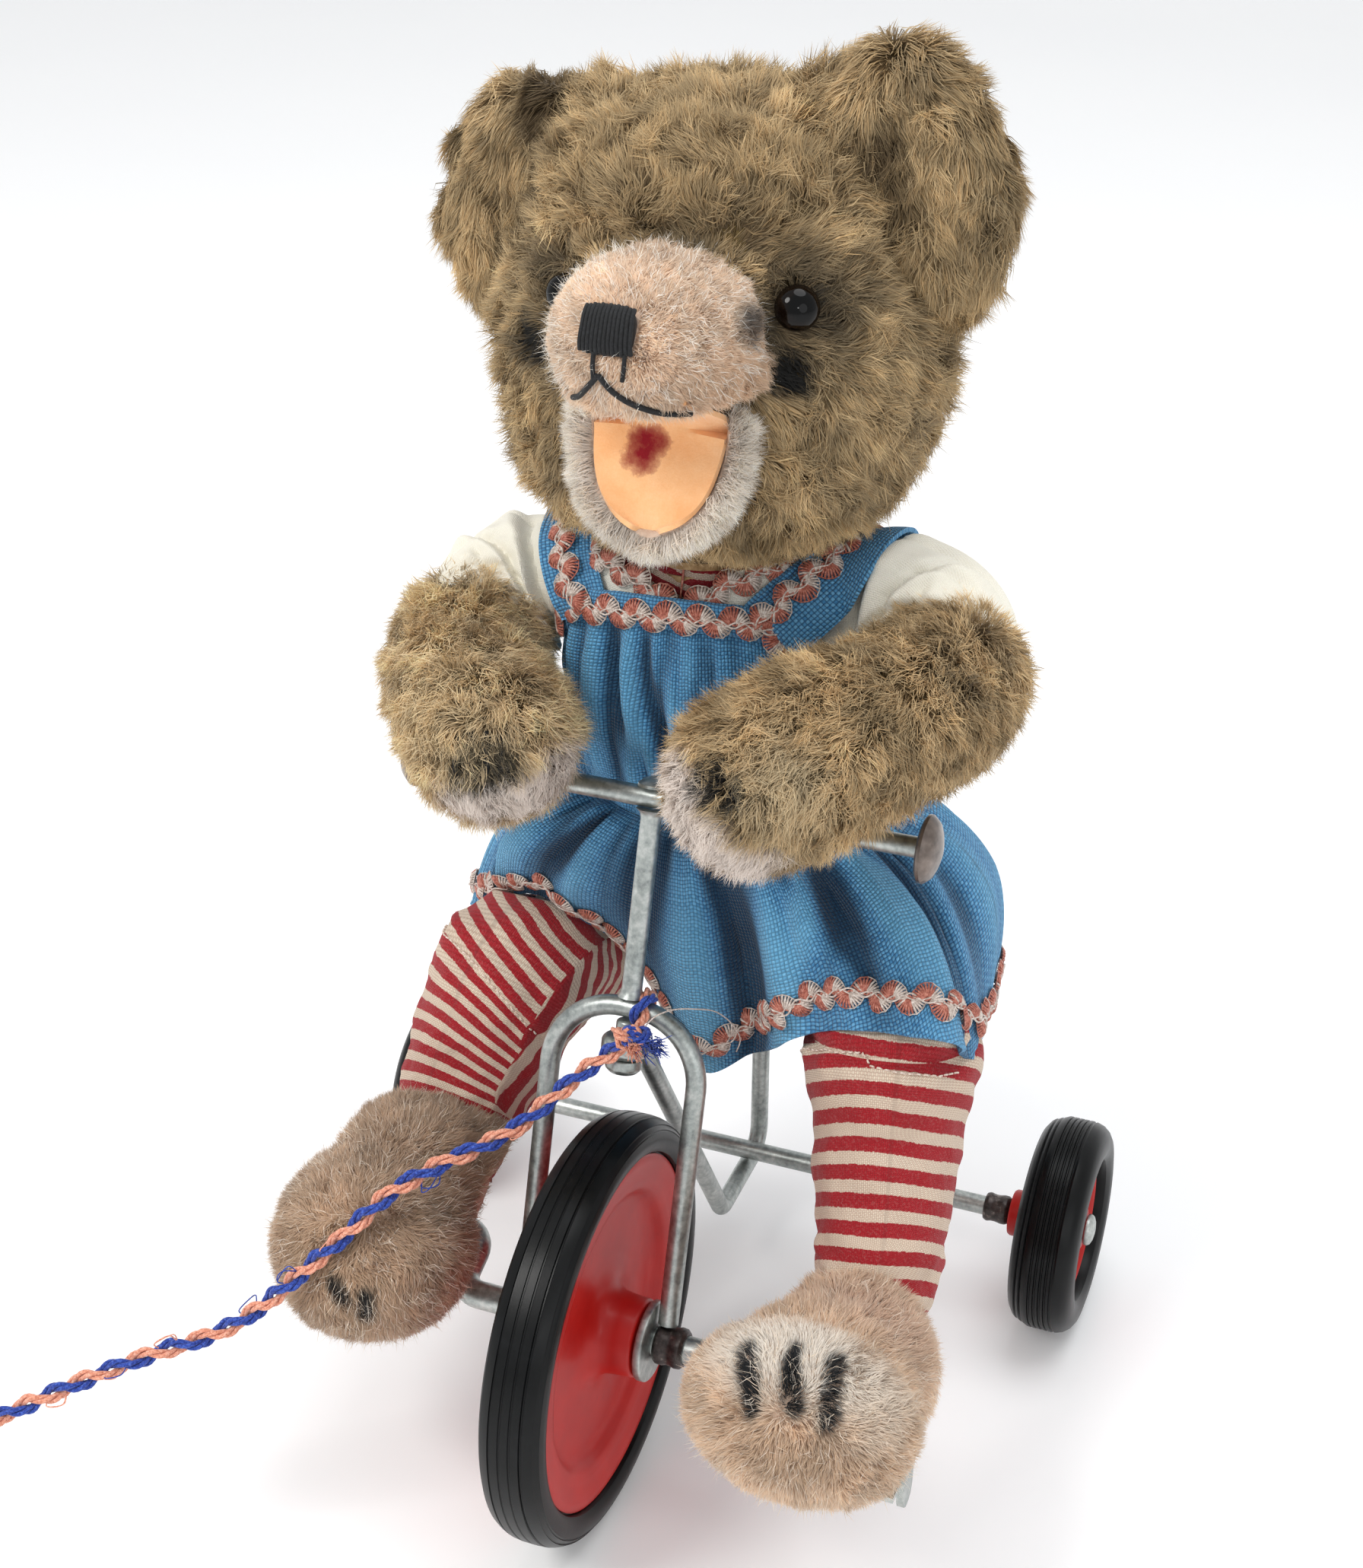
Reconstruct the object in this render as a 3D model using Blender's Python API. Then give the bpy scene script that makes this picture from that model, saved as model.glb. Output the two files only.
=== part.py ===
# Teddy bear riding a wire-framed tricycle. Metres, +Z up, the toy rides towards -Y, its left side is +X.
import bpy, bmesh, math
import numpy as np
from mathutils import Vector, Matrix

for o in list(bpy.data.objects):
    bpy.data.objects.remove(o, do_unlink=True)

# ---- driving dimensions, millimetres, in a frame whose Y zero is the front axle ----
Y_SHIFT = 35.0             # the front axle stands this far ahead of the model's origin
FRONT_R = 42.5             # front wheel, tyre's outer radius
FRONT_RIM_R = 35.4
REAR_R = 23.5              # rear wheels
WHEELBASE = 89.0
RAKE = 0.29993             # steering column leans back, radians
WIRE_R = 2.0               # frame, fork, column and handlebar wire
CRANK_R = 2.8
AXLE_R = 2.1
THROW_Y, THROW_Z = 12.4, 4.9   # crank throw, right side
LEG_X = 15.1               # half spacing of the fork's legs
FORK_SHOULDER, FORK_CROWN, BAR_W = 51.8, 65.6, 106.8
BAR_LEFT, BAR_RIGHT = 52.0, 47.5   # the bar sits a little off centre
HEAD_C = (1.5, 62.0, 226.0)
HEAD_R = (42.5, 40.0, 43.0)
GAP = 0.3

MM = 0.001
D = np.array([0.0, math.sin(RAKE), math.cos(RAKE)])
V = np.array([0.0, math.cos(RAKE), -math.sin(RAKE)])
X = np.array([1.0, 0.0, 0.0])
C0 = np.array([0.0, 0.0, FRONT_R])


def F(x, v, w):
    """Point in the steering column's frame: x across, v behind the column, w up along it from the front axle."""
    return C0 + x * X + v * V + w * D


# ---- materials ----
def srgb(h):
    c = [int(h[i:i + 2], 16) / 255 for i in (1, 3, 5)]
    return tuple((v / 12.92 if v <= 0.04045 else ((v + 0.055) / 1.055) ** 2.4) for v in c) + (1.0,)


MATS = {
    "plush": ("#A8936F", 0.95, 0.0), "muzzle_mohair": ("#D9C6B4", 0.95, 0.0), "felt": ("#F2BF82", 0.95, 0.0),
    "black_plush": ("#17151A", 0.7, 0.0), "glass_eye": ("#0B0908", 0.08, 0.0), "blue_linen": ("#4F93C9", 0.9, 0.0),
    "cream_cotton": ("#E9E2C9", 0.9, 0.0), "striped_cotton": ("#C8737A", 0.9, 0.0), "zinc_wire": ("#8E9494", 0.5, 1.0),
    "dark_collar": ("#3A2323", 0.6, 0.6), "red_enamel": ("#C81E1A", 0.25, 0.0), "black_rubber": ("#1E2122", 0.6, 0.0),
    "brown_cap": ("#7A6F68", 0.45, 0.8), "cord": ("#5A5F9A", 0.9, 0.0), "fibre_disc": ("#9B7B55", 0.85, 0.0),
}


def material(name):
    m = bpy.data.materials.get(name)
    if m:
        return m
    h, rough, metal = MATS[name]
    m = bpy.data.materials.new(name)
    m.use_nodes = True
    b = m.node_tree.nodes["Principled BSDF"]
    b.inputs["Base Color"].default_value = srgb(h)
    b.inputs["Roughness"].default_value = rough
    b.inputs["Metallic"].default_value = metal
    m.diffuse_color = srgb(h)
    return m


# ---- mesh helpers: all take and give millimetres ----
def mesh(verts, faces):
    bm = bmesh.new()
    vs = [bm.verts.new(tuple(float(c) for c in v)) for v in verts]
    bm.verts.ensure_lookup_table()
    for f in faces:
        bm.faces.new([vs[i] for i in f])
    bmesh.ops.recalc_face_normals(bm, faces=bm.faces)
    return bm


def loft(rings, cap=True, closed=False):
    """Rings of equal length joined in turn. Each ring is an (n, 3) array."""
    n = len(rings[0])
    verts = [p for r in rings for p in r]
    faces = []
    m = len(rings)
    for i in range(m if closed else m - 1):
        a, b = i * n, ((i + 1) % m) * n
        for j in range(n):
            k = (j + 1) % n
            faces.append((a + j, a + k, b + k, b + j))
    if cap and not closed:
        faces.append(tuple(range(n)))
        faces.append(tuple((m - 1) * n + j for j in range(n)))
    return mesh(verts, faces)


def lathe(profile, centre, axis, seg, ring=False):
    """Profile of (along, radius) turned about an axis. A solid profile starts and ends at radius 0, a ring is closed."""
    axis = np.array(axis, float)
    axis /= np.linalg.norm(axis)
    side = np.cross(axis, (0, 0, 1) if abs(axis[2]) < 0.9 else (0, 1, 0))
    side /= np.linalg.norm(side)
    up = np.cross(axis, side)
    c = np.array(centre, float)
    verts, rows = [], []
    for a, r in profile:
        if r < 1e-6:
            rows.append([len(verts)] * seg)
            verts.append(c + a * axis)
        else:
            rows.append(list(range(len(verts), len(verts) + seg)))
            for j in range(seg):
                t = 2 * math.pi * j / seg
                verts.append(c + a * axis + r * (math.cos(t) * side + math.sin(t) * up))
    faces = []
    for i in range(len(rows) if ring else len(rows) - 1):
        p, q = rows[i], rows[(i + 1) % len(rows)]
        for j in range(seg):
            k = (j + 1) % seg
            f = [p[j], p[k], q[k], q[j]]
            f = [v for n, v in enumerate(f) if v != f[n - 1]]
            if len(f) > 2:
                faces.append(tuple(f))
    return mesh(verts, faces)


def fillet(points, radii, n=5):
    """Polyline with each inner corner rounded to its radius."""
    pts = [np.array(p, float) for p in points]
    out = [pts[0]]
    for i in range(1, len(pts) - 1):
        a, b, c = pts[i - 1], pts[i], pts[i + 1]
        u, w = (a - b) / np.linalg.norm(a - b), (c - b) / np.linalg.norm(c - b)
        ang = math.acos(max(-1, min(1, float(u @ w))))
        r = radii[i - 1]
        t = r / math.tan(ang / 2)
        mid = (u + w) / np.linalg.norm(u + w)
        o = b + mid * (r / math.sin(ang / 2))
        s, e = b + u * t - o, b + w * t - o
        turn = math.acos(max(-1, min(1, float(s @ e) / (r * r))))
        for k in range(n + 1):
            f = k / n
            out.append(o + (math.sin((1 - f) * turn) * s + math.sin(f * turn) * e) / math.sin(turn))
    out.append(pts[-1])
    return out


def frames(path):
    path = [np.array(p, float) for p in path]
    tans = []
    for i in range(len(path)):
        a = path[max(i - 1, 0)]
        b = path[min(i + 1, len(path) - 1)]
        tans.append((b - a) / np.linalg.norm(b - a))
    ref = np.array((1.0, 0, 0)) if abs(tans[0][0]) < 0.9 else np.array((0, 0, 1.0))
    s = np.cross(tans[0], ref)
    s /= np.linalg.norm(s)
    out = []
    for p, t in zip(path, tans):
        s = s - (s @ t) * t
        s /= np.linalg.norm(s)
        out.append((p, t, s, np.cross(t, s)))
    return out


def sweep(path, r, sides=8, ends=(0.0, 0.0)):
    """Round rod along a path; ends rounds each end by that share of the radius."""
    fr = frames(path)
    rings = []

    def circle(c, s, u, rad):
        return [c + rad * (math.cos(2 * math.pi * j / sides) * s + math.sin(2 * math.pi * j / sides) * u) for j in range(sides)]
    for i, (p, t, s, u) in enumerate(fr):
        scale = 1.0
        if 0 < i < len(fr) - 1:
            a = fr[i][0] - fr[i - 1][0]
            b = fr[i + 1][0] - fr[i][0]
            scale = 1.0
        if i == 0 and ends[0]:
            rings.append(circle(p, s, u, r * (1 - ends[0])))
            rings.append(circle(p + t * r * ends[0], s, u, r))
            continue
        if i == len(fr) - 1 and ends[1]:
            rings.append(circle(p - t * r * ends[1], s, u, r))
            rings.append(circle(p, s, u, r * (1 - ends[1])))
            continue
        rings.append(circle(p, s, u, r * scale))
    return loft(rings)


def limb(path, radii, seg=12, round_start=True, round_end=True, side=None):
    """Stuffed tube with rounded ends through points with a radius each; side scales the X half width."""
    pts, rad = [], []
    path = [np.array(p, float) for p in path]
    # Catmull-Rom between the points
    for i in range(len(path) - 1):
        p0, p1, p2, p3 = path[max(i - 1, 0)], path[i], path[i + 1], path[min(i + 2, len(path) - 1)]
        for k in range(3):
            t = k / 3
            pts.append(0.5 * ((2 * p1) + (p2 - p0) * t + (2 * p0 - 5 * p1 + 4 * p2 - p3) * t * t + (3 * p1 - p0 - 3 * p2 + p3) * t ** 3))
            s = t * t * (3 - 2 * t)
            rad.append(radii[i] * (1 - s) + radii[i + 1] * s)
    pts.append(path[-1])
    rad.append(radii[-1])
    fr = frames(pts)
    rings = []

    def circle(c, s, u, r):
        return [c + r * (math.cos(2 * math.pi * j / seg) * s + math.sin(2 * math.pi * j / seg) * u) for j in range(seg)]
    if round_start:
        p, t, s, u = fr[0]
        for a in (80, 55, 28):
            a = math.radians(a)
            rings.append(circle(p - t * rad[0] * math.sin(a), s, u, rad[0] * math.cos(a)))
    for (p, t, s, u), r in zip(fr, rad):
        rings.append(circle(p, s, u, r))
    if round_end:
        p, t, s, u = fr[-1]
        for a in (28, 55, 80):
            a = math.radians(a)
            rings.append(circle(p + t * rad[-1] * math.sin(a), s, u, rad[-1] * math.cos(a)))
    return loft(rings)


def ellipsoid(c, r, seg=20, rows=12, turn=None):
    """Closed ellipsoid; turn is a rotation matrix."""
    verts, faces = [], []
    R = np.array(turn) if turn is not None else np.eye(3)
    c = np.array(c, float)
    for i in range(rows + 1):
        a = math.pi * i / rows
        if i in (0, rows):
            verts.append(c + R @ np.array((0, 0, r[2] * math.cos(a))))
        else:
            for j in range(seg):
                t = 2 * math.pi * j / seg
                verts.append(c + R @ np.array((r[0] * math.sin(a) * math.cos(t), r[1] * math.sin(a) * math.sin(t), r[2] * math.cos(a))))
    def idx(i, j):
        return 0 if i == 0 else (len(verts) - 1 if i == rows else 1 + (i - 1) * seg + j % seg)
    for i in range(rows):
        for j in range(seg):
            f = [idx(i, j), idx(i + 1, j), idx(i + 1, j + 1), idx(i, j + 1)]
            f = [v for n, v in enumerate(f) if v != f[n - 1]]
            if len(f) > 2:
                faces.append(tuple(f))
    return mesh(verts, faces)


def box(lo, hi):
    (a, b, c), (d, e, f) = lo, hi
    v = [(x, y, z) for x in (a, d) for y in (b, e) for z in (c, f)]
    return mesh(v, [(0, 1, 3, 2), (4, 6, 7, 5), (0, 4, 5, 1), (2, 3, 7, 6), (0, 2, 6, 4), (1, 5, 7, 3)])


def cut(bm, point, normal):
    """Keeps the side the normal points away from, and closes the cut."""
    geom = list(bm.verts) + list(bm.edges) + list(bm.faces)
    r = bmesh.ops.bisect_plane(bm, geom=geom, dist=1e-5, plane_co=Vector(point), plane_no=Vector(normal), clear_outer=True)
    edges = [g for g in r["geom_cut"] if isinstance(g, bmesh.types.BMEdge)]
    if edges:
        bmesh.ops.holes_fill(bm, edges=[e for e in bm.edges if len(e.link_faces) == 1], sides=0)
    bmesh.ops.recalc_face_normals(bm, faces=bm.faces)
    return bm


NODES = {}


def add(name, bm, mat, origin=(0.0, 0.0, 0.0)):
    """Object with vertices stored about its own origin, in metres."""
    o = np.array(origin, float)
    shift = np.array((0.0, -Y_SHIFT, 0.0))
    me = bpy.data.meshes.new(name)
    for v in bm.verts:
        v.co = Vector([float(c) * MM for c in (np.array(v.co) - o)])
    bm.to_mesh(me)
    bm.free()
    ob = bpy.data.objects.new(name, me)
    ob.location = Vector([float(c) * MM for c in (o + shift)])
    bpy.context.scene.collection.objects.link(ob)
    ob.data.materials.append(material(mat))
    NODES[name] = ob
    return ob


def bool_mesh(a, b, op):
    """Exact Boolean of two millimetre meshes, given back as one."""
    obs = []
    for bm in (a, b):
        me = bpy.data.meshes.new("tmp")
        bm.to_mesh(me)
        bm.free()
        ob = bpy.data.objects.new("tmp", me)
        bpy.context.scene.collection.objects.link(ob)
        obs.append(ob)
    m = obs[0].modifiers.new("cut", "BOOLEAN")
    m.operation = op
    m.solver = "EXACT"
    m.object = obs[1]
    dg = bpy.context.evaluated_depsgraph_get()
    out = bmesh.new()
    out.from_mesh(obs[0].evaluated_get(dg).to_mesh())
    for ob in obs:
        me = ob.data
        bpy.data.objects.remove(ob, do_unlink=True)
        bpy.data.meshes.remove(me)
    bmesh.ops.remove_doubles(out, verts=out.verts, dist=0.02)
    bmesh.ops.dissolve_degenerate(out, edges=out.edges, dist=0.01)
    bmesh.ops.triangulate(out, faces=[f for f in out.faces if len(f.verts) > 4])
    bmesh.ops.recalc_face_normals(out, faces=out.faces)
    return out


# ================= frame =================
bb = fillet([(0, 22.6, 96.0), (0, 72.6, 18.3), (0, 98.0, 19.0), (0, 98.0, 83.6)], [4.0, 6.0], 6)
add("backbone", sweep(bb, WIRE_R, 10), "zinc_wire")
eye_c = F(0, 0, 58.0)
add("steering_eye", lathe([(-2.0, 2.35), (-2.0, 4.0), (-1.2, 4.7), (1.2, 4.7), (2.0, 4.0), (2.0, 2.35)], eye_c, D, 18, ring=True), "zinc_wire")
add("rear_axle", lathe([(-79.2, 0), (-79.2, AXLE_R), (79.2, AXLE_R), (79.2, 0)], (0, WHEELBASE, REAR_R), X, 12), "zinc_wire")
for s, n in ((1, "left"), (-1, "right")):
    c = (0, WHEELBASE, REAR_R)
    add("axle_collar_" + n, lathe([(s * 56.8, AXLE_R + 0.1), (s * 56.8, 2.9), (s * 58.0, 3.2), (s * 61.4, 3.2), (s * 62.5, 2.9), (s * 62.5, AXLE_R + 0.1)], c, X, 14, ring=True), "dark_collar")
    add("axle_cap_" + n, lathe([(s * 79.5, 0), (s * 79.5, 3.4), (s * 80.4, 3.4), (s * 81.3, 2.2), (s * 81.6, 0)], c, X, 14), "zinc_wire")
add("seat_plate", lathe([(-0.75, 0), (-0.75, 15.0), (0.75, 15.0), (0.75, 0)], (0, 92, 84.75), (0, 0, 1), 24), "zinc_wire")
add("seat_screw", lathe([(0, 0), (0, 2.0), (6.6, 2.0), (7.0, 1.4), (7.0, 0)], (0, 92, 85.8), (0, 0, 1), 10), "zinc_wire")

# torso: horizontal rings (centre y, z, half width, half depth), narrow where the stuffed thighs lie beside it
T_RINGS = [(91, 86.0, 12.0, 15.0), (90, 87.5, 15.5, 19.5), (86, 94, 17.2, 24.0), (80, 108, 17.4, 24.6), (74, 120, 17.6, 23.4), (71, 126, 18.6, 22.6),
           (69, 131, 24.4, 22.0), (66.5, 140, 25.0, 22.0), (64, 150, 25.0, 22.0), (61.5, 163, 24.0, 20.5), (60, 172, 22.2, 18.6), (58.5, 179, 18.6, 15.6), (58, 182.6, 14.0, 12.0)]


def oval(yc, z, rx, ry, n=20, y0=0.0):
    return [(rx * math.cos(2 * math.pi * j / n), yc + ry * math.sin(2 * math.pi * j / n), z) for j in range(n)]


torso = loft([oval(*r) for r in T_RINGS])
screw_hole = lathe([(-3, 0), (-3, 2.9), (8.2, 2.9), (8.2, 0)], (0, 92, 85.8), (0, 0, 1), 10)
torso = bool_mesh(torso, screw_hole, "DIFFERENCE")
PIN_C = (0.0, 58.0)
pin_hole = lathe([(177.4, 0), (177.4, 2.3), (190, 2.3), (190, 0)], (PIN_C[0], PIN_C[1], 0), (0, 0, 1), 10)
torso = bool_mesh(torso, pin_hole, "DIFFERENCE")
add("torso", torso, "cream_cotton")


# bodice: linen band round the chest and waist, open at the top and bottom
def band(rings_out, wall, n=28):
    out = [oval(y, z, rx, ry, n) for y, z, rx, ry in rings_out]
    inn = [oval(y, z, rx - wall, ry - wall, n) for y, z, rx, ry in rings_out][::-1]
    return loft(out + inn, closed=True)


WALL = 1.2
add("bodice", band([(69.0, 131.4, 26.4, 24.0), (66.5, 140, 27.0, 24.0), (64, 150, 27.0, 24.0), (62.4, 158, 26.6, 23.2), (61.0, 166, 25.4, 21.8), (60.2, 173.6, 23.6, 20.4)], WALL), "blue_linen")


# skirt: profile by angle, waist then hip then hem
def catmull_closed(ctrl, n):
    """ctrl: (angle in degrees, point) around the skirt; a smooth closed loop sampled at n even angles."""
    ctrl = sorted(ctrl)
    out = []
    m = len(ctrl)
    for j in range(n):
        a = 360.0 * j / n
        i = max([k for k in range(m) if ctrl[k][0] <= a], default=-1)
        a0, p1 = (ctrl[i][0] if i >= 0 else ctrl[-1][0] - 360), np.array(ctrl[i][1], float)
        nxt = (i + 1) % m
        a1 = ctrl[nxt][0] + (360 if nxt == 0 and i >= 0 else 0)
        p2 = np.array(ctrl[nxt][1], float)
        p0, p3 = np.array(ctrl[(i - 1) % m][1], float), np.array(ctrl[(i + 2) % m][1], float)
        t = (a - a0) / (a1 - a0)
        out.append(0.5 * ((2 * p1) + (p2 - p0) * t + (2 * p0 - 5 * p1 + 4 * p2 - p3) * t * t + (3 * p1 - p0 - 3 * p2 + p3) * t ** 3))
    return out


# angle 0 is +X (the bear's left), 90 the back, 180 the bear's right, 270 the front
HEM = [(0, (62, 68, 91)), (25, (60, 88, 86)), (55, (36, 110, 81)), (90, (0, 115, 78)), (125, (-37, 112, 83)), (155, (-59, 93, 90)), (178, (-58, 70, 92)),
       (196, (-57.5, 59, 100)), (212, (-50, 48, 110.6)), (232, (-35, 43.5, 112.6)), (247, (-21, 47.5, 109.5)), (260, (-8, 50, 92)), (272, (5, 47.5, 77)), (284, (17, 43, 84)),
       (296, (27.5, 33, 108)), (312, (42, 28.5, 112)), (328, (57, 34, 109.5)), (345, (64, 50, 98))]
MID = [(0, (53, 72, 118)), (25, (49, 91, 114)), (55, (29, 106, 110)), (90, (0, 110, 107)), (125, (-30, 106, 110)), (155, (-48, 92, 115)), (178, (-48, 71, 115)),
       (196, (-47.5, 60, 118)), (212, (-41, 50, 122)), (232, (-29, 44, 122.5)), (247, (-18, 43, 118.5)), (260, (-7, 43, 111)), (272, (3, 42, 110)), (284, (13, 42, 112)),
       (296, (23, 41, 118.6)), (312, (35, 41, 122.6)), (328, (45, 48, 123.6)), (345, (52, 58, 121))]
N_SK = 44
waist_o = [(26.4 * math.cos(math.radians(a)), 69.0 + 24.0 * math.sin(math.radians(a)), 131.0) for a in [360.0 * j / N_SK for j in range(N_SK)]]
mid_o, hem_o = catmull_closed(MID, N_SK), catmull_closed(HEM, N_SK)


def skirt_ring(t):
    """Quadratic-like blend from the waist (0) through the hip (0.5) to the hem (1)."""
    out = []
    for w, m, h in zip(waist_o, mid_o, hem_o):
        w, m, h = (np.array(p, float) for p in (w, m, h))
        q = 2 * m - 0.5 * (w + h)
        out.append((1 - t) ** 2 * w + 2 * t * (1 - t) * q + t * t * h)
    return out


def inset(ring, d, c=(0.0, 68.0)):
    """Moves a ring of points towards the vertical axis through c by d, and down a little."""
    out = []
    for p in ring:
        v = np.array((p[0] - c[0], p[1] - c[1]))
        L = np.linalg.norm(v)
        v = v * (1 - d / L)
        out.append(np.array((v[0] + c[0], v[1] + c[1], p[2] - d * 0.55)))
    return out


sk_out = [skirt_ring(t) for t in (0, 0.14, 0.3, 0.5, 0.7, 0.86, 1.0)]
sk_in = [inset(r, WALL) for r in sk_out]
sk_in[0] = [np.array((p[0] * (1 - WALL / 26.4), 69 + (p[1] - 69) * (1 - WALL / 24.0), 130.4)) for p in sk_out[0]]
add("skirt", loft(sk_out + sk_in[::-1], closed=True), "blue_linen")


# straps: flat bands from the bodice's top edge over the shoulders, outside the torso
def strap(path, half, thick):
    """Flat band; path has (point, width direction, outward direction)."""
    rings = []
    for p, w, o in path:
        p, w, o = (np.array(q, float) for q in (p, w, o))
        w, o = w / np.linalg.norm(w), o / np.linalg.norm(o)
        rings.append([p - w * half, p + w * half, p + w * half + o * thick, p - w * half + o * thick])
    return loft(rings)


for s, n in ((1, "left"), (-1, "right")):
    add("strap_" + n, strap([((s * 15.6, 42.3, 174.2), (1, 0.1 * s, 0), (0, -1, 0.35)),
                             ((s * 19.8, 44.6, 178.8), (1, 0.1 * s, 0), (0, -0.8, 0.6)), ((s * 21.6, 50.5, 182.6), (1, 0, -0.2 * s), (0, -0.4, 1)),
                             ((s * 21.6, 60.0, 183.6), (1, 0, -0.25 * s), (0, 0.1, 1)), ((s * 20.4, 70, 181.6), (1, 0, -0.2 * s), (0, 0.6, 1)),
                             ((s * 17.5, 78.4, 177.2), (1, 0, 0), (0, 1, 0.5)), ((s * 16.0, 80.6, 174.2), (1, 0, 0), (0, 1, 0.3))], 5.5, 1.2), "blue_linen")

# striped neckerchief: a ring round the neck with a pointed front
COLLAR = []
for yc, z, r, ry in ((58, 180.2, 15.6, 14.8), (58, 183.2, 15.4, 14.8)):
    COLLAR.append([(r * math.cos(2 * math.pi * j / 24), yc + ry * math.sin(2 * math.pi * j / 24), z) for j in range(24)])
# collar (cloth ring above the shoulders)
col_out = [[(x * k, 58 + (y - 58) * k, z + dz) for x, y, z in COLLAR[1]] for k, dz in ((0.97, 0.0), (1.035, -0.5), (1.035, 1.2), (0.99, 2.0))]
add("collar", loft(col_out, closed=True), "striped_cotton")

# neck discs and pin
add("neck_disc_lower", lathe([(0, 2.4), (0, 13.4), (1.2, 13.4), (1.2, 2.4)], (0, 58, 183.0), (0, 0, 1), 20, ring=True), "fibre_disc")

# sleeves
SLEEVES = {"left": [(31.5, 61, 177.5), (41, 61, 178.6), (49, 58.5, 176.6), (54.5, 53, 172.4)],
           "right": [(-31.0, 61, 173.0), (-37.5, 59.5, 171.8), (-41.5, 56, 168.6), (-43.5, 51.5, 165.0)]}
SLEEVE_R = {"left": (12.8, 16.2, 16.8, 16.2), "right": (12.6, 14.8, 15.4, 15.4)}
ELBOW = {}
for n in ("left", "right"):
    p = [np.array(q, float) for q in SLEEVES[n]]
    b = limb(p, SLEEVE_R[n], 16, round_start=True, round_end=False)
    # flat against the torso's side and the bodice
    sx = 1 if n == "left" else -1
    b = cut(b, (sx * 27.6, 60, 176), (-sx, 0, 0))
    # end plane across the elbow
    t = (p[-1] - p[-2]) / np.linalg.norm(p[-1] - p[-2])
    ELBOW[n] = (p[-1], t)
    b = cut(b, p[-1] - t * 0.2, t)
    add("sleeve_" + n, b, "cream_cotton")

# ================= head =================
HO = (0.0, 58.0, 187.0)
hc = np.array(HEAD_C)
NECK_Z = 187.6
# facets: where the muzzle, ears and eyes sit flat against the head
MUZ_P, MUZ_N = np.array((3.0, 26.5, 231.0)), np.array((0.03, -0.97, 0.2))
MUZ_N = MUZ_N / np.linalg.norm(MUZ_N)
EAR_L_C, EAR_R_C = np.array((37.0, 61.0, 258.0)), np.array((-35.5, 61.0, 252.5))
EAR_L_N, EAR_R_N = EAR_L_C - hc, EAR_R_C - hc
EAR_L_N, EAR_R_N = EAR_L_N / np.linalg.norm(EAR_L_N), EAR_R_N / np.linalg.norm(EAR_R_N)
EAR_L_P, EAR_R_P = hc + EAR_L_N * 36.5, hc + EAR_R_N * 36.5
EYES = {"left": (25.0, 32.0, 241.0), "right": (-18.4, 29.4, 242.4)}
head = ellipsoid(hc, HEAD_R, 28, 18)
head = cut(head, (0, 0, NECK_Z), (0, 0, -1))
head = cut(head, MUZ_P, MUZ_N)
head = cut(head, EAR_L_P, EAR_L_N)
head = cut(head, EAR_R_P, EAR_R_N)
EYE_SEAT = {}
for n, p in EYES.items():
    q = (np.array(p) - hc) / np.array(HEAD_R)
    q = q / np.linalg.norm(q)
    nrm = q / np.array(HEAD_R)
    nrm = nrm / np.linalg.norm(nrm)
    seat = hc + q * np.array(HEAD_R) - nrm * 1.1
    EYE_SEAT[n] = (seat, nrm)
    head = cut(head, seat, nrm)
head = bool_mesh(head, lathe([(180, 0), (180, 2.3), (196, 2.3), (196, 0)], (0, 58, 0), (0, 0, 1), 10), "DIFFERENCE")
add("head_shell", head, "plush", HO)


def oriented(axis):
    """Rotation whose local Z is axis."""
    z = np.array(axis, float) / np.linalg.norm(axis)
    x = np.cross((0, 1, 0) if abs(z[1]) < 0.9 else (1, 0, 0), z)
    x /= np.linalg.norm(x)
    return np.column_stack((x, np.cross(z, x), z))


# ears: thick flattened discs standing on their facets
for n, P0, N0, c, r in (("left", EAR_L_P, EAR_L_N, EAR_L_C, (16.0, 9.5, 22.0)), ("right", EAR_R_P, EAR_R_N, EAR_R_C, (15.0, 9.5, 19.0))):
    lean = math.radians(-14 if n == "left" else 16)
    e = ellipsoid(c, r, 20, 12, [[math.cos(lean), 0, math.sin(lean)], [0, 1, 0], [-math.sin(lean), 0, math.cos(lean)]])
    e = cut(e, P0 + N0 * GAP, -N0)
    add("ear_" + n, e, "plush", HO)

# muzzle: rounded cone with a flat back, cut flat below for the mouth and in front for the nose
muz = ellipsoid((4.0, 22.5, 237.0), (18.6, 20.2, 15.0), 24, 14)
muz = cut(muz, MUZ_P + MUZ_N * GAP, -MUZ_N)
MOUTH_UP_P, MOUTH_UP_N = np.array((4.0, 6.0, 229.5)), np.array((0.0, -0.12, -1.0))
muz = cut(muz, MOUTH_UP_P, MOUTH_UP_N)
NOSE_P, NOSE_N = np.array((3.3, 5.6, 242.6)), np.array((0.0, -0.93, 0.37))
NOSE_N = NOSE_N / np.linalg.norm(NOSE_N)
muz = cut(muz, NOSE_P, NOSE_N)
add("muzzle", muz, "muzzle_mohair", HO)
# nose: soft rectangle
nx, nz = np.array((1.0, 0, 0)), np.cross(NOSE_N, (1.0, 0, 0))
rings = []
for h, k in ((0.35, 0.9), (1.0, 1.0), (1.9, 0.94), (2.6, 0.72)):
    ring = []
    for j in range(16):
        t = 2 * math.pi * j / 16
        cx, cz = math.cos(t), math.sin(t)
        m = (abs(cx) ** 3.2 + abs(cz) ** 3.2) ** (-1 / 3.2)
        ring.append(NOSE_P + NOSE_N * h + nx * 4.6 * k * cx * m + nz * 3.9 * k * cz * m)
    rings.append(ring)
add("nose", loft(rings), "black_plush", HO)
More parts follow.
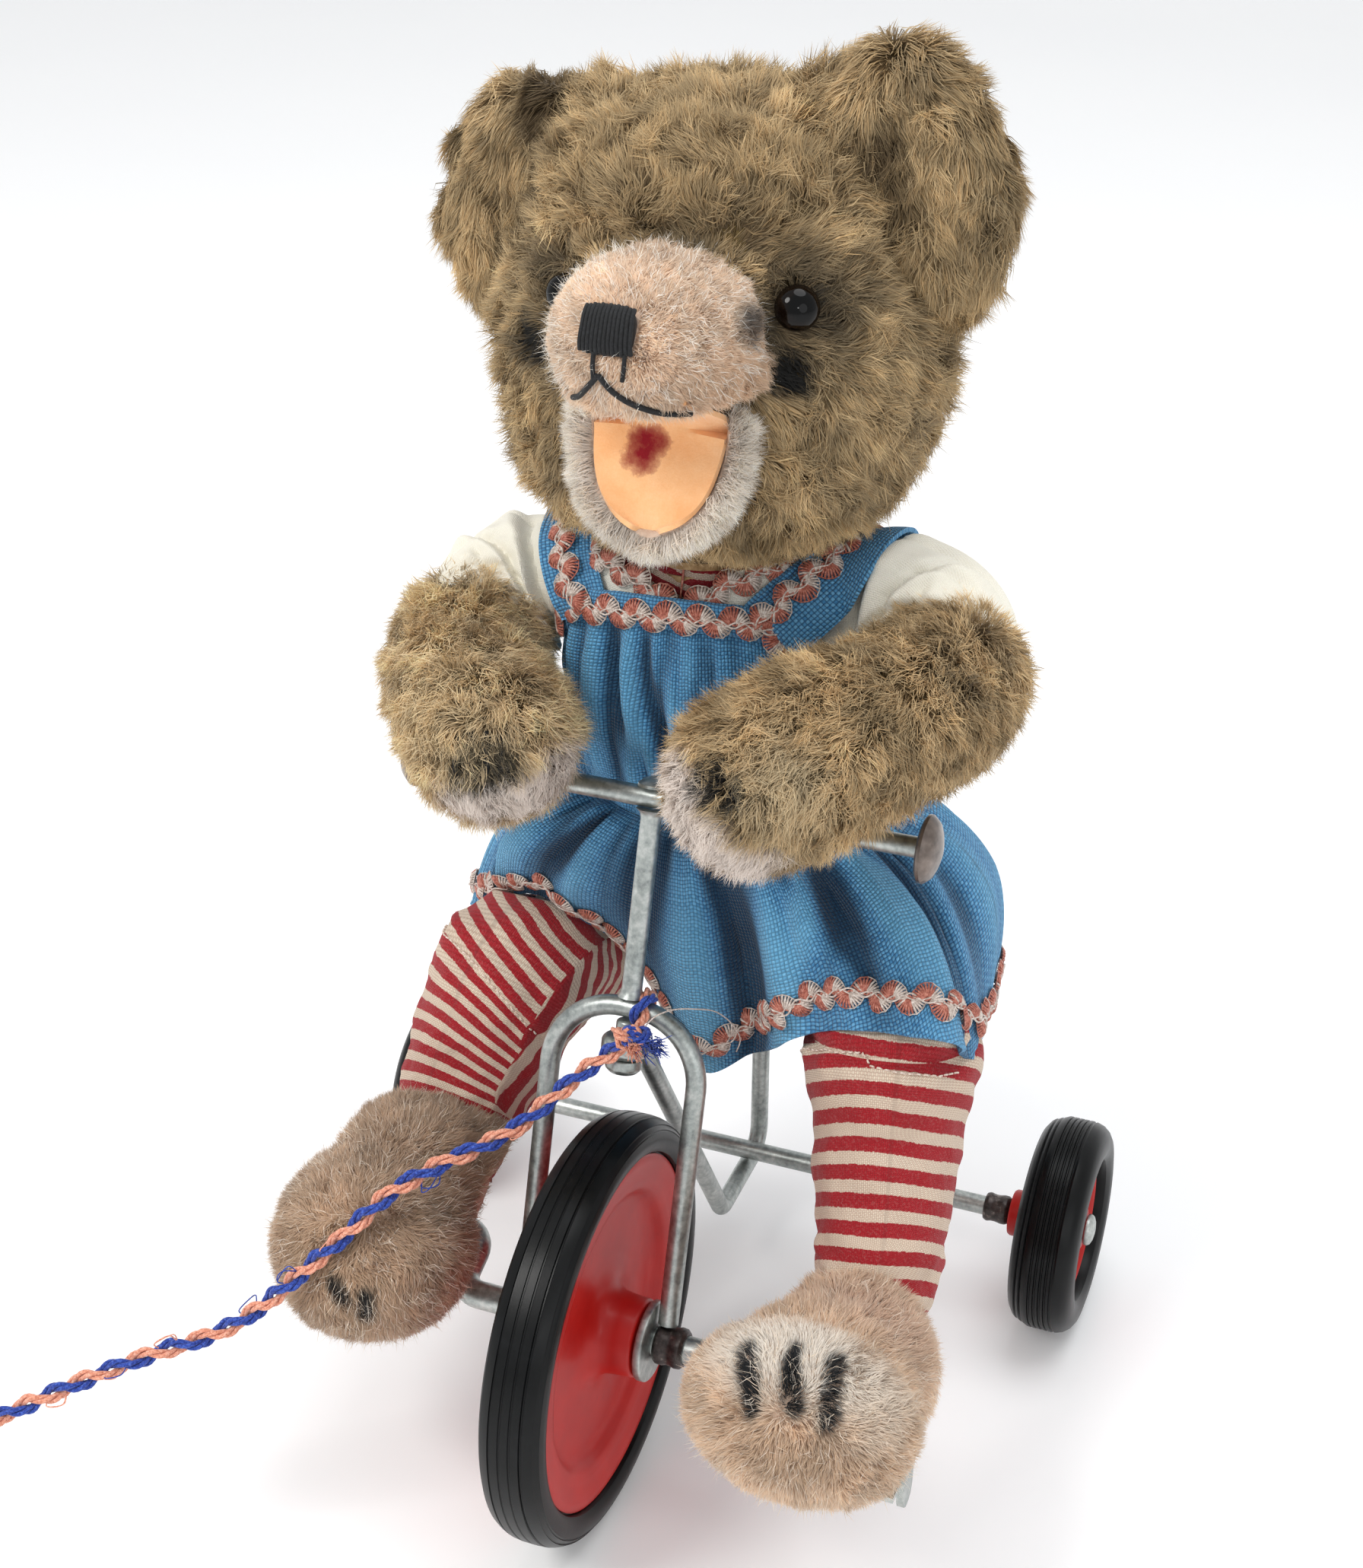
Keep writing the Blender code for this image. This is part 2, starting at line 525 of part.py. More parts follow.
# lower jaw: hangs open, its felt face turned forwards and up
JAW_BACK = MUZ_P + MUZ_N * GAP
jaw = ellipsoid((3.4, 27.0, 211.5), (15.0, 13.0, 13.5), 22, 12)
JAW_TOP_N = np.array((0.0, -0.80, 0.60))
JAW_TOP_P = np.array((3.4, 19.5, 207.0))
jaw = cut(jaw, JAW_TOP_P, JAW_TOP_N)
jaw = cut(jaw, JAW_BACK, -MUZ_N)
add("lower_jaw", jaw, "plush", HO)
# mouth lining: felt wedge between the muzzle's underside and the jaw, hollowed so that the mouth is open
mu = np.array(MOUTH_UP_N) / np.linalg.norm(MOUTH_UP_N)
lin = ellipsoid((3.4, 23.0, 217.0), (14.4, 14.5, 15.5), 20, 12)
lin = cut(lin, MOUTH_UP_P + mu * GAP, -mu)
lin = cut(lin, JAW_TOP_P + JAW_TOP_N * GAP, -JAW_TOP_N)
lin = cut(lin, MUZ_P + MUZ_N * GAP, -MUZ_N)
up = MOUTH_UP_P + mu * (GAP + 1.3)
lo = JAW_TOP_P + JAW_TOP_N * (GAP + 1.3)
# the hollow runs back to a little ahead of the head's facet, in the x = 0 plane
fn, fp = MUZ_N[1:] / np.linalg.norm(MUZ_N[1:]), (MUZ_P + MUZ_N * (GAP + 1.5))[1:]


def meet(n1, p1, n2, p2):
    return np.linalg.solve(np.array([n1, n2]), np.array([n1 @ p1, n2 @ p2]))


q_up, q_lo = meet(mu[1:], up[1:], fn, fp), meet(JAW_TOP_N[1:], lo[1:], fn, fp)
ud = np.array((mu[2], -mu[1]))
ud = ud * (-1 if ud[0] > 0 else 1)
jd = np.array((JAW_TOP_N[2], -JAW_TOP_N[1]))
jd = jd * (-1 if jd[1] > 0 else 1)
quad = [q_up, q_up + ud * 60, q_lo + jd * 60, q_lo]
notch = mesh([(x, p[0], p[1]) for x in (-30, 40) for p in quad], [(0, 1, 2, 3), (4, 7, 6, 5), (0, 4, 5, 1), (1, 5, 6, 2), (2, 6, 7, 3), (3, 7, 4, 0)])
lin = bool_mesh(lin, notch, "DIFFERENCE")
add("mouth_lining", lin, "felt", HO)
for n, (seat, nrm) in EYE_SEAT.items():
    e = ellipsoid(seat + nrm * 1.2, (4.1, 4.1, 3.6), 16, 10, oriented(nrm))
    e = cut(e, seat + nrm * GAP, -nrm)
    add("eye_" + n, e, "glass_eye", HO)
add("neck_disc_upper", lathe([(0, 2.4), (0, 14.0), (1.4, 14.0), (1.4, 2.4)], (0, 58, 185.9), (0, 0, 1), 20, ring=True), "fibre_disc", HO)
add("neck_pin", lathe([(178.2, 0), (178.2, 1.5), (195.2, 1.5), (195.2, 0)], (0, 58, 0), (0, 0, 1), 10), "zinc_wire", HO)

# ================= fork and handlebar =================
FO = tuple(C0)
fk_pts = [F(LEG_X, 0, 4.4), F(LEG_X, 0, FORK_CROWN), F(-LEG_X, 0, FORK_CROWN), F(-LEG_X, 0, 4.4)]
add("fork", sweep(fillet(fk_pts, [13.6, 13.6], 7), WIRE_R, 10), "zinc_wire", FO)
for s, n in ((1, "left"), (-1, "right")):
    add("fork_plate_" + n, lathe([(s * 11.1, CRANK_R + 0.25), (s * 11.1, 8.0), (s * 12.8, 8.0), (s * 12.8, CRANK_R + 0.25)], C0, X, 24, ring=True), "zinc_wire", FO)
add("steering_column", lathe([(FORK_CROWN + WIRE_R + GAP, 0), (FORK_CROWN + WIRE_R + GAP, WIRE_R), (BAR_W - WIRE_R - GAP, WIRE_R), (BAR_W - WIRE_R - GAP, 0)], C0, D, 12), "zinc_wire", FO)
add("king_pin", lathe([(52.6, 0), (52.6, 2.6), (53.6, 3.6), (55.6, 3.6), (55.6, 2.25), (62.8, 2.25), (63.2, 1.8), (63.2, 0)], C0, D, 14), "zinc_wire", FO)
bar_c = F(0, 0, BAR_W)
add("handlebar", lathe([(-BAR_RIGHT, 0), (-BAR_RIGHT, WIRE_R), (BAR_LEFT, WIRE_R), (BAR_LEFT, 0)], bar_c, X, 12), "zinc_wire", FO)
for s, n, e in ((1, "left", BAR_LEFT), (-1, "right", BAR_RIGHT)):
    add("handlebar_cap_" + n, lathe([(s * (e + GAP), 0), (s * (e + GAP), 6.3), (s * (e + 1.2), 6.5), (s * (e + 2.8), 5.2), (s * (e + 3.7), 2.6), (s * (e + 4.0), 0)], bar_c, X, 20), "brown_cap", FO)
add("column_rivet", lathe([(BAR_W + WIRE_R + GAP, 0), (BAR_W + WIRE_R + GAP, 3.2), (BAR_W + WIRE_R + 1.2, 2.8), (BAR_W + WIRE_R + 2.0, 1.2), (BAR_W + WIRE_R + 2.2, 0)], C0, D, 12), "zinc_wire", FO)
ARMS = {"left": ([(54.5, 53, 172.4), (53.0, 41, 171.4), (45.5, 29, 169.6), (34, 19.5, 164.4), (26, 14.5, 160.4)], (14.2, 13.8, 13.4, 13.8, 13.6)),
        "right": ([(-43.5, 51.5, 165.0), (-42, 39, 161.6), (-35, 27.5, 160.4), (-27.5, 19.5, 159.4)], (14.2, 14.4, 14.4, 13.6))}
for n, (p, r) in ARMS.items():
    b = limb(p, r, 14, round_start=True, round_end=True)
    P0, t = ELBOW[n]
    b = cut(b, P0 + t * 0.2, -t)
    # the bar runs under the paw in a groove
    groove = box((-70, bar_c[1] - WIRE_R - 0.4, bar_c[2] - 12), (70, bar_c[1] + WIRE_R + 0.4, bar_c[2] + WIRE_R + 0.4))
    b = bool_mesh(b, groove, "DIFFERENCE")
    if n == "right":
        b = bool_mesh(b, lathe([(-BAR_RIGHT + 0.1, 0), (-BAR_RIGHT + 0.1, 6.9), (-BAR_RIGHT - 14, 6.9), (-BAR_RIGHT - 14, 0)], bar_c, X, 20), "DIFFERENCE")
    add("forearm_" + n, b, "plush", FO)

# ================= front wheel =================
WO = tuple(C0)
half = [(3.9, 32.0), (3.9, 35.7), (5.8, 35.8), (6.3, 37.6), (6.3, 39.4), (5.4, 41.2), (3.4, 42.2), (0.0, 42.5)]
prof = half + [(-a, r) for a, r in half[-2::-1]]
add("front_tyre", lathe(prof, C0, X, 40, ring=True), "black_rubber", WO)
half = [(10.4, CRANK_R + 0.1), (10.4, 7.0), (9.6, 7.5), (7.4, 8.4), (3.2, 10.8), (1.7, 13.5), (1.4, 19.0), (1.5, 26.0), (2.3, 29.6), (4.2, 31.0), (4.8, 32.6), (4.8, 35.4), (4.2, 35.4), (4.2, 31.7)]
prof = half + [(-a, r) for a, r in half[::-1]]
add("front_wheel_disc", lathe(prof, C0, X, 36, ring=True), "red_enamel", WO)
cr = fillet([(-59.5, THROW_Y, FRONT_R + THROW_Z), (-29.5, THROW_Y, FRONT_R + THROW_Z), (-29.5, 0, FRONT_R), (31.5, 0, FRONT_R), (31.5, -THROW_Y, FRONT_R - THROW_Z), (66.5, -THROW_Y, FRONT_R - THROW_Z)], [4.6, 4.6, 4.6, 4.6], 5)
add("crank", sweep(cr, CRANK_R, 10), "zinc_wire", WO)
for s, n in ((1, "left"), (-1, "right")):
    add("crank_collar_" + n, lathe([(s * 13.4, CRANK_R + 0.1), (s * 13.4, 3.6), (s * 14.2, 4.0), (s * 18.4, 4.0), (s * 19.4, 3.6), (s * 19.4, CRANK_R + 0.1)], C0, X, 16, ring=True), "dark_collar", WO)

# ================= pedals and legs =================
LEGS = {
    "left": dict(s=1, pin=(-THROW_Y, FRONT_R - THROW_Z), x0=38.0, x1=66.2, foot=(49.8, -13.0, 55.6), fr=(19.0, 28.0, 16.8), low=40.0,
                 shin=[(44.0, 45, 90.5), (47.5, 35, 75), (50.8, 22, 60.5), (51.5, 12, 54)], sr=(16.2, 14.4, 12.8, 12.0), thigh=[(44.0, 45, 90.5), (40.5, 61, 96.5), (36.0, 80, 97)], tr=(16.2, 16.0, 14.8)),
    "right": dict(s=-1, pin=(THROW_Y, FRONT_R + THROW_Z), x0=-35.5, x1=-59.2, foot=(-41.5, 0.5, 58.6), fr=(20.0, 29.0, 18.0), low=44.6,
                  shin=[(-35.4, 46.5, 90), (-37.6, 38.5, 79), (-39.8, 30, 69), (-41.3, 22, 60)], sr=(16.4, 14.8, 13.0, 12.0), thigh=[(-35.4, 46.5, 90), (-34.5, 62, 91), (-34, 79, 92)], tr=(16.4, 16.0, 14.4)),
}
for n, L in LEGS.items():
    s, (py, pz) = L["s"], L["pin"]
    O = ((L["x0"] + L["x1"]) / 2, py, pz)
    # pedal: tube on the pin, a tread plate over it and an upturned outer end
    sole = pz + 2.4
    prof = []
    for j in range(14):
        t = math.pi * 2 * j / 14
        prof.append((3.2 * math.copysign(abs(math.cos(t)) ** 0.8, math.cos(t)), 5.6 * math.copysign(abs(math.sin(t)) ** 0.8, math.sin(t))))
    xe = L["x1"] + s * 0.5
    flange = loft([[(xe + s * h, py + a, pz - 0.6 + b) for a, b in prof] for h in (0.0, 1.4)])
    plate = box((min(L["x0"] + s, xe + s * 0.7), py - 8.0, sole - 1.5), (max(L["x0"] + s, xe + s * 0.7), py + 8.0, sole - GAP))
    solid = lathe([(min(L["x0"], L["x1"]), 0), (min(L["x0"], L["x1"]), 3.7), (max(L["x0"], L["x1"]) , 3.7), (max(L["x0"], L["x1"]), 0)], (0, py, pz), X, 14)
    ped = bool_mesh(solid, plate, "UNION")
    # the flange stands just outside the pin's end and closes the tube
    far = lathe([(min(L["x1"] - s * 1, xe + s * 0.4), 0), (min(L["x1"] - s * 1, xe + s * 0.4), 3.6), (max(L["x1"] - s * 1, xe + s * 0.4), 3.6), (max(L["x1"] - s * 1, xe + s * 0.4), 0)], (0, py, pz), X, 14)
    flange = bool_mesh(flange, far, "UNION")
    pin_end = 66.5 if s > 0 else -59.5
    bx0, bx1 = L["x0"] - s * 2, pin_end + s * 0.3
    ped = bool_mesh(ped, flange, "UNION")
    bore = lathe([(min(bx0, bx1), 0), (min(bx0, bx1), CRANK_R + 0.1), (max(bx0, bx1), CRANK_R + 0.1), (max(bx0, bx1), 0)], (0, py, pz), X, 14)
    ped = bool_mesh(ped, bore, "DIFFERENCE")
    add("pedal_" + n, ped, "zinc_wire", O)
    # foot: stuffed oval with a flat sole, on the pedal
    foot = ellipsoid(L["foot"], L["fr"], 20, 12)
    foot = cut(foot, (0, 0, L["low"]), (0, 0, -1))
    # room for the pedal's tube and its upturned end
    groove = box((-100, py - 4.3, pz - 20), (100, py + 4.3, pz + 4.1))
    if sole > L["low"]:
        groove = bool_mesh(groove, box((-100, py - 8.5, pz - 20), (100, py + 8.5, sole)), "UNION")
    if n == "left":
        xg = xe - 0.4
        groove = bool_mesh(groove, box((xg, py - 7, pz - 20), (100, py + 7, pz + 6.0)), "UNION")
    else:
        groove = bool_mesh(groove, box((-100, py - 7, pz - 20), (xe + 0.4, py + 7, pz + 6.0)), "UNION")
    foot = bool_mesh(foot, groove, "DIFFERENCE")
    # room for the crank's arm, which turns about the pin beside the foot
    arm_x = 34.9 if s > 0 else -33.0
    swept = lathe([(min(arm_x, s * 5), 0), (min(arm_x, s * 5), 16.7), (max(arm_x, s * 5), 16.7), (max(arm_x, s * 5), 0)], (0, py, pz), X, 24)
    foot = bool_mesh(foot, swept.copy(), "DIFFERENCE")
    add("foot_" + n, foot, "plush", O)
    # shin stops against the foot, thigh against the shin at the knee seam
    kn = np.array(L["shin"][0], float)
    u1 = np.array(L["shin"][1], float) - kn
    u2 = np.array(L["thigh"][1], float) - kn
    seam = u1 / np.linalg.norm(u1) - u2 / np.linalg.norm(u2)
    seam = seam / np.linalg.norm(seam)
    shin = limb(L["shin"], L["sr"], 14, round_start=True, round_end=False)
    shin = cut(shin, kn + seam * 0.2, -seam)
    big = ellipsoid(L["foot"], tuple(r + 0.35 for r in L["fr"]), 20, 12)
    shin = bool_mesh(shin, big, "DIFFERENCE")
    shin = bool_mesh(shin, swept, "DIFFERENCE")
    add("shin_" + n, shin, "striped_cotton", O)
    thigh = limb(L["thigh"], L["tr"], 14, round_start=True, round_end=True)
    thigh = cut(thigh, kn - seam * 0.2, seam)
    thigh = cut(thigh, (s * 19.2, 0, 0), (-s, 0, 0))
    add("thigh_" + n, thigh, "striped_cotton", O)

# ================= rear wheels =================
for s, n in ((1, "left"), (-1, "right")):
    c = (0, WHEELBASE, REAR_R)
    O = (s * 74.0, WHEELBASE, REAR_R)
    prof = [(62.9, AXLE_R + 0.1), (62.9, 4.8), (63.8, 5.1), (70.5, 5.1), (72.2, 6.6), (72.6, 9.5), (72.8, 12.4), (70.2, 13.6), (70.0, 14.9), (78.4, 14.9), (78.4, 13.8), (74.6, 12.4), (74.2, 9.0), (75.0, 5.6), (78.6, 5.0), (79.1, 4.6), (79.1, AXLE_R + 0.1)]
    add("rear_wheel_" + n, lathe([(s * a, r) for a, r in prof], c, X, 28, ring=True), "red_enamel", O)
    prof = [(68.6, 15.2), (67.4, 16.4), (67.0, 18.6), (67.4, 21.0), (69.0, 22.8), (71.6, 23.5), (76.8, 23.5), (79.4, 22.8), (81.0, 21.0), (81.4, 18.6), (81.0, 16.4), (79.8, 15.2)]
    add("rear_tyre_" + n, lathe([(s * a, r) for a, r in prof], c, X, 32, ring=True), "black_rubber", O)

# ================= pull cord =================
kc = F(0.5, -5.3, FORK_CROWN - 0.4)
add("cord_knot", ellipsoid(kc + np.array((0, 0, -0.6)), (4.4, 2.5, 4.4), 12, 8), "cord", FO)
CORD_R = 2.2
cord = [kc + np.array((-3.6, -3.0, -3.6)), (-5.8, 8.0, 95.9), (-10.4, 4.0, 90.8), (-15.0, -1.0, 86.8), (-20.5, -6.5, 84.4), (-26.2, -12.0, 82.6), (-32.4, -18.0, 79.4), (-36.1, -22.0, 76.0), (-39.8, -25.5, 71.8),
        (-44.5, -29.0, 67.0), (-50.0, -32.0, 61.1), (-55.6, -34.5, 55.6), (-60.2, -37.0, 52.4), (-65.6, -40.5, 50.2), (-71.3, -44.0, 48.7), (-83.1, -53.0, 45.0), (-96.2, -61.0, 38.9), (-104.0, -65.6, 35.2)]


def resample(points, step):
    """Even steps along a smooth curve through the points."""
    pts = [np.array(p, float) for p in points]
    fine = []
    for i in range(len(pts) - 1):
        p0, p1, p2, p3 = pts[max(i - 1, 0)], pts[i], pts[i + 1], pts[min(i + 2, len(pts) - 1)]
        for k in range(20):
            t = k / 20
            fine.append(0.5 * ((2 * p1) + (p2 - p0) * t + (2 * p0 - 5 * p1 + 4 * p2 - p3) * t * t + (3 * p1 - p0 - 3 * p2 + p3) * t ** 3))
    fine.append(pts[-1])
    seg = [0.0]
    for a, b in zip(fine, fine[1:]):
        seg.append(seg[-1] + float(np.linalg.norm(b - a)))
    n = max(2, round(seg[-1] / step))
    out = []
    for k in range(n + 1):
        d = seg[-1] * k / n
        i = min(len(seg) - 2, max(j for j in range(len(seg)) if seg[j] <= d + 1e-9))
        f = (d - seg[i]) / max(1e-9, seg[i + 1] - seg[i])
        out.append(fine[i] * (1 - f) + fine[i + 1] * f)
    return out


pts = resample(cord, CORD_R * 2 * 2.2)
cu = bpy.data.curves.new("pull_cord", "CURVE")
cu.dimensions = "3D"
cu.bevel_depth = CORD_R * MM
cu.bevel_resolution = 3
cu.use_fill_caps = True
sp = cu.splines.new("POLY")
sp.points.add(len(pts) - 1)
for i, p in enumerate(pts):
    q = (np.array(p) - np.array(FO)) * MM
    sp.points[i].co = (float(q[0]), float(q[1]), float(q[2]), 1.0)
ob = bpy.data.objects.new("pull_cord", cu)
ob.location = Vector([float(c) * MM for c in (np.array(FO) + np.array((0, -Y_SHIFT, 0)))])
cu.materials.append(material("cord"))
bpy.context.scene.collection.objects.link(ob)
NODES["pull_cord"] = ob
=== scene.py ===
import bpy, bmesh, math
import numpy as np
from mathutils import Vector, Matrix


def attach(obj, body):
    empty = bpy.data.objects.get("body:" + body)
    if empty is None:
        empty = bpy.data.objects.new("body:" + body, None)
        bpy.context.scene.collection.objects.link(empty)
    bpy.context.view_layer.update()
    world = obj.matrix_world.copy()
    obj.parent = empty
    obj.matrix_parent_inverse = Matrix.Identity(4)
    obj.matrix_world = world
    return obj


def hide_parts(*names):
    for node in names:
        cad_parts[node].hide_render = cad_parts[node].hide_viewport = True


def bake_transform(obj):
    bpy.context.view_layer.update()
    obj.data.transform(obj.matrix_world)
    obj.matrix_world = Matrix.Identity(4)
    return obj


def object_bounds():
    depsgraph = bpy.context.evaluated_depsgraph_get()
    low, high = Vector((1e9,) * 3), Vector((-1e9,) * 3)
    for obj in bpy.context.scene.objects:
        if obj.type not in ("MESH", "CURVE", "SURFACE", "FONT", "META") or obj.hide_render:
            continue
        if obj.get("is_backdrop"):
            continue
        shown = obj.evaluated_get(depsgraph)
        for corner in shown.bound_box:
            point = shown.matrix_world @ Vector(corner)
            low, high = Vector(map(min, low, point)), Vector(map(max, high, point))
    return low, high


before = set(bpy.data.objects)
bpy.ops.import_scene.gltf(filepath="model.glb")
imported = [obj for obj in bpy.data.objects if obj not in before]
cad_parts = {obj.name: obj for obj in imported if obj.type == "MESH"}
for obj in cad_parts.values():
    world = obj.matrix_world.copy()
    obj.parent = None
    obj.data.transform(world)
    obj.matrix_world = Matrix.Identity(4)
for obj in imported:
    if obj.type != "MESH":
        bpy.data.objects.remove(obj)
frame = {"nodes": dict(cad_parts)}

CAD_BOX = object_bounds()
MM = 0.001
YS = 35.0                       # the measuring frame's Y zero is the front axle
FRONT_R, RIM_R, REAR_R, WB, RAKE = 42.5, 35.4, 23.5, 89.0, 0.29993
WIRE_R, CRANK_R, AXLE_R = 2.0, 2.8, 2.1
THROW_Y, THROW_Z, LEG_X = 12.4, 4.9, 15.1
SHOULDER, CROWN, BAR_W = 51.8, 65.6, 106.8
BAR_LEFT, BAR_RIGHT = 52.0, 47.5
X = np.array([1.0, 0, 0])
D = np.array([0.0, math.sin(RAKE), math.cos(RAKE)])
V_ = np.array([0.0, math.cos(RAKE), -math.sin(RAKE)])
C0 = np.array([0.0, 0.0, FRONT_R])
A = np.array


def F(x, v, w):
    return C0 + x * X + v * V_ + w * D


def srgb(h):
    c = [int(h[i:i + 2], 16) / 255 for i in (1, 3, 5)]
    return tuple((v / 12.92 if v <= 0.04045 else ((v + 0.055) / 1.055) ** 2.4) for v in c)


def rgba(h):
    return srgb(h) + (1.0,)


# =============================================================== camera, stage, light
sc = bpy.context.scene
sc.view_settings.view_transform = "Standard"
sc.view_settings.look = "None"
cam = bpy.data.cameras.new("camera")
cam.sensor_fit, cam.sensor_width, cam.lens = "AUTO", 36.0, 3145.8 * 36 / 2061
cam.clip_start, cam.clip_end = 0.01, 30
co = bpy.data.objects.new("camera", cam)
co.matrix_world = Matrix(((0.9324, -0.1737, 0.3170, 0.14655), (0.3614, 0.4372, -0.8236, -0.33455 - YS * MM), (0.0045, 0.8824, 0.4704, 0.35765), (0, 0, 0, 1)))
sc.collection.objects.link(co)
sc.camera = co

world = bpy.data.worlds.new("world")
sc.world = world
world.use_nodes = True
world.node_tree.nodes["Background"].inputs["Color"].default_value = (0.97, 0.985, 1.0, 1)
world.node_tree.nodes["Background"].inputs["Strength"].default_value = 0.72


def light(name, loc, target, size, power, colour=(1, 1, 1)):
    d = bpy.data.lights.new(name, "AREA")
    d.shape, d.size, d.energy, d.color = "DISK", size, power, colour
    o = bpy.data.objects.new(name, d)
    o.location = loc
    o.rotation_euler = (Vector(target) - Vector(loc)).to_track_quat("-Z", "Y").to_euler()
    sc.collection.objects.link(o)


light("key", (-0.55, -0.75, 1.15), (0, 0, 0.14), 0.55, 9.0, (1.0, 0.985, 0.96))
light("top", (0.25, 0.15, 1.35), (0, 0.02, 0.1), 0.9, 6.0, (0.98, 0.99, 1.0))
light("fill", (1.0, -0.7, 0.55), (0, 0, 0.14), 0.8, 1.6, (0.96, 0.98, 1.0))
light("strip", (0.62, -0.95, 0.62), (0.02, -0.02, 0.18), 0.12, 0.5, (1.0, 1.0, 1.0))


# =============================================================== node materials
class Mat:
    """Small helper around a node material."""

    def __init__(self, name, slot=None):
        self.m = bpy.data.materials.new(name)
        self.m.use_nodes = True
        self.t = self.m.node_tree
        self.b = self.t.nodes["Principled BSDF"]
        self.out = self.t.nodes["Material Output"]

    def node(self, kind, **kw):
        n = self.t.nodes.new(kind)
        for k, v in kw.items():
            if k.startswith("i_"):
                key = k[2:]
                n.inputs[int(key) if key.isdigit() else key].default_value = v
            else:
                setattr(n, k, v)
        return n

    def link(self, a, b):
        self.t.links.new(a, b)

    def math(self, op, a, b=None, c=None):
        n = self.node("ShaderNodeMath", operation=op)
        for i, v in enumerate((a, b, c)):
            if v is None:
                continue
            if isinstance(v, (int, float)):
                n.inputs[i].default_value = v
            else:
                self.link(v, n.inputs[i])
        return n.outputs[0]

    def coord(self, kind="Object"):
        return self.node("ShaderNodeTexCoord").outputs[kind]

    def noise(self, scale, detail=4.0, rough=0.55, vec=None, w=0.0):
        n = self.node("ShaderNodeTexNoise")
        n.inputs["Scale"].default_value = scale
        n.inputs["Detail"].default_value = detail
        n.inputs["Roughness"].default_value = rough
        self.link(vec if vec is not None else self.coord(), n.inputs["Vector"])
        return n.outputs["Fac"]

    def ramp(self, fac, stops, interp="LINEAR"):
        n = self.node("ShaderNodeValToRGB")
        n.color_ramp.interpolation = interp
        e = n.color_ramp.elements
        while len(e) < len(stops):
            e.new(0.5)
        for el, (p, c) in zip(e, stops):
            el.position = p
            el.color = c if len(c) == 4 else tuple(c) + (1.0,)
        self.link(fac, n.inputs[0])
        return n.outputs[0]

    def mix(self, fac, a, b, mode="MIX"):
        n = self.node("ShaderNodeMix", data_type="RGBA", blend_type=mode)
        for key, v in (("Factor", fac), ("A", a), ("B", b)):
            s = [i for i in n.inputs if i.name == key and (i.type == ("VALUE" if key == "Factor" else "RGBA"))][0]
            if isinstance(v, (int, float)):
                s.default_value = v
            elif isinstance(v, tuple):
                s.default_value = v if len(v) == 4 else v + (1.0,)
            else:
                self.link(v, s)
        return [o for o in n.outputs if o.type == "RGBA"][0]

    def bump(self, height, strength, dist, normal=None):
        n = self.node("ShaderNodeBump")
        n.inputs["Strength"].default_value = strength
        n.inputs["Distance"].default_value = dist
        self.link(height, n.inputs["Height"])
        if normal is not None:
            self.link(normal, n.inputs["Normal"])
        return n.outputs[0]

    def set(self, **kw):
        names = dict(colour="Base Color", rough="Roughness", metal="Metallic", spec="Specular IOR Level", coat="Coat Weight", coatrough="Coat Roughness",
                     sheen="Sheen Weight", sheenrough="Sheen Roughness", sheentint="Sheen Tint", sss="Subsurface Weight", normal="Normal", trans="Transmission Weight", ior="IOR")
        for k, v in kw.items():
            s = self.b.inputs[names[k]]
            if isinstance(v, (int, float)):
                s.default_value = v
            elif isinstance(v, tuple):
                s.default_value = v if len(v) == 4 else v + (1.0,)
            else:
                self.link(v, s)
        return self


def attr(m, name, kind="GEOMETRY"):
    return m.node("ShaderNodeAttribute", attribute_name=name, attribute_type=kind)


def zinc():
    m = Mat("zinc_wire")
    c = m.coord()
    n1, n2 = m.noise(900, 5, 0.6, c), m.noise(160, 4, 0.6, c)
    col = m.ramp(m.math("ADD", m.math("MULTIPLY", n1, 0.5), m.math("MULTIPLY", n2, 0.5)), [(0.32, srgb("#7C8281")), (0.5, srgb("#A9AEAB")), (0.68, srgb("#CFD1CD"))])
    m.set(colour=col, metal=0.9, rough=m.math("MULTIPLY_ADD", n1, 0.25, 0.26), normal=m.bump(n1, 0.2, 0.0002))
    return m.m


def collar_dark():
    m = Mat("dark_collar")
    n, n2 = m.noise(700, 4), m.noise(170, 3)
    col = m.ramp(n, [(0.35, srgb("#2A2827")), (0.6, srgb("#4A4542")), (0.75, srgb("#8A827B"))])
    col = m.mix(m.math("MULTIPLY", n2, 0.12), col, srgb("#5A1F1C"))
    m.set(colour=col, metal=0.75, rough=0.42, coat=0.2, coatrough=0.25, normal=m.bump(n, 0.2, 0.0002))
    return m.m


def enamel():
    m = Mat("red_enamel")
    n1, n2 = m.noise(90, 3), m.noise(1300, 3)
    col = m.ramp(n1, [(0.3, srgb("#AC1410")), (0.6, srgb("#BA1B15")), (0.8, srgb("#C4231B"))])
    col = m.mix(m.ramp(m.noise(420, 5, 0.7), [(0.62, (0, 0, 0)), (0.78, (0.5, 0.5, 0.5))]), col, srgb("#8E1512"))
    m.set(colour=col, rough=0.42, spec=0.3, coat=0.12, coatrough=0.2, normal=m.bump(n2, 0.04, 0.0001))
    return m.m


def rubber():
    m = Mat("black_rubber")
    n1, n2 = m.noise(160, 5), m.noise(1800, 3)
    col = m.ramp(n1, [(0.3, srgb("#050606")), (0.6, srgb("#0B0C0D")), (0.85, srgb("#16181A"))])
    col = m.mix(m.ramp(m.noise(520, 6, 0.75), [(0.62, (0, 0, 0)), (0.88, (0.14, 0.14, 0.14))]), col, srgb("#3B3D3E"))
    m.set(colour=col, rough=m.math("MULTIPLY_ADD", n1, 0.14, 0.26), spec=0.3, normal=m.bump(n2, 0.1, 0.0001))
    m.set(spec=0.2)
    return m.m


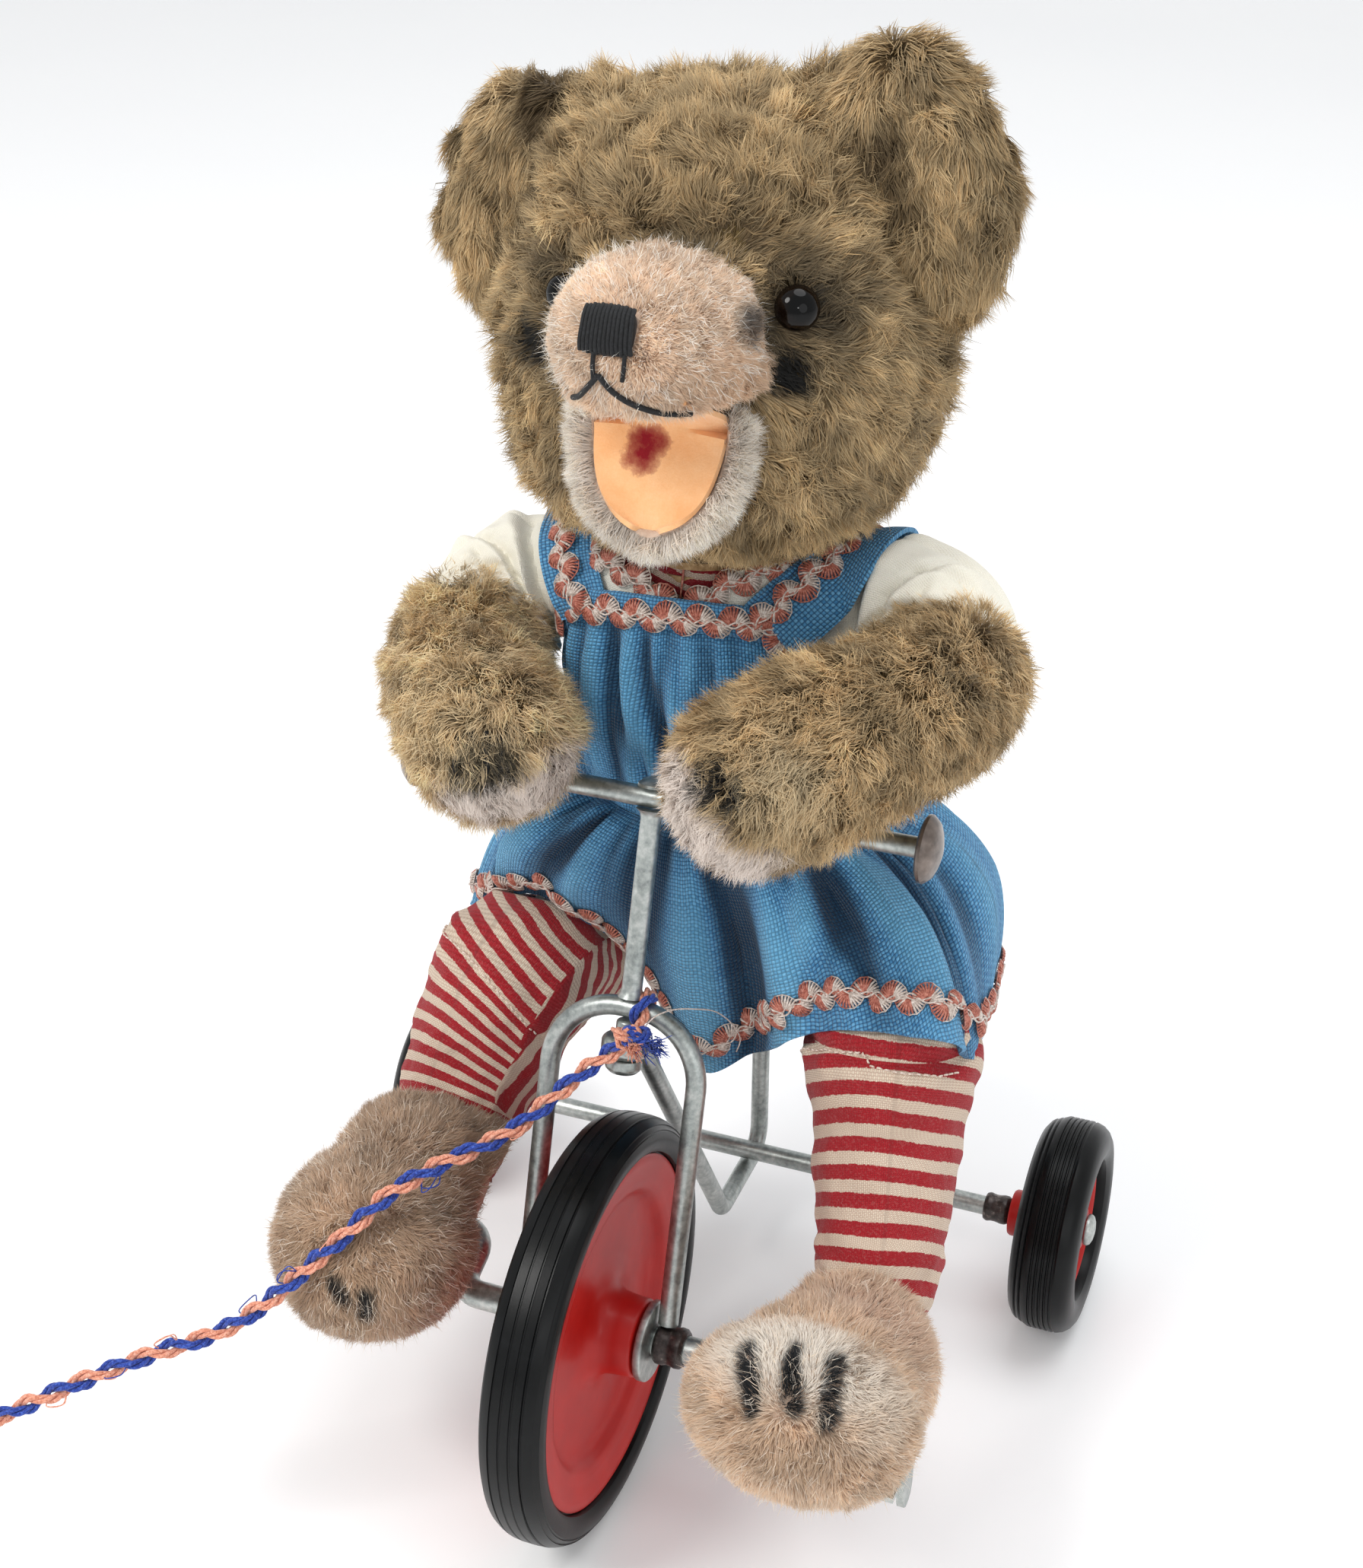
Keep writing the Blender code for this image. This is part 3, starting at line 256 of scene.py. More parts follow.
def cap_brown():
    m = Mat("brown_cap")
    n1, n2 = m.noise(350, 5), m.noise(60, 2)
    col = m.ramp(m.math("ADD", m.math("MULTIPLY", n1, 0.6), m.math("MULTIPLY", n2, 0.4)), [(0.35, srgb("#4E443E")), (0.55, srgb("#7D7068")), (0.7, srgb("#A1958C"))])
    m.set(colour=col, metal=0.6, rough=0.38, coat=0.35, coatrough=0.15, normal=m.bump(n1, 0.15, 0.0002))
    return m.m


def weave(name, warp, weft, dark, count=1.0, strength=0.55, sheen=0.15, tint=None, sleeve=False):
    """Plain weave from UV in millimetres; count is the thread spacing in mm."""
    m = Mat(name)
    uv = m.coord("UV")
    c = m.coord()
    wob = m.noise(45, 2, 0.5, c)
    wob2 = m.noise(400, 2, 0.5, c)
    sep = m.node("ShaderNodeSeparateXYZ")
    m.link(uv, sep.inputs[0])
    u = m.math("ADD", m.math("DIVIDE", sep.outputs[0], count), m.math("ADD", m.math("MULTIPLY", wob, 1.2), m.math("MULTIPLY", wob2, 0.35)))
    v = m.math("ADD", m.math("DIVIDE", sep.outputs[1], count), m.math("SUBTRACT", m.math("MULTIPLY", wob, 1.2), m.math("MULTIPLY", wob2, 0.35)))
    su, sv = m.math("ABSOLUTE", m.math("SINE", m.math("MULTIPLY", u, math.pi))), m.math("ABSOLUTE", m.math("SINE", m.math("MULTIPLY", v, math.pi)))
    par = m.math("PINGPONG", m.math("ADD", m.math("FLOOR", u), m.math("FLOOR", v)), 1.0)
    over_u = m.math("MULTIPLY", m.math("POWER", su, 0.6), m.math("ADD", 0.25, m.math("MULTIPLY", sv, 0.75)))
    over_v = m.math("MULTIPLY", m.math("POWER", sv, 0.6), m.math("ADD", 0.25, m.math("MULTIPLY", su, 0.75)))
    h = m.math("ADD", m.math("MULTIPLY", par, over_u), m.math("MULTIPLY", m.math("SUBTRACT", 1.0, par), over_v))
    big, fine = m.noise(90, 4, 0.6, c), m.noise(2600, 3, 0.6, c)
    # each thread has its own shade
    cu = m.node("ShaderNodeTexWhiteNoise", noise_dimensions="2D")
    cb = m.node("ShaderNodeCombineXYZ")
    m.link(m.math("FLOOR", u), cb.inputs[0])
    m.link(m.math("MULTIPLY", m.math("FLOOR", v), par), cb.inputs[1])
    m.link(cb.outputs[0], cu.inputs["Vector"])
    cv = m.node("ShaderNodeTexWhiteNoise", noise_dimensions="1D")
    m.link(m.math("FLOOR", v), cv.inputs["W"])
    shade = m.math("ADD", m.math("MULTIPLY", par, cu.outputs["Value"]), m.math("MULTIPLY", m.math("SUBTRACT", 1.0, par), cv.outputs["Value"]))
    thread = m.mix(par, warp, weft)
    thread = m.mix(m.math("MULTIPLY", shade, 0.45), thread, tuple(min(1.0, x * 1.5 + 0.03) for x in weft))
    deep = m.math("SUBTRACT", 1.0, m.math("MINIMUM", m.math("MULTIPLY", h, 1.5), 1.0))
    col = m.mix(deep, thread, dark)
    col = m.mix(m.math("MULTIPLY", m.math("SUBTRACT", 0.62, big), 0.6), col, dark)
    col = m.mix(m.math("MULTIPLY", m.math("SUBTRACT", fine, 0.5), 0.5), col, tuple(min(1.0, x * 1.6 + 0.05) for x in warp))
    # painted shade deepens the colour in the valleys of the folds, and painted highlight pales it on their ridges
    fold = attr(m, "fold")
    col = m.mix(m.math("MAXIMUM", fold.outputs["Fac"], 0.0), col, tuple(x * 0.3 for x in dark))
    col = m.mix(m.math("MULTIPLY", m.math("MAXIMUM", m.math("MULTIPLY", fold.outputs["Fac"], -1.0), 0.0), 0.35), col, tuple(min(1.0, x * 1.7 + 0.06) for x in weft))
    bmp = m.bump(m.math("ADD", h, m.math("MULTIPLY", fine, 0.4)), strength, 0.0005 * count / 0.7)
    m.set(colour=col, rough=0.82, spec=0.24, sheen=sheen, sheenrough=0.4, normal=bmp)
    return m.m


def jersey(name, base, dark, light_, stripes=None, period=5.4, duty=0.5, thread=0.42, panels=False):
    """Fine cloth; stripes turn with the V coordinate in millimetres, their edges stepped by the threads."""
    m = Mat(name)
    uv = m.coord("UV")
    c = m.coord()
    sep = m.node("ShaderNodeSeparateXYZ")
    m.link(uv, sep.inputs[0])
    wob = m.noise(60, 2, 0.5, c)
    u = m.math("ADD", m.math("DIVIDE", sep.outputs[0], thread), m.math("MULTIPLY", wob, 0.8))
    v = m.math("ADD", m.math("DIVIDE", sep.outputs[1], thread * 0.9), m.math("MULTIPLY", wob, 0.8))
    big, fine = m.noise(70, 4, 0.6, c), m.noise(2200, 3, 0.6, c)
    su, sv = m.math("ABSOLUTE", m.math("SINE", m.math("MULTIPLY", u, math.pi))), m.math("ABSOLUTE", m.math("SINE", m.math("MULTIPLY", v, math.pi)))
    par = m.math("PINGPONG", m.math("ADD", m.math("FLOOR", u), m.math("FLOOR", v)), 1.0)
    h = m.math("ADD", m.math("MULTIPLY", par, m.math("MULTIPLY", su, m.math("ADD", 0.4, m.math("MULTIPLY", sv, 0.6)))), m.math("MULTIPLY", m.math("SUBTRACT", 1.0, par), m.math("MULTIPLY", sv, m.math("ADD", 0.4, m.math("MULTIPLY", su, 0.6)))))
    along = sep.outputs[1]
    if panels:
        # three cut pieces meet at the seams, each with its own run of stripes
        k1, k2 = m.math("GREATER_THAN", attr(m, "seam_a").outputs["Fac"], 0.0), m.math("GREATER_THAN", attr(m, "seam_b").outputs["Fac"], 0.0)
        along = m.math("ADD", m.math("MULTIPLY", k1, attr(m, "run_a").outputs["Fac"]), m.math("MULTIPLY", m.math("SUBTRACT", 1.0, k1), attr(m, "run_b").outputs["Fac"]))
        along = m.math("ADD", m.math("MULTIPLY", m.math("SUBTRACT", 1.0, k2), along), m.math("MULTIPLY", k2, attr(m, "run_c").outputs["Fac"]))
    if stripes:
        # the edge of a stripe steps in and out thread by thread
        cell = m.node("ShaderNodeTexWhiteNoise", noise_dimensions="2D")
        cb = m.node("ShaderNodeCombineXYZ")
        m.link(m.math("FLOOR", u), cb.inputs[0])
        m.link(m.math("FLOOR", m.math("DIVIDE", along, period / 2)), cb.inputs[1])
        m.link(cb.outputs[0], cell.inputs["Vector"])
        step = m.math("MULTIPLY", m.math("SUBTRACT", cell.outputs["Value"], 0.5), 0.2)
        soft = m.math("MULTIPLY", m.math("SUBTRACT", m.noise(500, 2, 0.5, c), 0.5), 0.16)
        ph = m.math("FRACT", m.math("DIVIDE", m.math("ADD", along, m.math("ADD", step, soft)), period))
        edge = m.ramp(ph, [(0.0, (0, 0, 0)), (0.03, (1, 1, 1)), (duty, (1, 1, 1)), (duty + 0.03, (0, 0, 0))])
        tone = m.mix(m.math("MULTIPLY", m.noise(300, 4, 0.7, c), 0.5), stripes, tuple(min(1.0, x * 1.5 + 0.02) for x in stripes))
        tone = m.mix(m.math("MULTIPLY", m.math("SUBTRACT", 1.0, par), 0.22), tone, tuple(x * 0.62 for x in stripes))
        cbase = m.mix(m.math("MULTIPLY", m.math("SUBTRACT", 1.0, par), 0.16), base, stripes)
        col = m.mix(edge, cbase, tone)
    else:
        col = m.mix(m.math("MULTIPLY", par, 0.12), base, dark)
    col = m.mix(m.math("MULTIPLY", m.math("SUBTRACT", 1.0, h), 0.62 if stripes else 0.3), col, dark, "MULTIPLY")
    col = m.mix(m.math("MULTIPLY", m.math("SUBTRACT", 0.6, big), 0.5), col, dark, "MULTIPLY")
    col = m.mix(m.math("MULTIPLY", m.math("SUBTRACT", fine, 0.5), 0.3), col, light_)
    m.set(colour=col, rough=0.88, spec=0.22, sheen=0.12, sheenrough=0.5, normal=m.bump(m.math("ADD", h, m.math("MULTIPLY", fine, 0.5)), 0.5, 0.00028))
    return m.m


def felt_mouth():
    m = Mat("felt")
    c = m.coord()
    big, fine = m.noise(120, 5, 0.7, c), m.noise(2600, 4, 0.7, c)
    col = m.ramp(big, [(0.3, srgb("#E9AB74")), (0.55, srgb("#F0BA86")), (0.8, srgb("#F4C697"))])
    col = m.mix(m.math("MULTIPLY", m.math("SUBTRACT", fine, 0.45), 0.45), col, srgb("#FADFBC"))
    col = m.mix(m.ramp(m.noise(900, 5, 0.75, c), [(0.66, (0, 0, 0)), (0.78, (0.45, 0.45, 0.45))]), col, srgb("#B98556"))
    # a soft dark red stain, two overlapping blots with a woolly edge
    soft = m.math("MULTIPLY", m.math("SUBTRACT", m.noise(420, 5, 0.7, c), 0.5), 1.1)
    d = None
    for centre, size in (((3.4, 20.0, 218.8), (4.6, 7.0, 3.4)), ((2.6, 19.0, 217.0), (4.0, 7.0, 3.9))):
        off = m.node("ShaderNodeVectorMath", operation="SUBTRACT")
        m.link(c, off.inputs[0])
        off.inputs[1].default_value = (centre[0] * MM, (centre[1] - YS) * MM, centre[2] * MM)
        sc_ = m.node("ShaderNodeVectorMath", operation="MULTIPLY")
        m.link(off.outputs[0], sc_.inputs[0])
        sc_.inputs[1].default_value = tuple(1 / (q * MM) for q in size)
        ln = m.node("ShaderNodeVectorMath", operation="LENGTH")
        m.link(sc_.outputs[0], ln.inputs[0])
        d = ln.outputs["Value"] if d is None else m.math("MINIMUM", d, ln.outputs["Value"])
    k = m.ramp(m.math("ADD", d, soft), [(0.25, (1, 1, 1)), (0.6, (0.8, 0.8, 0.8)), (0.9, (0.35, 0.35, 0.35)), (1.15, (0.0, 0.0, 0.0))])
    col = m.mix(k, col, srgb("#86121F"))
    m.set(colour=col, rough=0.95, spec=0.1, sheen=0.3, sheenrough=0.5, normal=m.bump(fine, 0.5, 0.0003))
    return m.m


def fur_mat(name, rough=0.6, trans=0.28, sheen=0.1):
    m = Mat(name)
    at = attr(m, "fur")
    m.set(colour=at.outputs["Color"], rough=rough, spec=0.3, sheen=sheen)
    tr = m.node("ShaderNodeBsdfTranslucent")
    m.link(at.outputs["Color"], tr.inputs[0])
    mx = m.node("ShaderNodeMixShader")
    mx.inputs[0].default_value = trans
    m.link(m.b.outputs[0], mx.inputs[1])
    m.link(tr.outputs[0], mx.inputs[2])
    m.link(mx.outputs[0], m.out.inputs[0])
    return m.m


def skin_mat(name, dark, light_):
    m = Mat(name)
    c = m.coord()
    n = m.noise(500, 5, 0.7, c)
    col = m.ramp(n, [(0.3, dark), (0.7, light_)])
    at = attr(m, "tint")
    col = m.mix(1.0, col, at.outputs["Color"], "MULTIPLY")
    m.set(colour=col, rough=0.95, spec=0.1, normal=m.bump(n, 0.8, 0.0006))
    return m.m


def thread_mat(name, dark, mid, lite, rough=0.55, freq=2400, sheen=0.2):
    m = Mat(name)
    n = m.noise(freq, 3, 0.6)
    m.set(colour=m.ramp(n, [(0.3, dark), (0.5, mid), (0.75, lite)]), rough=rough, spec=0.4, sheen=sheen, normal=m.bump(n, 0.4, 0.0002))
    return m.m


M = {
    "zinc": zinc(), "collar": collar_dark(), "red": enamel(), "rubber": rubber(), "cap": cap_brown(),
    "bodice": weave("blue_linen_fine", srgb("#468ABB"), srgb("#60A3D0"), srgb("#184570"), 0.7, 0.8),
    "strap": weave("blue_linen", srgb("#4A8DC0"), srgb("#69AAD6"), srgb("#1A4774"), 0.76, 0.8),
    "cream": jersey("cream_cotton", srgb("#FFFCF1"), srgb("#EEE7D3"), srgb("#FFFFFA"), thread=0.36),
    "stripe": jersey("striped_cotton", srgb("#EBDDC8"), srgb("#A98A7C"), srgb("#F4EADF"), srgb("#A81B26"), 5.4, 0.54, 0.4, True),
    "neck": jersey("striped_neck", srgb("#D8C6B4"), srgb("#8C6A60"), srgb("#E8DACC"), srgb("#8E1220"), 2.5, 0.55, 0.34),
    "felt": felt_mouth(), "fur": fur_mat("plush"), "furpale": fur_mat("muzzle_mohair", 0.45, 0.35, 0.2),
    "skin": skin_mat("plush_backing", srgb("#4A3D26"), srgb("#7A6744")), "skinpale": skin_mat("muzzle_backing", srgb("#B79C88"), srgb("#D6BFAC")),
    "coral": thread_mat("coral_thread", srgb("#803A2C"), srgb("#B56A58"), srgb("#DE9F8C"), 0.36, 1800, 0.05), "white": thread_mat("white_thread", srgb("#9C8C82"), srgb("#CDBDB2"), srgb("#F6EEE6"), 0.3, 1800, 0.05),
    "blackyarn": thread_mat("black_plush", srgb("#040405"), srgb("#0D0E10"), srgb("#1E2024"), 0.7, 2400, 0.05), "cordblue": thread_mat("cord", srgb("#0E1E66"), srgb("#1F3E9C"), srgb("#5373CC"), 0.75),
    "cordsalmon": thread_mat("cord_salmon", srgb("#B0624A"), srgb("#DE9479"), srgb("#F3C2AB"), 0.75),
    "seam": thread_mat("seam_thread", srgb("#C7A89A"), srgb("#E2CFC0"), srgb("#F6EDE2"), 0.7, 1800, 0.1),
    "fibre": thread_mat("fibre_disc", srgb("#6B5233"), srgb("#9B7B55"), srgb("#B89A72"), 0.9, 700),
}


def eye_mat():
    m = Mat("glass_eye")
    at = attr(m, "pupil")
    n = m.noise(1500, 3)
    iris = m.ramp(n, [(0.3, srgb("#070403")), (0.7, srgb("#110905"))])
    m.set(colour=m.mix(at.outputs["Fac"], iris, srgb("#030303")), rough=0.05, spec=0.2)
    return m.m


M["eye"] = eye_mat()


# =============================================================== mesh helpers, millimetres
def to_world(v):
    v = np.asarray(v, float).copy()
    v[:, 1] -= YS
    return v * MM


def build(name, verts, faces, mats, body, nodes=(), uv=None, smooth=True, sharp=40, face_mat=None, panels=None):
    """Object from millimetre points. uv is per vertex, in millimetres. panels is (uv sets, set of each face) where a seam parts the pattern."""
    me = bpy.data.meshes.new(name)
    me.from_pydata([tuple(p) for p in to_world(verts)], [], [tuple(int(i) for i in f) for f in faces])
    me.update()
    bm = bmesh.new()
    bm.from_mesh(me)
    bmesh.ops.recalc_face_normals(bm, faces=bm.faces)
    bm.to_mesh(me)
    bm.free()
    if uv is not None:
        layer = me.uv_layers.new(name="UVMap")
        idx = np.empty(len(me.loops), int)
        me.loops.foreach_get("vertex_index", idx)
        layer.data.foreach_set("uv", np.asarray(uv, float)[idx].ravel())
    if panels is not None:
        sets, which = panels
        layer = me.uv_layers.new(name="UVMap")
        idx = np.empty(len(me.loops), int)
        me.loops.foreach_get("vertex_index", idx)
        tot = np.empty(len(me.polygons), int)
        me.polygons.foreach_get("loop_total", tot)
        own = np.repeat(np.asarray(which, int), tot)
        layer.data.foreach_set("uv", np.stack(sets)[own, idx].astype(float).ravel())
    ob = bpy.data.objects.new(name, me)
    sc.collection.objects.link(ob)
    for mt in (mats if isinstance(mats, (list, tuple)) else [mats]):
        me.materials.append(mt)
    if face_mat is not None:
        me.polygons.foreach_set("material_index", np.asarray(face_mat, int))
    if smooth:
        me.polygons.foreach_set("use_smooth", np.ones(len(me.polygons), bool))
        if sharp and sharp < 180:
            me.set_sharp_from_angle(angle=math.radians(sharp))
    if body:
        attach(ob, body)
    if nodes:
        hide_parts(*nodes)
    return ob


def lathe_mesh(profile, centre, axis, seg, ring=False):
    axis = A(axis, float) / np.linalg.norm(axis)
    side = np.cross(axis, (0, 0, 1) if abs(axis[2]) < 0.9 else (0, 1, 0))
    side /= np.linalg.norm(side)
    up = np.cross(axis, side)
    c = A(centre, float)
    verts, rows = [], []
    for a, r in profile:
        if r < 1e-6:
            rows.append([len(verts)] * seg)
            verts.append(c + a * axis)
        else:
            rows.append(list(range(len(verts), len(verts) + seg)))
            for j in range(seg):
                t = 2 * math.pi * j / seg
                verts.append(c + a * axis + r * (math.cos(t) * side + math.sin(t) * up))
    faces = []
    for i in range(len(rows) if ring else len(rows) - 1):
        p, q = rows[i], rows[(i + 1) % len(rows)]
        for j in range(seg):
            k = (j + 1) % seg
            f = [p[j], p[k], q[k], q[j]]
            f = [v for n, v in enumerate(f) if v != f[n - 1]]
            if len(f) > 2:
                faces.append(tuple(f))
    return A(verts), faces


def rounded(profile, r=0.35, n=3):
    """Rounds the corners of a closed or open (along, radius) profile a little."""
    pts = [A(p, float) for p in profile]
    out = [tuple(pts[0])]
    for i in range(1, len(pts) - 1):
        a, b, c = pts[i - 1], pts[i], pts[i + 1]
        u, w = a - b, c - b
        lu, lw = np.linalg.norm(u), np.linalg.norm(w)
        if lu < 1e-6 or lw < 1e-6:
            out.append(tuple(b))
            continue
        u, w = u / lu, w / lw
        if float(u @ w) < -0.985:
            out.append(tuple(b))
            continue
        d = min(r, lu * 0.45, lw * 0.45)
        p, q = b + u * d, b + w * d
        for k in range(n + 1):
            t = k / n
            out.append(tuple((1 - t) ** 2 * p + 2 * t * (1 - t) * b + t * t * q))
    out.append(tuple(pts[-1]))
    return out


def fillet(points, radii, n=10):
    pts = [A(p, float) for p in points]
    out = [pts[0]]
    for i in range(1, len(pts) - 1):
        a, b, c = pts[i - 1], pts[i], pts[i + 1]
        u, w = (a - b) / np.linalg.norm(a - b), (c - b) / np.linalg.norm(c - b)
        ang = math.acos(max(-1, min(1, float(u @ w))))
        r = radii[i - 1]
        t = r / math.tan(ang / 2)
        mid = (u + w) / np.linalg.norm(u + w)
        o = b + mid * (r / math.sin(ang / 2))
        s, e = b + u * t - o, b + w * t - o
        turn = math.acos(max(-1, min(1, float(s @ e) / (r * r))))
        for k in range(n + 1):
            f = k / n
            out.append(o + (math.sin((1 - f) * turn) * s + math.sin(f * turn) * e) / math.sin(turn))
    out.append(pts[-1])
    return out


def frames(path):
    path = [A(p, float) for p in path]
    tans = []
    for i in range(len(path)):
        a, b = path[max(i - 1, 0)], path[min(i + 1, len(path) - 1)]
        tans.append((b - a) / np.linalg.norm(b - a))
    ref = A((1.0, 0, 0)) if abs(tans[0][0]) < 0.9 else A((0, 0, 1.0))
    s = np.cross(tans[0], ref)
    s /= np.linalg.norm(s)
    out = []
    for p, t in zip(path, tans):
        s = s - (s @ t) * t
        s /= np.linalg.norm(s)
        out.append((p, t, s, np.cross(t, s)))
    return out


def tube(path, r, sides=16, dome=0.0, uvs=False):
    """Round tube along a path with capped ends. r may be a number or a list."""
    fr = frames(path)
    rr = [r] * len(fr) if isinstance(r, (int, float)) else list(r)
    rings, L = [], [0.0]
    for i in range(1, len(fr)):
        L.append(L[-1] + float(np.linalg.norm(fr[i][0] - fr[i - 1][0])))
    spec = []
    if dome:
        for a in (75, 45, 20):
            a = math.radians(a)
            spec.append((0, -dome * rr[0] * math.sin(a), rr[0] * math.cos(a)))
    for i in range(len(fr)):
        spec.append((i, 0.0, rr[i]))
    if dome:
        for a in (20, 45, 75):
            a = math.radians(a)
            spec.append((len(fr) - 1, dome * rr[-1] * math.sin(a), rr[-1] * math.cos(a)))
    verts, uv = [], []
    for i, off, rad in spec:
        p, t, s, u = fr[i]
        for j in range(sides):
            th = 2 * math.pi * j / sides
            verts.append(p + t * off + rad * (math.cos(th) * s + math.sin(th) * u))
            uv.append((th * rr[i], L[i] + off))
    faces = []
    for i in range(len(spec) - 1):
        for j in range(sides):
            k = (j + 1) % sides
            faces.append((i * sides + j, i * sides + k, (i + 1) * sides + k, (i + 1) * sides + j))
    faces.append(tuple(range(sides)))
    faces.append(tuple((len(spec) - 1) * sides + j for j in range(sides)))
    return A(verts), faces, A(uv)


def spline(pts, n):
    """Catmull-Rom through points, n samples a span."""
    pts = [A(p, float) for p in pts]
    out = []
    for i in range(len(pts) - 1):
        p0, p1, p2, p3 = pts[max(i - 1, 0)], pts[i], pts[i + 1], pts[min(i + 2, len(pts) - 1)]
        for k in range(n):
            t = k / n
            out.append(0.5 * ((2 * p1) + (p2 - p0) * t + (2 * p0 - 5 * p1 + 4 * p2 - p3) * t * t + (3 * p1 - p0 - 3 * p2 + p3) * t ** 3))
    out.append(pts[-1])
    return out


def even(path, step):
    """Even steps along a polyline."""
    path = [A(p, float) for p in path]
    seg = [0.0]
    for a, b in zip(path, path[1:]):
        seg.append(seg[-1] + float(np.linalg.norm(b - a)))
    n = max(2, round(seg[-1] / step))
    d = np.linspace(0, seg[-1], n + 1)
    P = A(path)
    return [A([np.interp(x, seg, P[:, k]) for k in range(P.shape[1])]) for x in d]


def ellip(c, r, seg=40, rows=26, turn=None):
    verts, faces = [], []
    R = A(turn) if turn is not None else np.eye(3)
    c = A(c, float)
    for i in range(rows + 1):
        a = math.pi * i / rows
        if i in (0, rows):
            verts.append(c + R @ A((0, 0, r[2] * math.cos(a))))
        else:
            for j in range(seg):
                t = 2 * math.pi * j / seg
                verts.append(c + R @ A((r[0] * math.sin(a) * math.cos(t), r[1] * math.sin(a) * math.sin(t), r[2] * math.cos(a))))

    def idx(i, j):
        return 0 if i == 0 else (len(verts) - 1 if i == rows else 1 + (i - 1) * seg + j % seg)
    for i in range(rows):
        for j in range(seg):
            f = [idx(i, j), idx(i + 1, j), idx(i + 1, j + 1), idx(i, j + 1)]
            f = [v for n, v in enumerate(f) if v != f[n - 1]]
            if len(f) > 2:
                faces.append(tuple(f))
    return A(verts), faces


def limb(path, radii, seg=28, start=True, end=True, n=8, flat=None):
    pts, rad = [], []
    P = [A(p, float) for p in path]
    for i in range(len(P) - 1):
        p0, p1, p2, p3 = P[max(i - 1, 0)], P[i], P[i + 1], P[min(i + 2, len(P) - 1)]
        for k in range(n):
            t = k / n
            pts.append(0.5 * ((2 * p1) + (p2 - p0) * t + (2 * p0 - 5 * p1 + 4 * p2 - p3) * t * t + (3 * p1 - p0 - 3 * p2 + p3) * t ** 3))
            s = t * t * (3 - 2 * t)
            rad.append(radii[i] * (1 - s) + radii[i + 1] * s)
    pts.append(P[-1])
    rad.append(radii[-1])
    v, f, uv = tube(pts, rad, seg, dome=0.0)
    # domes
    fr = frames(pts)
    L = float(sum(np.linalg.norm(pts[i + 1] - pts[i]) for i in range(len(pts) - 1)))
    if start or end:
        verts, uvs, faces = list(v), list(uv), [q for q in f[:-2]]
        base = len(pts)
        if start:
            p, t, s, u = fr[0]
            prev = list(range(seg))
            for a in (15, 30, 45, 60, 75, 86):
                a = math.radians(a)
                cur = []
                for j in range(seg):
                    th = 2 * math.pi * j / seg
                    cur.append(len(verts))
                    verts.append(p - t * rad[0] * math.sin(a) + rad[0] * math.cos(a) * (math.cos(th) * s + math.sin(th) * u))
                    uvs.append((th * rad[0], -rad[0] * a))
                for j in range(seg):
                    k = (j + 1) % seg
                    faces.append((prev[j], cur[j], cur[k], prev[k]))
                prev = cur
            faces.append(tuple(prev))
        else:
            faces.append(tuple(range(seg)))
        last = [(base - 1) * seg + j for j in range(seg)]
        if end:
            p, t, s, u = fr[-1]
            prev = last
            for a in (15, 30, 45, 60, 75, 86):
                a = math.radians(a)
                cur = []
                for j in range(seg):
                    th = 2 * math.pi * j / seg
                    cur.append(len(verts))
                    verts.append(p + t * rad[-1] * math.sin(a) + rad[-1] * math.cos(a) * (math.cos(th) * s + math.sin(th) * u))
                    uvs.append((th * rad[-1], L + rad[-1] * a))
                for j in range(seg):
                    k = (j + 1) % seg
                    faces.append((prev[j], prev[k], cur[k], cur[j]))
                prev = cur
            faces.append(tuple(prev))
        else:
            faces.append(tuple(last))
        return A(verts), faces, A(uvs)
    return v, f, uv


def joined(parts):
    verts, faces, off = [], [], 0
    for v, f in parts:
        verts.append(np.asarray(v))
        faces += [tuple(i + off for i in q) for q in f]
        off += len(v)
    return np.vstack(verts), faces


def remeshed(parts, voxel=1.5, smooth=6, cuts=()):
    """Overlapping closed shapes fused to one skin and smoothed. Gives millimetre verts and faces."""
    v, f = joined(parts)
    me = bpy.data.meshes.new("tmp")
    me.from_pydata([tuple(p * MM) for p in v], [], f)
    bm = bmesh.new()
    bm.from_mesh(me)
    bmesh.ops.recalc_face_normals(bm, faces=bm.faces)
    bm.to_mesh(me)
    bm.free()
    ob = bpy.data.objects.new("tmp", me)
    sc.collection.objects.link(ob)
    r = ob.modifiers.new("r", "REMESH")
    r.mode, r.voxel_size = "VOXEL", voxel * MM
    if smooth:
        s = ob.modifiers.new("s", "SMOOTH")
        s.factor, s.iterations = 0.5, smooth
    dg = bpy.context.evaluated_depsgraph_get()
    ev = ob.evaluated_get(dg).to_mesh()
    n = len(ev.vertices)
    vv = np.empty(n * 3)
    ev.vertices.foreach_get("co", vv)
    vv = vv.reshape(-1, 3) / MM
    ff = [tuple(p.vertices) for p in ev.polygons]
    bpy.data.objects.remove(ob, do_unlink=True)
    bpy.data.meshes.remove(me)
    return vv, ff


def tris_of(faces):
    out = []
    for f in faces:
        for i in range(1, len(f) - 1):
            out.append((f[0], f[i], f[i + 1]))
    return A(out)


def normals_of(v, t):
    n = np.zeros_like(v)
    fn = np.cross(v[t[:, 1]] - v[t[:, 0]], v[t[:, 2]] - v[t[:, 0]])
    for k in range(3):
        np.add.at(n, t[:, k], fn)
    n /= np.maximum(np.linalg.norm(n, axis=1), 1e-9)[:, None]
    c = v.mean(0)
    if ((v - c) * n).sum() < 0:
        n = -n
    return n


def unit(v):
    return v / np.maximum(np.linalg.norm(v, axis=-1, keepdims=True), 1e-9)


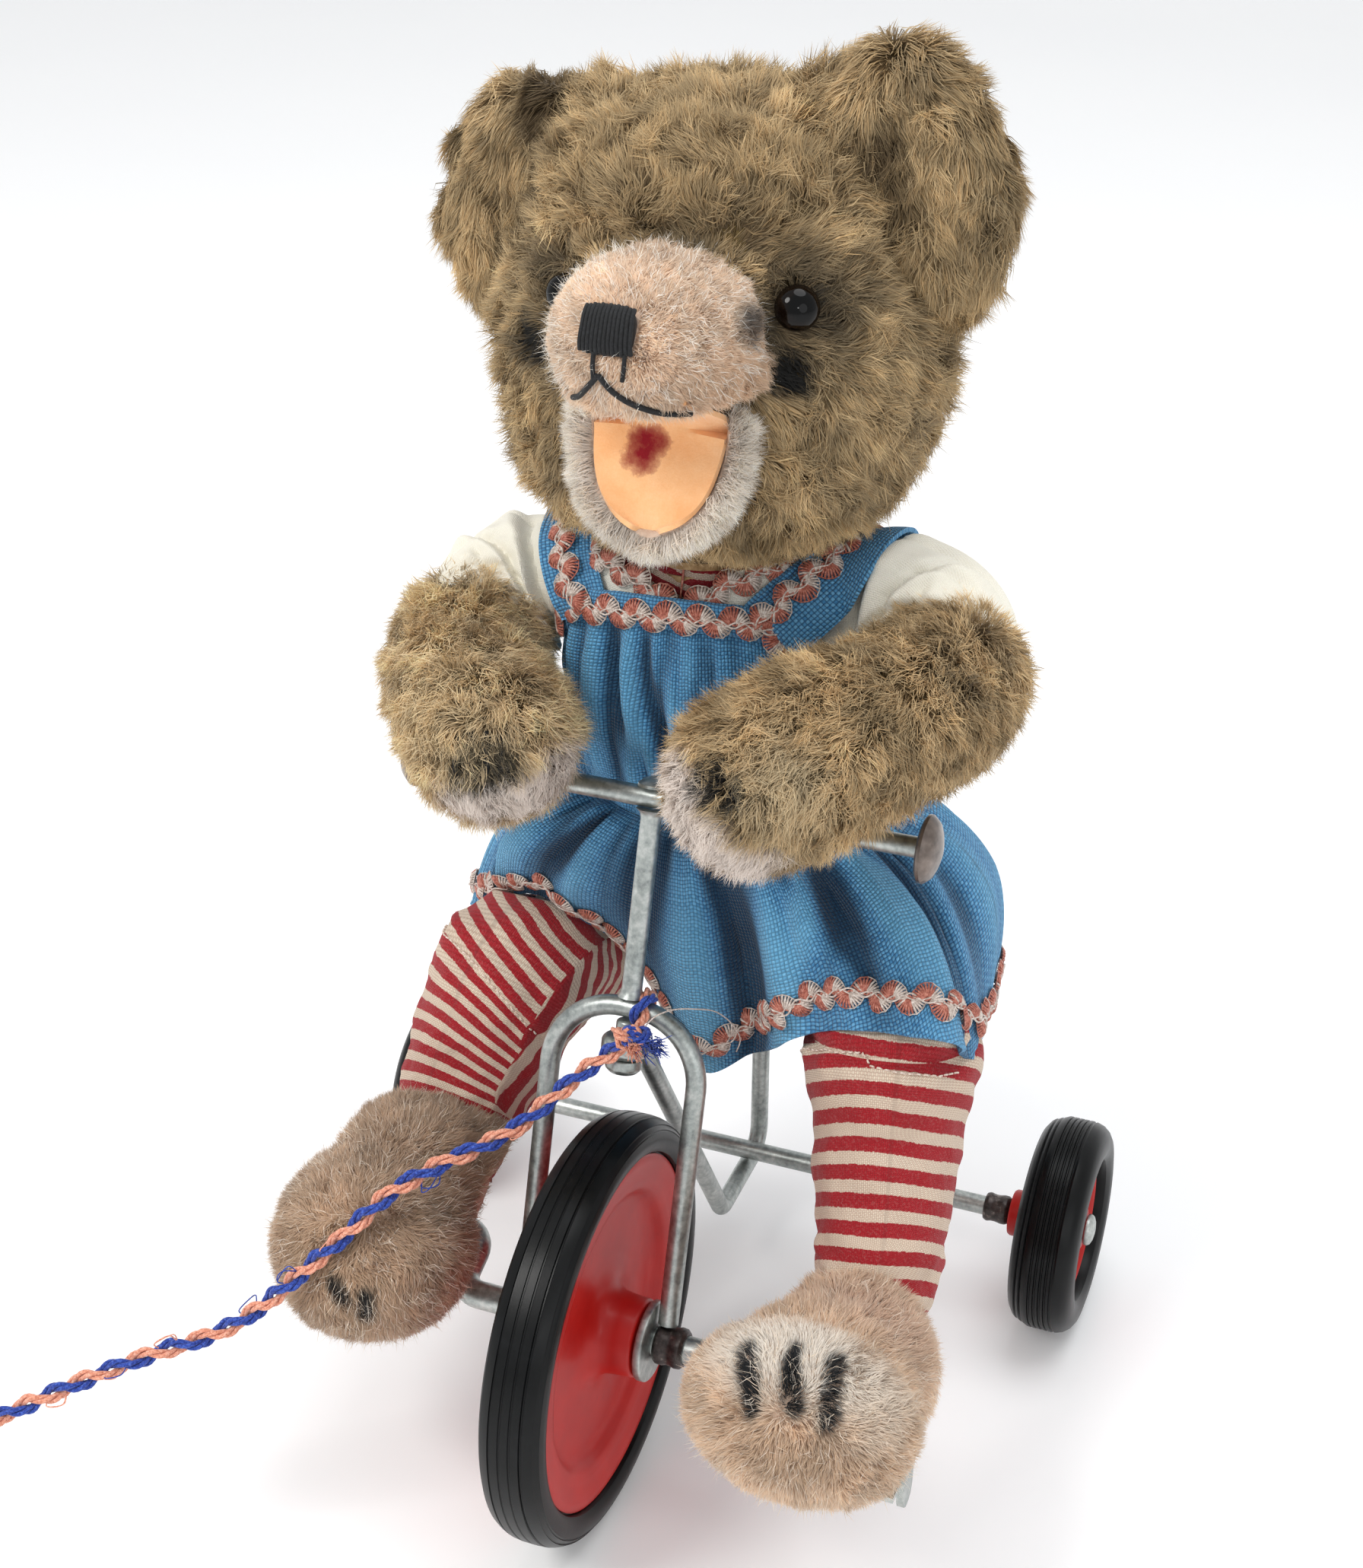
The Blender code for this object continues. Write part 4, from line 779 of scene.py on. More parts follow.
def waves(p, scale, seed, n=7):
    r = np.random.default_rng(seed)
    k = unit(r.normal(size=(n, 3))) * (2 * math.pi / scale) * r.uniform(0.6, 1.6, size=(n, 1))
    ph = r.uniform(0, 2 * math.pi, n)
    return np.sin(p @ k.T + ph).sum(1) / math.sqrt(n / 2)


def vnoise(p, scale, seed):
    return np.column_stack([waves(p, scale, seed + 31 * i) for i in range(3)])


FUR_SHARE = 1.0


def fur(name, v, faces, count, length, width, comb, colour, body, mat, seed=1, lift=0.5, tiplift=0.2, clump=0.5, cell=2.4, rough=0.3, curl=0.2, keep=None, nscale=7.0, gravity=0.0, spread=0.15):
    """Strands of pile as flat tapering ribbons rooted on a skin."""
    r = np.random.default_rng(seed)
    t = tris_of(faces)
    N = normals_of(v, t)
    area = np.linalg.norm(np.cross(v[t[:, 1]] - v[t[:, 0]], v[t[:, 2]] - v[t[:, 0]]), axis=1)
    if keep is not None:
        mid = v[t].mean(1)
        area = area * keep(mid, unit(N[t].mean(1)))
    count = int(count * FUR_SHARE)
    pick = np.searchsorted(np.cumsum(area) / area.sum(), r.random(count))
    pick = np.minimum(pick, len(t) - 1)
    a, b = r.random(count), r.random(count)
    sw = a + b > 1
    a[sw], b[sw] = 1 - a[sw], 1 - b[sw]
    w = np.column_stack([1 - a - b, a, b])[:, :, None]
    P = (v[t[pick]] * w).sum(1)
    n = unit((N[t[pick]] * w).sum(1))
    L = (length(P, n) if callable(length) else np.full(count, float(length))) * r.uniform(0.7, 1.15, count)
    c = comb(P, n)
    tg = unit(c - (c * n).sum(1)[:, None] * n)
    nz = vnoise(P, nscale, seed + 5) * rough + vnoise(P, nscale * 0.4, seed + 77) * rough * 0.5
    g0 = unit(n * lift + tg * (1 - lift) + nz * 0.6 + r.normal(size=(count, 3)) * spread)
    g1 = unit(n * tiplift + tg * (1 - tiplift) + nz + vnoise(P, nscale * 0.25, seed + 9) * curl + r.normal(size=(count, 3)) * spread * 1.4 + A((0, 0, -gravity)))
    # never below the skin
    low = (g1 * n).sum(1)
    g1 = unit(g1 + n * np.maximum(0.05 - low, 0)[:, None])
    mid = P + g0 * (L * 0.5)[:, None]
    tip = mid + g1 * (L * 0.5)[:, None]
    key = np.floor((P + vnoise(P, 5.0, seed + 3) * 0.8) / cell).astype(np.int64)
    key = key[:, 0] * 73856093 ^ key[:, 1] * 19349663 ^ key[:, 2] * 83492791
    _, inv = np.unique(key, return_inverse=True)
    inv = inv.ravel()
    num = np.bincount(inv)[:, None]

    def mean(q):
        return np.column_stack([np.bincount(inv, q[:, i]) for i in range(3)]) / num
    mr, mt, mm = mean(P), mean(tip), mean(mid)
    off = P - mr[inv]
    tip = tip + (mt[inv] + off * 0.25 - tip) * clump
    mid = mid + (mm[inv] + off * 0.7 - mid) * clump * 0.5
    ax = unit(tip - P)
    wd = unit(np.cross(ax, n) + 1e-6)
    nb = np.cross(wd, ax)
    nb = nb * np.sign((nb * n).sum(1))[:, None]
    phi = r.uniform(-1.0, 1.0, count)[:, None]
    wd = unit(wd * np.cos(phi) + nb * np.sin(phi))
    W = (width * r.uniform(0.7, 1.3, count))[:, None] / 2
    verts = np.stack([P - wd * W, P + wd * W, mid + wd * W * 0.8, mid - wd * W * 0.8, tip], axis=1).reshape(-1, 3)
    base = np.arange(count) * 5
    quads = np.column_stack([base, base + 1, base + 2, base + 3])
    tri = np.column_stack([base + 3, base + 2, base + 4])
    me = bpy.data.meshes.new(name)
    me.vertices.add(len(verts))
    me.vertices.foreach_set("co", to_world(verts).ravel())
    loops = np.hstack([quads, tri]).ravel()
    me.loops.add(len(loops))
    me.loops.foreach_set("vertex_index", loops)
    me.polygons.add(count * 2)
    st = np.column_stack([np.arange(count) * 7, np.arange(count) * 7 + 4]).ravel()
    me.polygons.foreach_set("loop_start", st)
    me.update(calc_edges=True)
    me.validate()
    rootc, tipc = colour(P, n, r, inv)
    midc = rootc * 0.4 + tipc * 0.6
    cols = np.stack([rootc, rootc, midc, midc, tipc], axis=1).reshape(-1, 3)
    cols = np.column_stack([np.clip(cols, 0, 1), np.ones(len(cols))])
    ca = me.color_attributes.new("fur", "FLOAT_COLOR", "POINT")
    ca.data.foreach_set("color", cols.ravel())
    me.polygons.foreach_set("use_smooth", np.ones(len(me.polygons), bool))
    # soft shading: normals lean to the skin's own
    flat = unit(np.cross(wd, ax))
    flat = flat * np.sign((flat * n).sum(1))[:, None]
    vn = unit(n * 0.65 + flat * 0.6)
    me.normals_split_custom_set_from_vertices(np.repeat(vn, 5, axis=0).astype(np.float32).tolist() if False else np.repeat(vn, 5, axis=0))
    ob = bpy.data.objects.new(name, me)
    sc.collection.objects.link(ob)
    me.materials.append(mat)
    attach(ob, body)
    return ob


def skin(name, v, faces, mat, body, nodes=(), tint=None):
    ob = build(name, v, faces, mat, body, nodes, sharp=0)
    col = np.ones((len(v), 4))
    if tint is not None:
        col[:, :3] = tint(v)
    ca = ob.data.color_attributes.new("tint", "FLOAT_COLOR", "POINT")
    ca.data.foreach_set("color", col.ravel())
    return ob


# =============================================================== pull cord
kc = A((3.4, 11.6, 104.0))
cord_ctrl = [kc + A((-1.2, -1.0, -1.4)), (-1.6, 9.6, 99.4), (-5.8, 7.6, 95.5), (-10.4, 4.0, 90.8), (-15.0, -1.0, 86.8), (-20.5, -6.5, 84.4), (-26.2, -12.0, 82.6), (-32.4, -18.0, 79.4), (-36.1, -22.0, 76.0), (-39.8, -25.5, 71.8),
             (-44.5, -29.0, 67.0), (-50.0, -32.0, 61.1), (-55.6, -34.5, 55.6), (-60.2, -37.0, 52.4), (-65.6, -40.5, 50.2), (-71.3, -44.0, 48.7), (-83.1, -53.0, 45.0), (-96.2, -61.0, 38.9), (-104.0, -65.6, 35.2)]
cord_line = even(spline(cord_ctrl, 20), 0.7)


def rope(line, pitch=11.5, off=0.98, sub=0.56, r=0.46, sides=7, yarns=3, twist=5.0):
    """Two bundles laid round a centreline, each of a few yarns laid the other way round. Gives verts, faces, material index, uv."""
    line = even(line, 0.7)
    fr = frames(line)
    L = [0.0]
    for i in range(1, len(fr)):
        L.append(L[-1] + float(np.linalg.norm(fr[i][0] - fr[i - 1][0])))
    parts, idx, uvs = [], [], []
    for b in range(2):
        for y in range(yarns):
            path = []
            for i, ((p, t, s, u), l) in enumerate(zip(fr, L)):
                th = 2 * math.pi * (b / 2 + l / pitch)
                o = math.cos(th) * s + math.sin(th) * u
                q = np.cross(t, o)
                be = 2 * math.pi * (y / yarns - l / twist)
                path.append(p + off * o + (sub + 0.06 * math.sin(l * 0.9 + y * 2 + b)) * (math.cos(be) * o + math.sin(be) * q))
            v, f, uv = tube(path, r, sides)
            parts.append((v, f))
            uvs.append(uv)
            idx += [b] * len(f)
    v, f = joined(parts)
    return v, f, idx, np.vstack(uvs)


v, f, idx, uv = rope(cord_line)
cord_ob = build("pull_cord_plies", v, f, [M["cordblue"], M["cordsalmon"]], "fork", ("pull_cord",), uv=uv, sharp=0, face_mat=idx)

# =============================================================== tricycle
def metal(name, v, f, mat, body, node, sharp=35, uv=None):
    return build(name, v, f, mat, body, (node,), uv=uv, sharp=sharp)


bb = fillet([(0, 22.6, 96.0), (0, 72.6, 18.3), (0, 98.0, 19.0), (0, 98.0, 83.6)], [4.0, 6.0], 10)
v, f, uv = tube(bb, WIRE_R, 24)
metal("backbone_wire", v, f, M["zinc"], "frame", "backbone")
v, f = lathe_mesh(rounded([(-2.0, 2.3), (-2.0, 4.0), (-1.2, 4.7), (1.2, 4.7), (2.0, 4.0), (2.0, 2.3)], 0.4), F(0, 0, 58.0), D, 40, ring=True)
metal("steering_eye_ring", v, f, M["zinc"], "frame", "steering_eye")
v, f = lathe_mesh([(-79.2, 0), (-79.2, AXLE_R), (79.2, AXLE_R), (79.2, 0)], (0, WB, REAR_R), X, 28)
metal("rear_axle_rod", v, f, M["zinc"], "frame", "rear_axle")
for s, n in ((1, "left"), (-1, "right")):
    c = (0, WB, REAR_R)
    prof = [(s * 56.8, AXLE_R), (s * 56.8, 2.9), (s * 57.6, 3.25), (s * 58.6, 3.0), (s * 59.6, 3.0), (s * 60.8, 3.25), (s * 61.8, 3.2), (s * 62.5, 2.7), (s * 62.5, AXLE_R)]
    v, f = lathe_mesh(rounded(prof, 0.3), c, X, 30)
    metal("axle_crimp_" + n, v, f, M["collar"], "frame", "axle_collar_" + n)
    v, f = lathe_mesh([(s * 79.5, 0), (s * 79.5, 3.2), (s * 79.8, 3.5), (s * 80.3, 3.5), (s * 80.9, 3.1), (s * 81.3, 2.2), (s * 81.5, 1.1), (s * 81.6, 0)], c, X, 32)
    metal("axle_nut_" + n, v, f, M["zinc"], "frame", "axle_cap_" + n)
v, f = lathe_mesh([(-0.75, 0), (-0.75, 14.7), (-0.45, 15.0), (0.45, 15.0), (0.75, 14.7), (0.75, 0)], (0, 92, 84.75), (0, 0, 1), 48)
metal("seat_disc", v, f, M["zinc"], "frame", "seat_plate")

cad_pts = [F(LEG_X, 0, 4.4), F(LEG_X, 0, CROWN), F(-LEG_X, 0, CROWN), F(-LEG_X, 0, 4.4)]
v, f, uv = tube(fillet(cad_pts, [13.6, 13.6], 16), WIRE_R, 24)
metal("fork_wire", v, f, M["zinc"], "fork", "fork")
for s, n in ((1, "left"), (-1, "right")):
    v, f = lathe_mesh(rounded([(s * 11.1, 2.95), (s * 11.1, 8.0), (s * 12.8, 8.0), (s * 12.8, 2.95)], 0.4), C0, X, 44, ring=True)
    metal("bearing_plate_" + n, v, f, M["zinc"], "fork", "fork_plate_" + n)
v, f = lathe_mesh([(CROWN + WIRE_R + 0.1, 0), (CROWN + WIRE_R + 0.1, 2.6), (CROWN + WIRE_R + 1.0, 2.2), (CROWN + WIRE_R + 1.8, WIRE_R), (BAR_W - WIRE_R - 1.8, WIRE_R), (BAR_W - WIRE_R - 0.9, 2.3), (BAR_W - WIRE_R - 0.2, 3.0), (BAR_W - WIRE_R - 0.2, 0)], C0, D, 28)
metal("column_rod", v, f, M["zinc"], "fork", "steering_column")
v, f = lathe_mesh(rounded([(52.6, 0), (52.6, 2.6), (53.6, 3.6), (55.6, 3.6), (55.6, 2.25), (62.8, 2.25), (63.2, 1.8), (63.2, 0)], 0.4), C0, D, 32)
metal("king_pin_rod", v, f, M["zinc"], "fork", "king_pin")
bar_c = F(0, 0, BAR_W)
v, f = lathe_mesh([(-BAR_RIGHT, 0), (-BAR_RIGHT, WIRE_R), (BAR_LEFT, WIRE_R), (BAR_LEFT, 0)], bar_c, X, 28)
metal("bar_rod", v, f, M["zinc"], "fork", "handlebar")
for s, n, e in ((1, "left", BAR_LEFT), (-1, "right", BAR_RIGHT)):
    prof = [(s * (e + 0.3), 0), (s * (e + 0.3), 5.9), (s * (e + 0.7), 6.4), (s * (e + 1.3), 6.4), (s * (e + 1.9), 5.95), (s * (e + 2.7), 5.2), (s * (e + 3.3), 3.8), (s * (e + 3.8), 2.0), (s * (e + 4.0), 0)]
    v, f = lathe_mesh(prof, bar_c, X, 48)
    metal("bar_end_" + n, v, f, M["cap"], "fork", "handlebar_cap_" + n)
v, f = lathe_mesh([(BAR_W + WIRE_R + 0.1, 0), (BAR_W + WIRE_R + 0.1, 3.2), (BAR_W + WIRE_R + 0.7, 3.1), (BAR_W + WIRE_R + 1.4, 2.3), (BAR_W + WIRE_R + 2.0, 1.1), (BAR_W + WIRE_R + 2.2, 0)], C0, D, 28)
metal("column_peen", v, f, M["zinc"], "fork", "column_rivet")

# front wheel
half = [(3.7, 32.0), (3.9, 33.6), (4.3, 35.6), (5.4, 35.9), (6.0, 36.6), (6.25, 37.7), (6.3, 38.8)]
for k in range(2):      # fine rings on the shoulder
    w0 = 39.9 + k * 0.95
    x0 = 6.05 - k * 0.62
    half += [(x0, w0), (x0 - 0.2, w0 + 0.14), (x0 - 0.26, w0 + 0.26), (x0 - 0.14, w0 + 0.42)]
half += [(4.3, 41.85), (3.4, 42.2), (3.25, 42.0), (3.0, 42.0), (2.85, 42.35), (1.3, 42.5), (1.15, 42.3), (0.9, 42.3), (0.75, 42.5), (0.0, 42.5)]
prof = half + [(-a, r) for a, r in half[-2::-1]]
v, f = lathe_mesh(prof, C0, X, 128, ring=True)
metal("front_tyre_rubber", v, f, M["rubber"], "front_wheel", "front_tyre", 30)
half = [(10.5, 2.9), (10.5, 7.2), (10.35, 7.6), (9.8, 7.8), (6.8, 7.95), (4.6, 8.25), (3.4, 8.9), (2.5, 10.0), (1.9, 11.6), (1.55, 13.8), (1.4, 17.0), (1.4, 22.6), (1.45, 24.6), (1.75, 26.0), (2.5, 27.0), (3.35, 27.6), (3.9, 28.5), (4.15, 30.0), (4.4, 32.0), (4.8, 33.4), (4.95, 34.8), (4.7, 35.35), (4.3, 35.35), (4.15, 34.8), (4.1, 31.7)]
prof = half + [(-a, r) for a, r in half[::-1]]
v, f = lathe_mesh(prof, C0, X, 96, ring=True)
metal("front_disc_enamel", v, f, M["red"], "front_wheel", "front_wheel_disc", 50)
cr = fillet([(-59.5, THROW_Y, FRONT_R + THROW_Z), (-29.5, THROW_Y, FRONT_R + THROW_Z), (-29.5, 0, FRONT_R), (31.5, 0, FRONT_R), (31.5, -THROW_Y, FRONT_R - THROW_Z), (66.5, -THROW_Y, FRONT_R - THROW_Z)], [4.6] * 4, 9)
v, f, uv = tube(cr, CRANK_R, 24)
metal("crank_rod", v, f, M["zinc"], "front_wheel", "crank")
for s, n in ((1, "left"), (-1, "right")):
    prof = [(s * 13.4, 2.85), (s * 13.4, 3.5), (s * 14.0, 4.0), (s * 15.2, 4.05), (s * 16.0, 3.75), (s * 17.0, 3.75), (s * 17.8, 4.05), (s * 18.8, 3.95), (s * 19.4, 3.4), (s * 19.4, 2.85)]
    v, f = lathe_mesh(prof, C0, X, 36)
    metal("crank_crimp_" + n, v, f, M["collar"], "front_wheel", "crank_collar_" + n)
# rear wheels
for s, n in ((1, "left"), (-1, "right")):
    c = (0, WB, REAR_R)
    body = "rear_wheel_" + n
    prof = [(62.9, 2.2), (62.9, 4.8), (63.4, 5.15), (66.0, 5.2), (70.5, 5.1), (71.8, 5.9), (72.4, 7.4), (72.6, 9.5), (72.7, 11.6), (71.6, 12.8), (70.4, 13.4), (70.0, 14.0), (70.0, 14.9), (78.3, 14.9), (78.5, 14.4), (78.1, 13.8), (76.4, 13.4), (75.0, 12.6), (74.3, 11.2), (74.1, 9.0), (74.3, 7.2), (75.2, 5.7), (77.6, 5.1), (78.7, 4.9), (79.1, 4.4), (79.1, 2.2)]
    v, f = lathe_mesh([(s * a, r) for a, r in prof], c, X, 72)
    metal("rear_disc_" + n, v, f, M["red"], body, "rear_wheel_" + n, 50)
    prof = [(69.2, 15.15), (68.0, 15.7), (67.3, 16.8), (67.0, 18.6), (67.3, 20.6), (68.2, 21.9)]
    for k in range(2):
        prof += [(68.8 + k * 1.1, 22.35 + k * 0.45), (69.15 + k * 1.1, 22.1 + k * 0.45), (69.45 + k * 1.1, 22.55 + k * 0.45)]
    for k in range(5):
        x0 = 71.6 + k * 1.15
        prof += [(x0, 23.5), (x0 + 0.55, 23.5), (x0 + 0.7, 23.15), (x0 + 0.95, 23.15)]
    prof += [(77.6, 23.4), (79.0, 22.95), (80.2, 22.0), (81.0, 20.7), (81.4, 18.6), (81.1, 16.8), (80.4, 15.7), (79.2, 15.15)]
    v, f = lathe_mesh([(s * a, r) for a, r in prof], c, X, 96, ring=True)
    metal("rear_rubber_" + n, v, f, M["rubber"], body, "rear_tyre_" + n, 30)
for n in ("pedal_left", "pedal_right", "seat_screw", "neck_pin"):
    ob = frame["nodes"][n] if isinstance(frame["nodes"], dict) and n in frame["nodes"] else bpy.data.objects.get(n)
    if hasattr(ob, "data"):
        for i in range(len(ob.material_slots)):
            ob.material_slots[i].material = M["zinc"]
for n in ("neck_disc_lower", "neck_disc_upper"):
    ob = bpy.data.objects.get(n)
    if ob is not None:
        for i in range(len(ob.material_slots)):
            ob.material_slots[i].material = M["fibre"]

# =============================================================== colours of the pile
TIP, ROOT = A(srgb("#CDB48A")), A(srgb("#67543A"))
PTIP, PROOT = A(srgb("#F3DFC9")), A(srgb("#D8B595"))
FTIP, FROOT = A(srgb("#ECD6BE")), A(srgb("#CFAF92"))


def pile(tip, root, spots=(), vary=0.24, seed=3, big=16.0, patches=0.26):
    """Colour of a strand from its root's place. spots are (centre, radii, strength, colour)."""
    def col(P, n, r, inv):
        k = 1 + patches * 0.5 * waves(P, big, seed) + patches * 0.45 * waves(P, 6.0, seed + 2)
        cl = r.uniform(1 - vary, 1 + vary, inv.max() + 1)[inv]
        ind = r.uniform(1 - vary * 0.8, 1 + vary * 0.8, len(P))
        k = (k * cl * ind)[:, None]
        rc, tc = root[None] * k, tip[None] * k
        warm = (r.random(len(P)) < 0.25)[:, None]
        tc = np.where(warm, tc * A((1.06, 0.97, 0.86)), tc)
        for c, rad, s, cc in spots:
            d = np.linalg.norm((P - A(c)) / A(rad), axis=1)
            m = np.clip(s * np.clip(1.45 - d, 0, 1) * (0.75 + 0.5 * r.random(len(P))), 0, 1)[:, None]
            tc = tc * (1 - m) + A(cc)[None] * m
            rc = rc * (1 - m) + A(cc)[None] * 0.7 * m
        return rc, tc
    return col

# =============================================================== head
HC, HR = A((2.6, 62.0, 226.0)), (38.9, 39.0, 41.5)
BLACK = srgb("#14130F")
CREASE_SHADE = srgb("#2A251C")
# dark fur in the eye sockets and in the creases round the muzzle: painted shade
FACE_SPOTS = [((23.9, 27.6, 231.6), (4.0, 6, 3.5), 1.6, BLACK), ((26.0, 31.5, 241.8), (6.8, 7, 6.4), 0.9, srgb("#2B2419")), ((30.5, 33.0, 237.0), (4.0, 6, 4.0), 0.5, CREASE_SHADE), ((7.6, 22.5, 251.6), (9.0, 8, 4.6), 1.25, CREASE_SHADE), ((27.0, 31.0, 247.5), (5.5, 6, 3.0), 0.6, CREASE_SHADE), ((30.8, 34.0, 241.5), (3.6, 6, 5.0), 0.55, CREASE_SHADE), ((20.5, 25.0, 238.0), (3.0, 6, 6.0), 0.8, CREASE_SHADE),
              ((15.0, 26.5, 256.0), (5.5, 7, 3.4), 0.6, CREASE_SHADE), ((-19.5, 29.5, 231.0), (4.6, 7, 4.2), 1.2, BLACK), ((-17.0, 30.0, 242.0), (5.0, 6, 5.0), 0.7, CREASE_SHADE)]
head_v, head_f = remeshed([ellip(HC, HR, 48, 32), ellip((3.2, 56.0, 213.0), (35.4, 33.0, 23.6)), ellip((4.0, 34.0, 236.0), (17.0, 14.0, 15.0)), ellip((2.0, 60.0, 252.0), (30.0, 30.0, 17.0)), ellip((26.0, 61.0, 261.0), (13.5, 9.5, 13.0)), ellip((-21.0, 61.0, 255.5), (15.0, 9.5, 12.5))], 1.6, 8)
low = head_v[:, 2] < 190.4
head_v[low, 2] = 190.4 + (head_v[low, 2] - 190.4) * 0.05


EAR_SHADE = [(c_, (4.2, 8.0, 5.2), 0.9, srgb("#54432A")) for c_ in ((32.4, 52.0, 265.6), (34.4, 48.0, 260.7), (36.6, 45.0, 254.5), (38.8, 44.0, 249.0), (-28.6, 55.0, 267.0), (-26.8, 50.0, 260.9), (-25.4, 46.0, 252.4), (-30.4, 46.5, 247.0))]


# the backing darkens under the same spots, painted shade that shows between the strands
def tint_face(v):
    out = np.ones((len(v), 3))
    for c, rad, s, cc in FACE_SPOTS:
        d = np.linalg.norm((v - A(c)) / A(rad), axis=1)
        m = np.clip(s * np.clip(1.35 - d, 0, 1), 0, 1)[:, None]
        out = out * (1 - m) + A((0.16, 0.14, 0.12)) * m
    return out


skin("head_backing", head_v, head_f, M["skin"], "head", ("head_shell",), tint_face)
JAW_X = 5.6


def comb_head(P, n):
    d = P - A((4.0, 24.0, 232.0))
    c = unit(d)
    down = np.clip((244 - P[:, 2]) / 24, 0, 1)
    c[:, 2] -= 0.75 * down * np.clip((P[:, 2] - 189) / 16, 0.15, 1)
    up = np.clip((P[:, 2] - 246) / 16, 0, 1)
    c += A((-0.75, 0.1, -0.15))[None] * (up * np.clip(0.6 + 0.5 * waves(P, 34.0, 7), 0, 1.3))[:, None]
    return c


def keep_head(P, n):
    d = np.linalg.norm((P - A((4.0, 20.0, 232.5))) / A((16.6, 16.0, 15.6)), axis=1)
    k = np.clip((d - 0.98) * 8, 0, 1)
    j = np.linalg.norm((P - A((JAW_X, 21.0, 214.0))) / A((12.4, 12.0, 11.6)), axis=1)
    k *= np.clip((j - 0.98) * 8, 0, 1)
    e = np.linalg.norm(P - A((25.6, 31.0, 241.3)), axis=1)
    k *= np.clip((e - 3.4) * 2, 0, 1)
    k *= (P[:, 2] > 191.2)
    return k


def len_head(P, n):
    d = np.linalg.norm(P - A((4.0, 20.0, 234.0)), axis=1)
    L = 3.8 + 4.2 * np.clip((d - 17) / 16, 0, 1)
    e = np.linalg.norm(P - A((25.6, 31.0, 241.3)), axis=1)
    return L * np.clip(0.45 + e / 14.0, 0.45, 1.0) * np.clip(0.42 + (P[:, 2] - 190) / 20.0, 0.42, 1.0)


HEAD_PARTS = [("front", 62000, 0.21, lambda P: P[:, 1] < 44.0), ("sides", 62000, 0.22, lambda P: (P[:, 1] >= 44.0) & (P[:, 1] < 70.0)), ("back", 46000, 0.27, lambda P: P[:, 1] >= 70.0)]
for k, (nm, cnt, wd_, part) in enumerate(HEAD_PARTS):
    fur("head_plush_" + nm, head_v, head_f, cnt, len_head, wd_, comb_head, pile(TIP, ROOT, FACE_SPOTS + EAR_SHADE + [((4.0, 36.0, 262.0), (26.0, 22.0, 13.0), 0.2, srgb("#9C8259"))], 0.27, 3), "head", M["fur"], seed=11 + k,
        lift=0.46, tiplift=0.1, clump=0.46, cell=1.1, rough=0.4, curl=0.5, gravity=0.12, nscale=11.0, spread=0.17, keep=(lambda P, n, q=part: keep_head(P, n) * q(P)))

EAR = {"left": ((38.6, 60.5, 258.4), (13.4, 8.0, 22.4), math.radians(-21), 0.0), "right": ((-37.4, 60.5, 248.6), (12.8, 8.0, 19.4), math.radians(13), 0.0)}
for n, (c, r, lean, _) in EAR.items():
    turn = [[math.cos(lean), 0, math.sin(lean)], [0, 1, 0], [-math.sin(lean), 0, math.cos(lean)]]
    s = 1 if n == "left" else -1
    root_c = HC + unit(A(c) - HC) * 34
    ev, ef = remeshed([ellip(c, r, 40, 26, turn), ellip(root_c * 0.5 + A(c) * 0.5 + A((-3.0 * s, 0, 8.0)), (13.0, 8.5, 14.0), 24, 16, turn)], 1.3, 6)
    q = (ev - A(c))
    ev[:, 1] -= 0.0042 * (q[:, 0] ** 2 + q[:, 2] ** 2)
    skin("ear_backing_" + n, ev, ef, M["skin"], "head", ("ear_" + n,))

    def comb_ear(P, nn, s=s, c=c):
        o = np.zeros_like(P)
        o[:, 2] = -1.0
        o[:, 0] = 0.22 * s
        o += unit(P - A(c)) * 0.35
        return o

    def keep_ear(P, nn, s=s):
        d = np.linalg.norm((P - HC) / (A(HR) - 1.5), axis=1)
        return (d > 1.0).astype(float)

    def len_ear(P, nn, c=c):
        return 7.2 + 2.2 * np.clip((A(c)[2] - P[:, 2]) / 16, 0, 1)
    fur("ear_plush_" + n, ev, ef, 44000, len_ear, 0.22, comb_ear, pile(TIP * 0.98, ROOT * 0.9, EAR_SHADE, 0.22, 5), "head", M["fur"], seed=31 + s, lift=0.38, tiplift=0.06, clump=0.48, cell=1.3, rough=0.38, curl=0.48, gravity=0.3, keep=keep_ear, nscale=11.0, spread=0.13)

# muzzle
muz_v, muz_f = remeshed([ellip((4.3, 22.5, 237.0), (16.8, 19.0, 13.6), 44, 28), ellip((4.5, 28.0, 231.5), (17.0, 14.0, 11.5))], 1.0, 8)
k = muz_v[:, 2] < 229.0
muz_v[k, 2] = 229.0 + (muz_v[k, 2] - 229.0) * 0.15
NOSE_P, NOSE_N = A((3.3, 5.2, 242.6)), unit(A((0.0, -0.93, 0.37)))


# the backing darkens at the crease between muzzle and eye: painted shade
def tint_muz(v):
    m = np.clip(1.5 - np.linalg.norm((v - A((20.4, 22.5, 240.3))) / A((3.6, 5.0, 3.0)), axis=1), 0, 1)[:, None] * 0.8
    return 1 - m * 0.7


skin("muzzle_backing", muz_v, muz_f, M["skinpale"], "head", ("muzzle",), tint_muz)


def comb_muz(P, n):
    return unit(P - A((3.5, 2.0, 243.0))) + A((0, 0.3, -0.35))


def keep_muz(P, n):
    k = (P[:, 2] > 229.2) * (P[:, 1] < 36)
    q = P - NOSE_P
    inside = (np.abs(q[:, 0]) < 4.3) & (np.abs(q @ np.cross(NOSE_N, (1.0, 0, 0))) < 3.5) & (q @ NOSE_N > -4.0)
    return k * (~inside)


def len_muz(P, n):
    d = np.linalg.norm(P - A((4.0, 3.0, 240.0)), axis=1)
    rim = np.clip((P[:, 1] - 24) / 8, 0, 1)
    lip = np.clip((233.5 - P[:, 2]) / 4, 0, 1) * (P[:, 1] < 26)
    return 1.7 + 1.6 * rim + 1.5 * lip
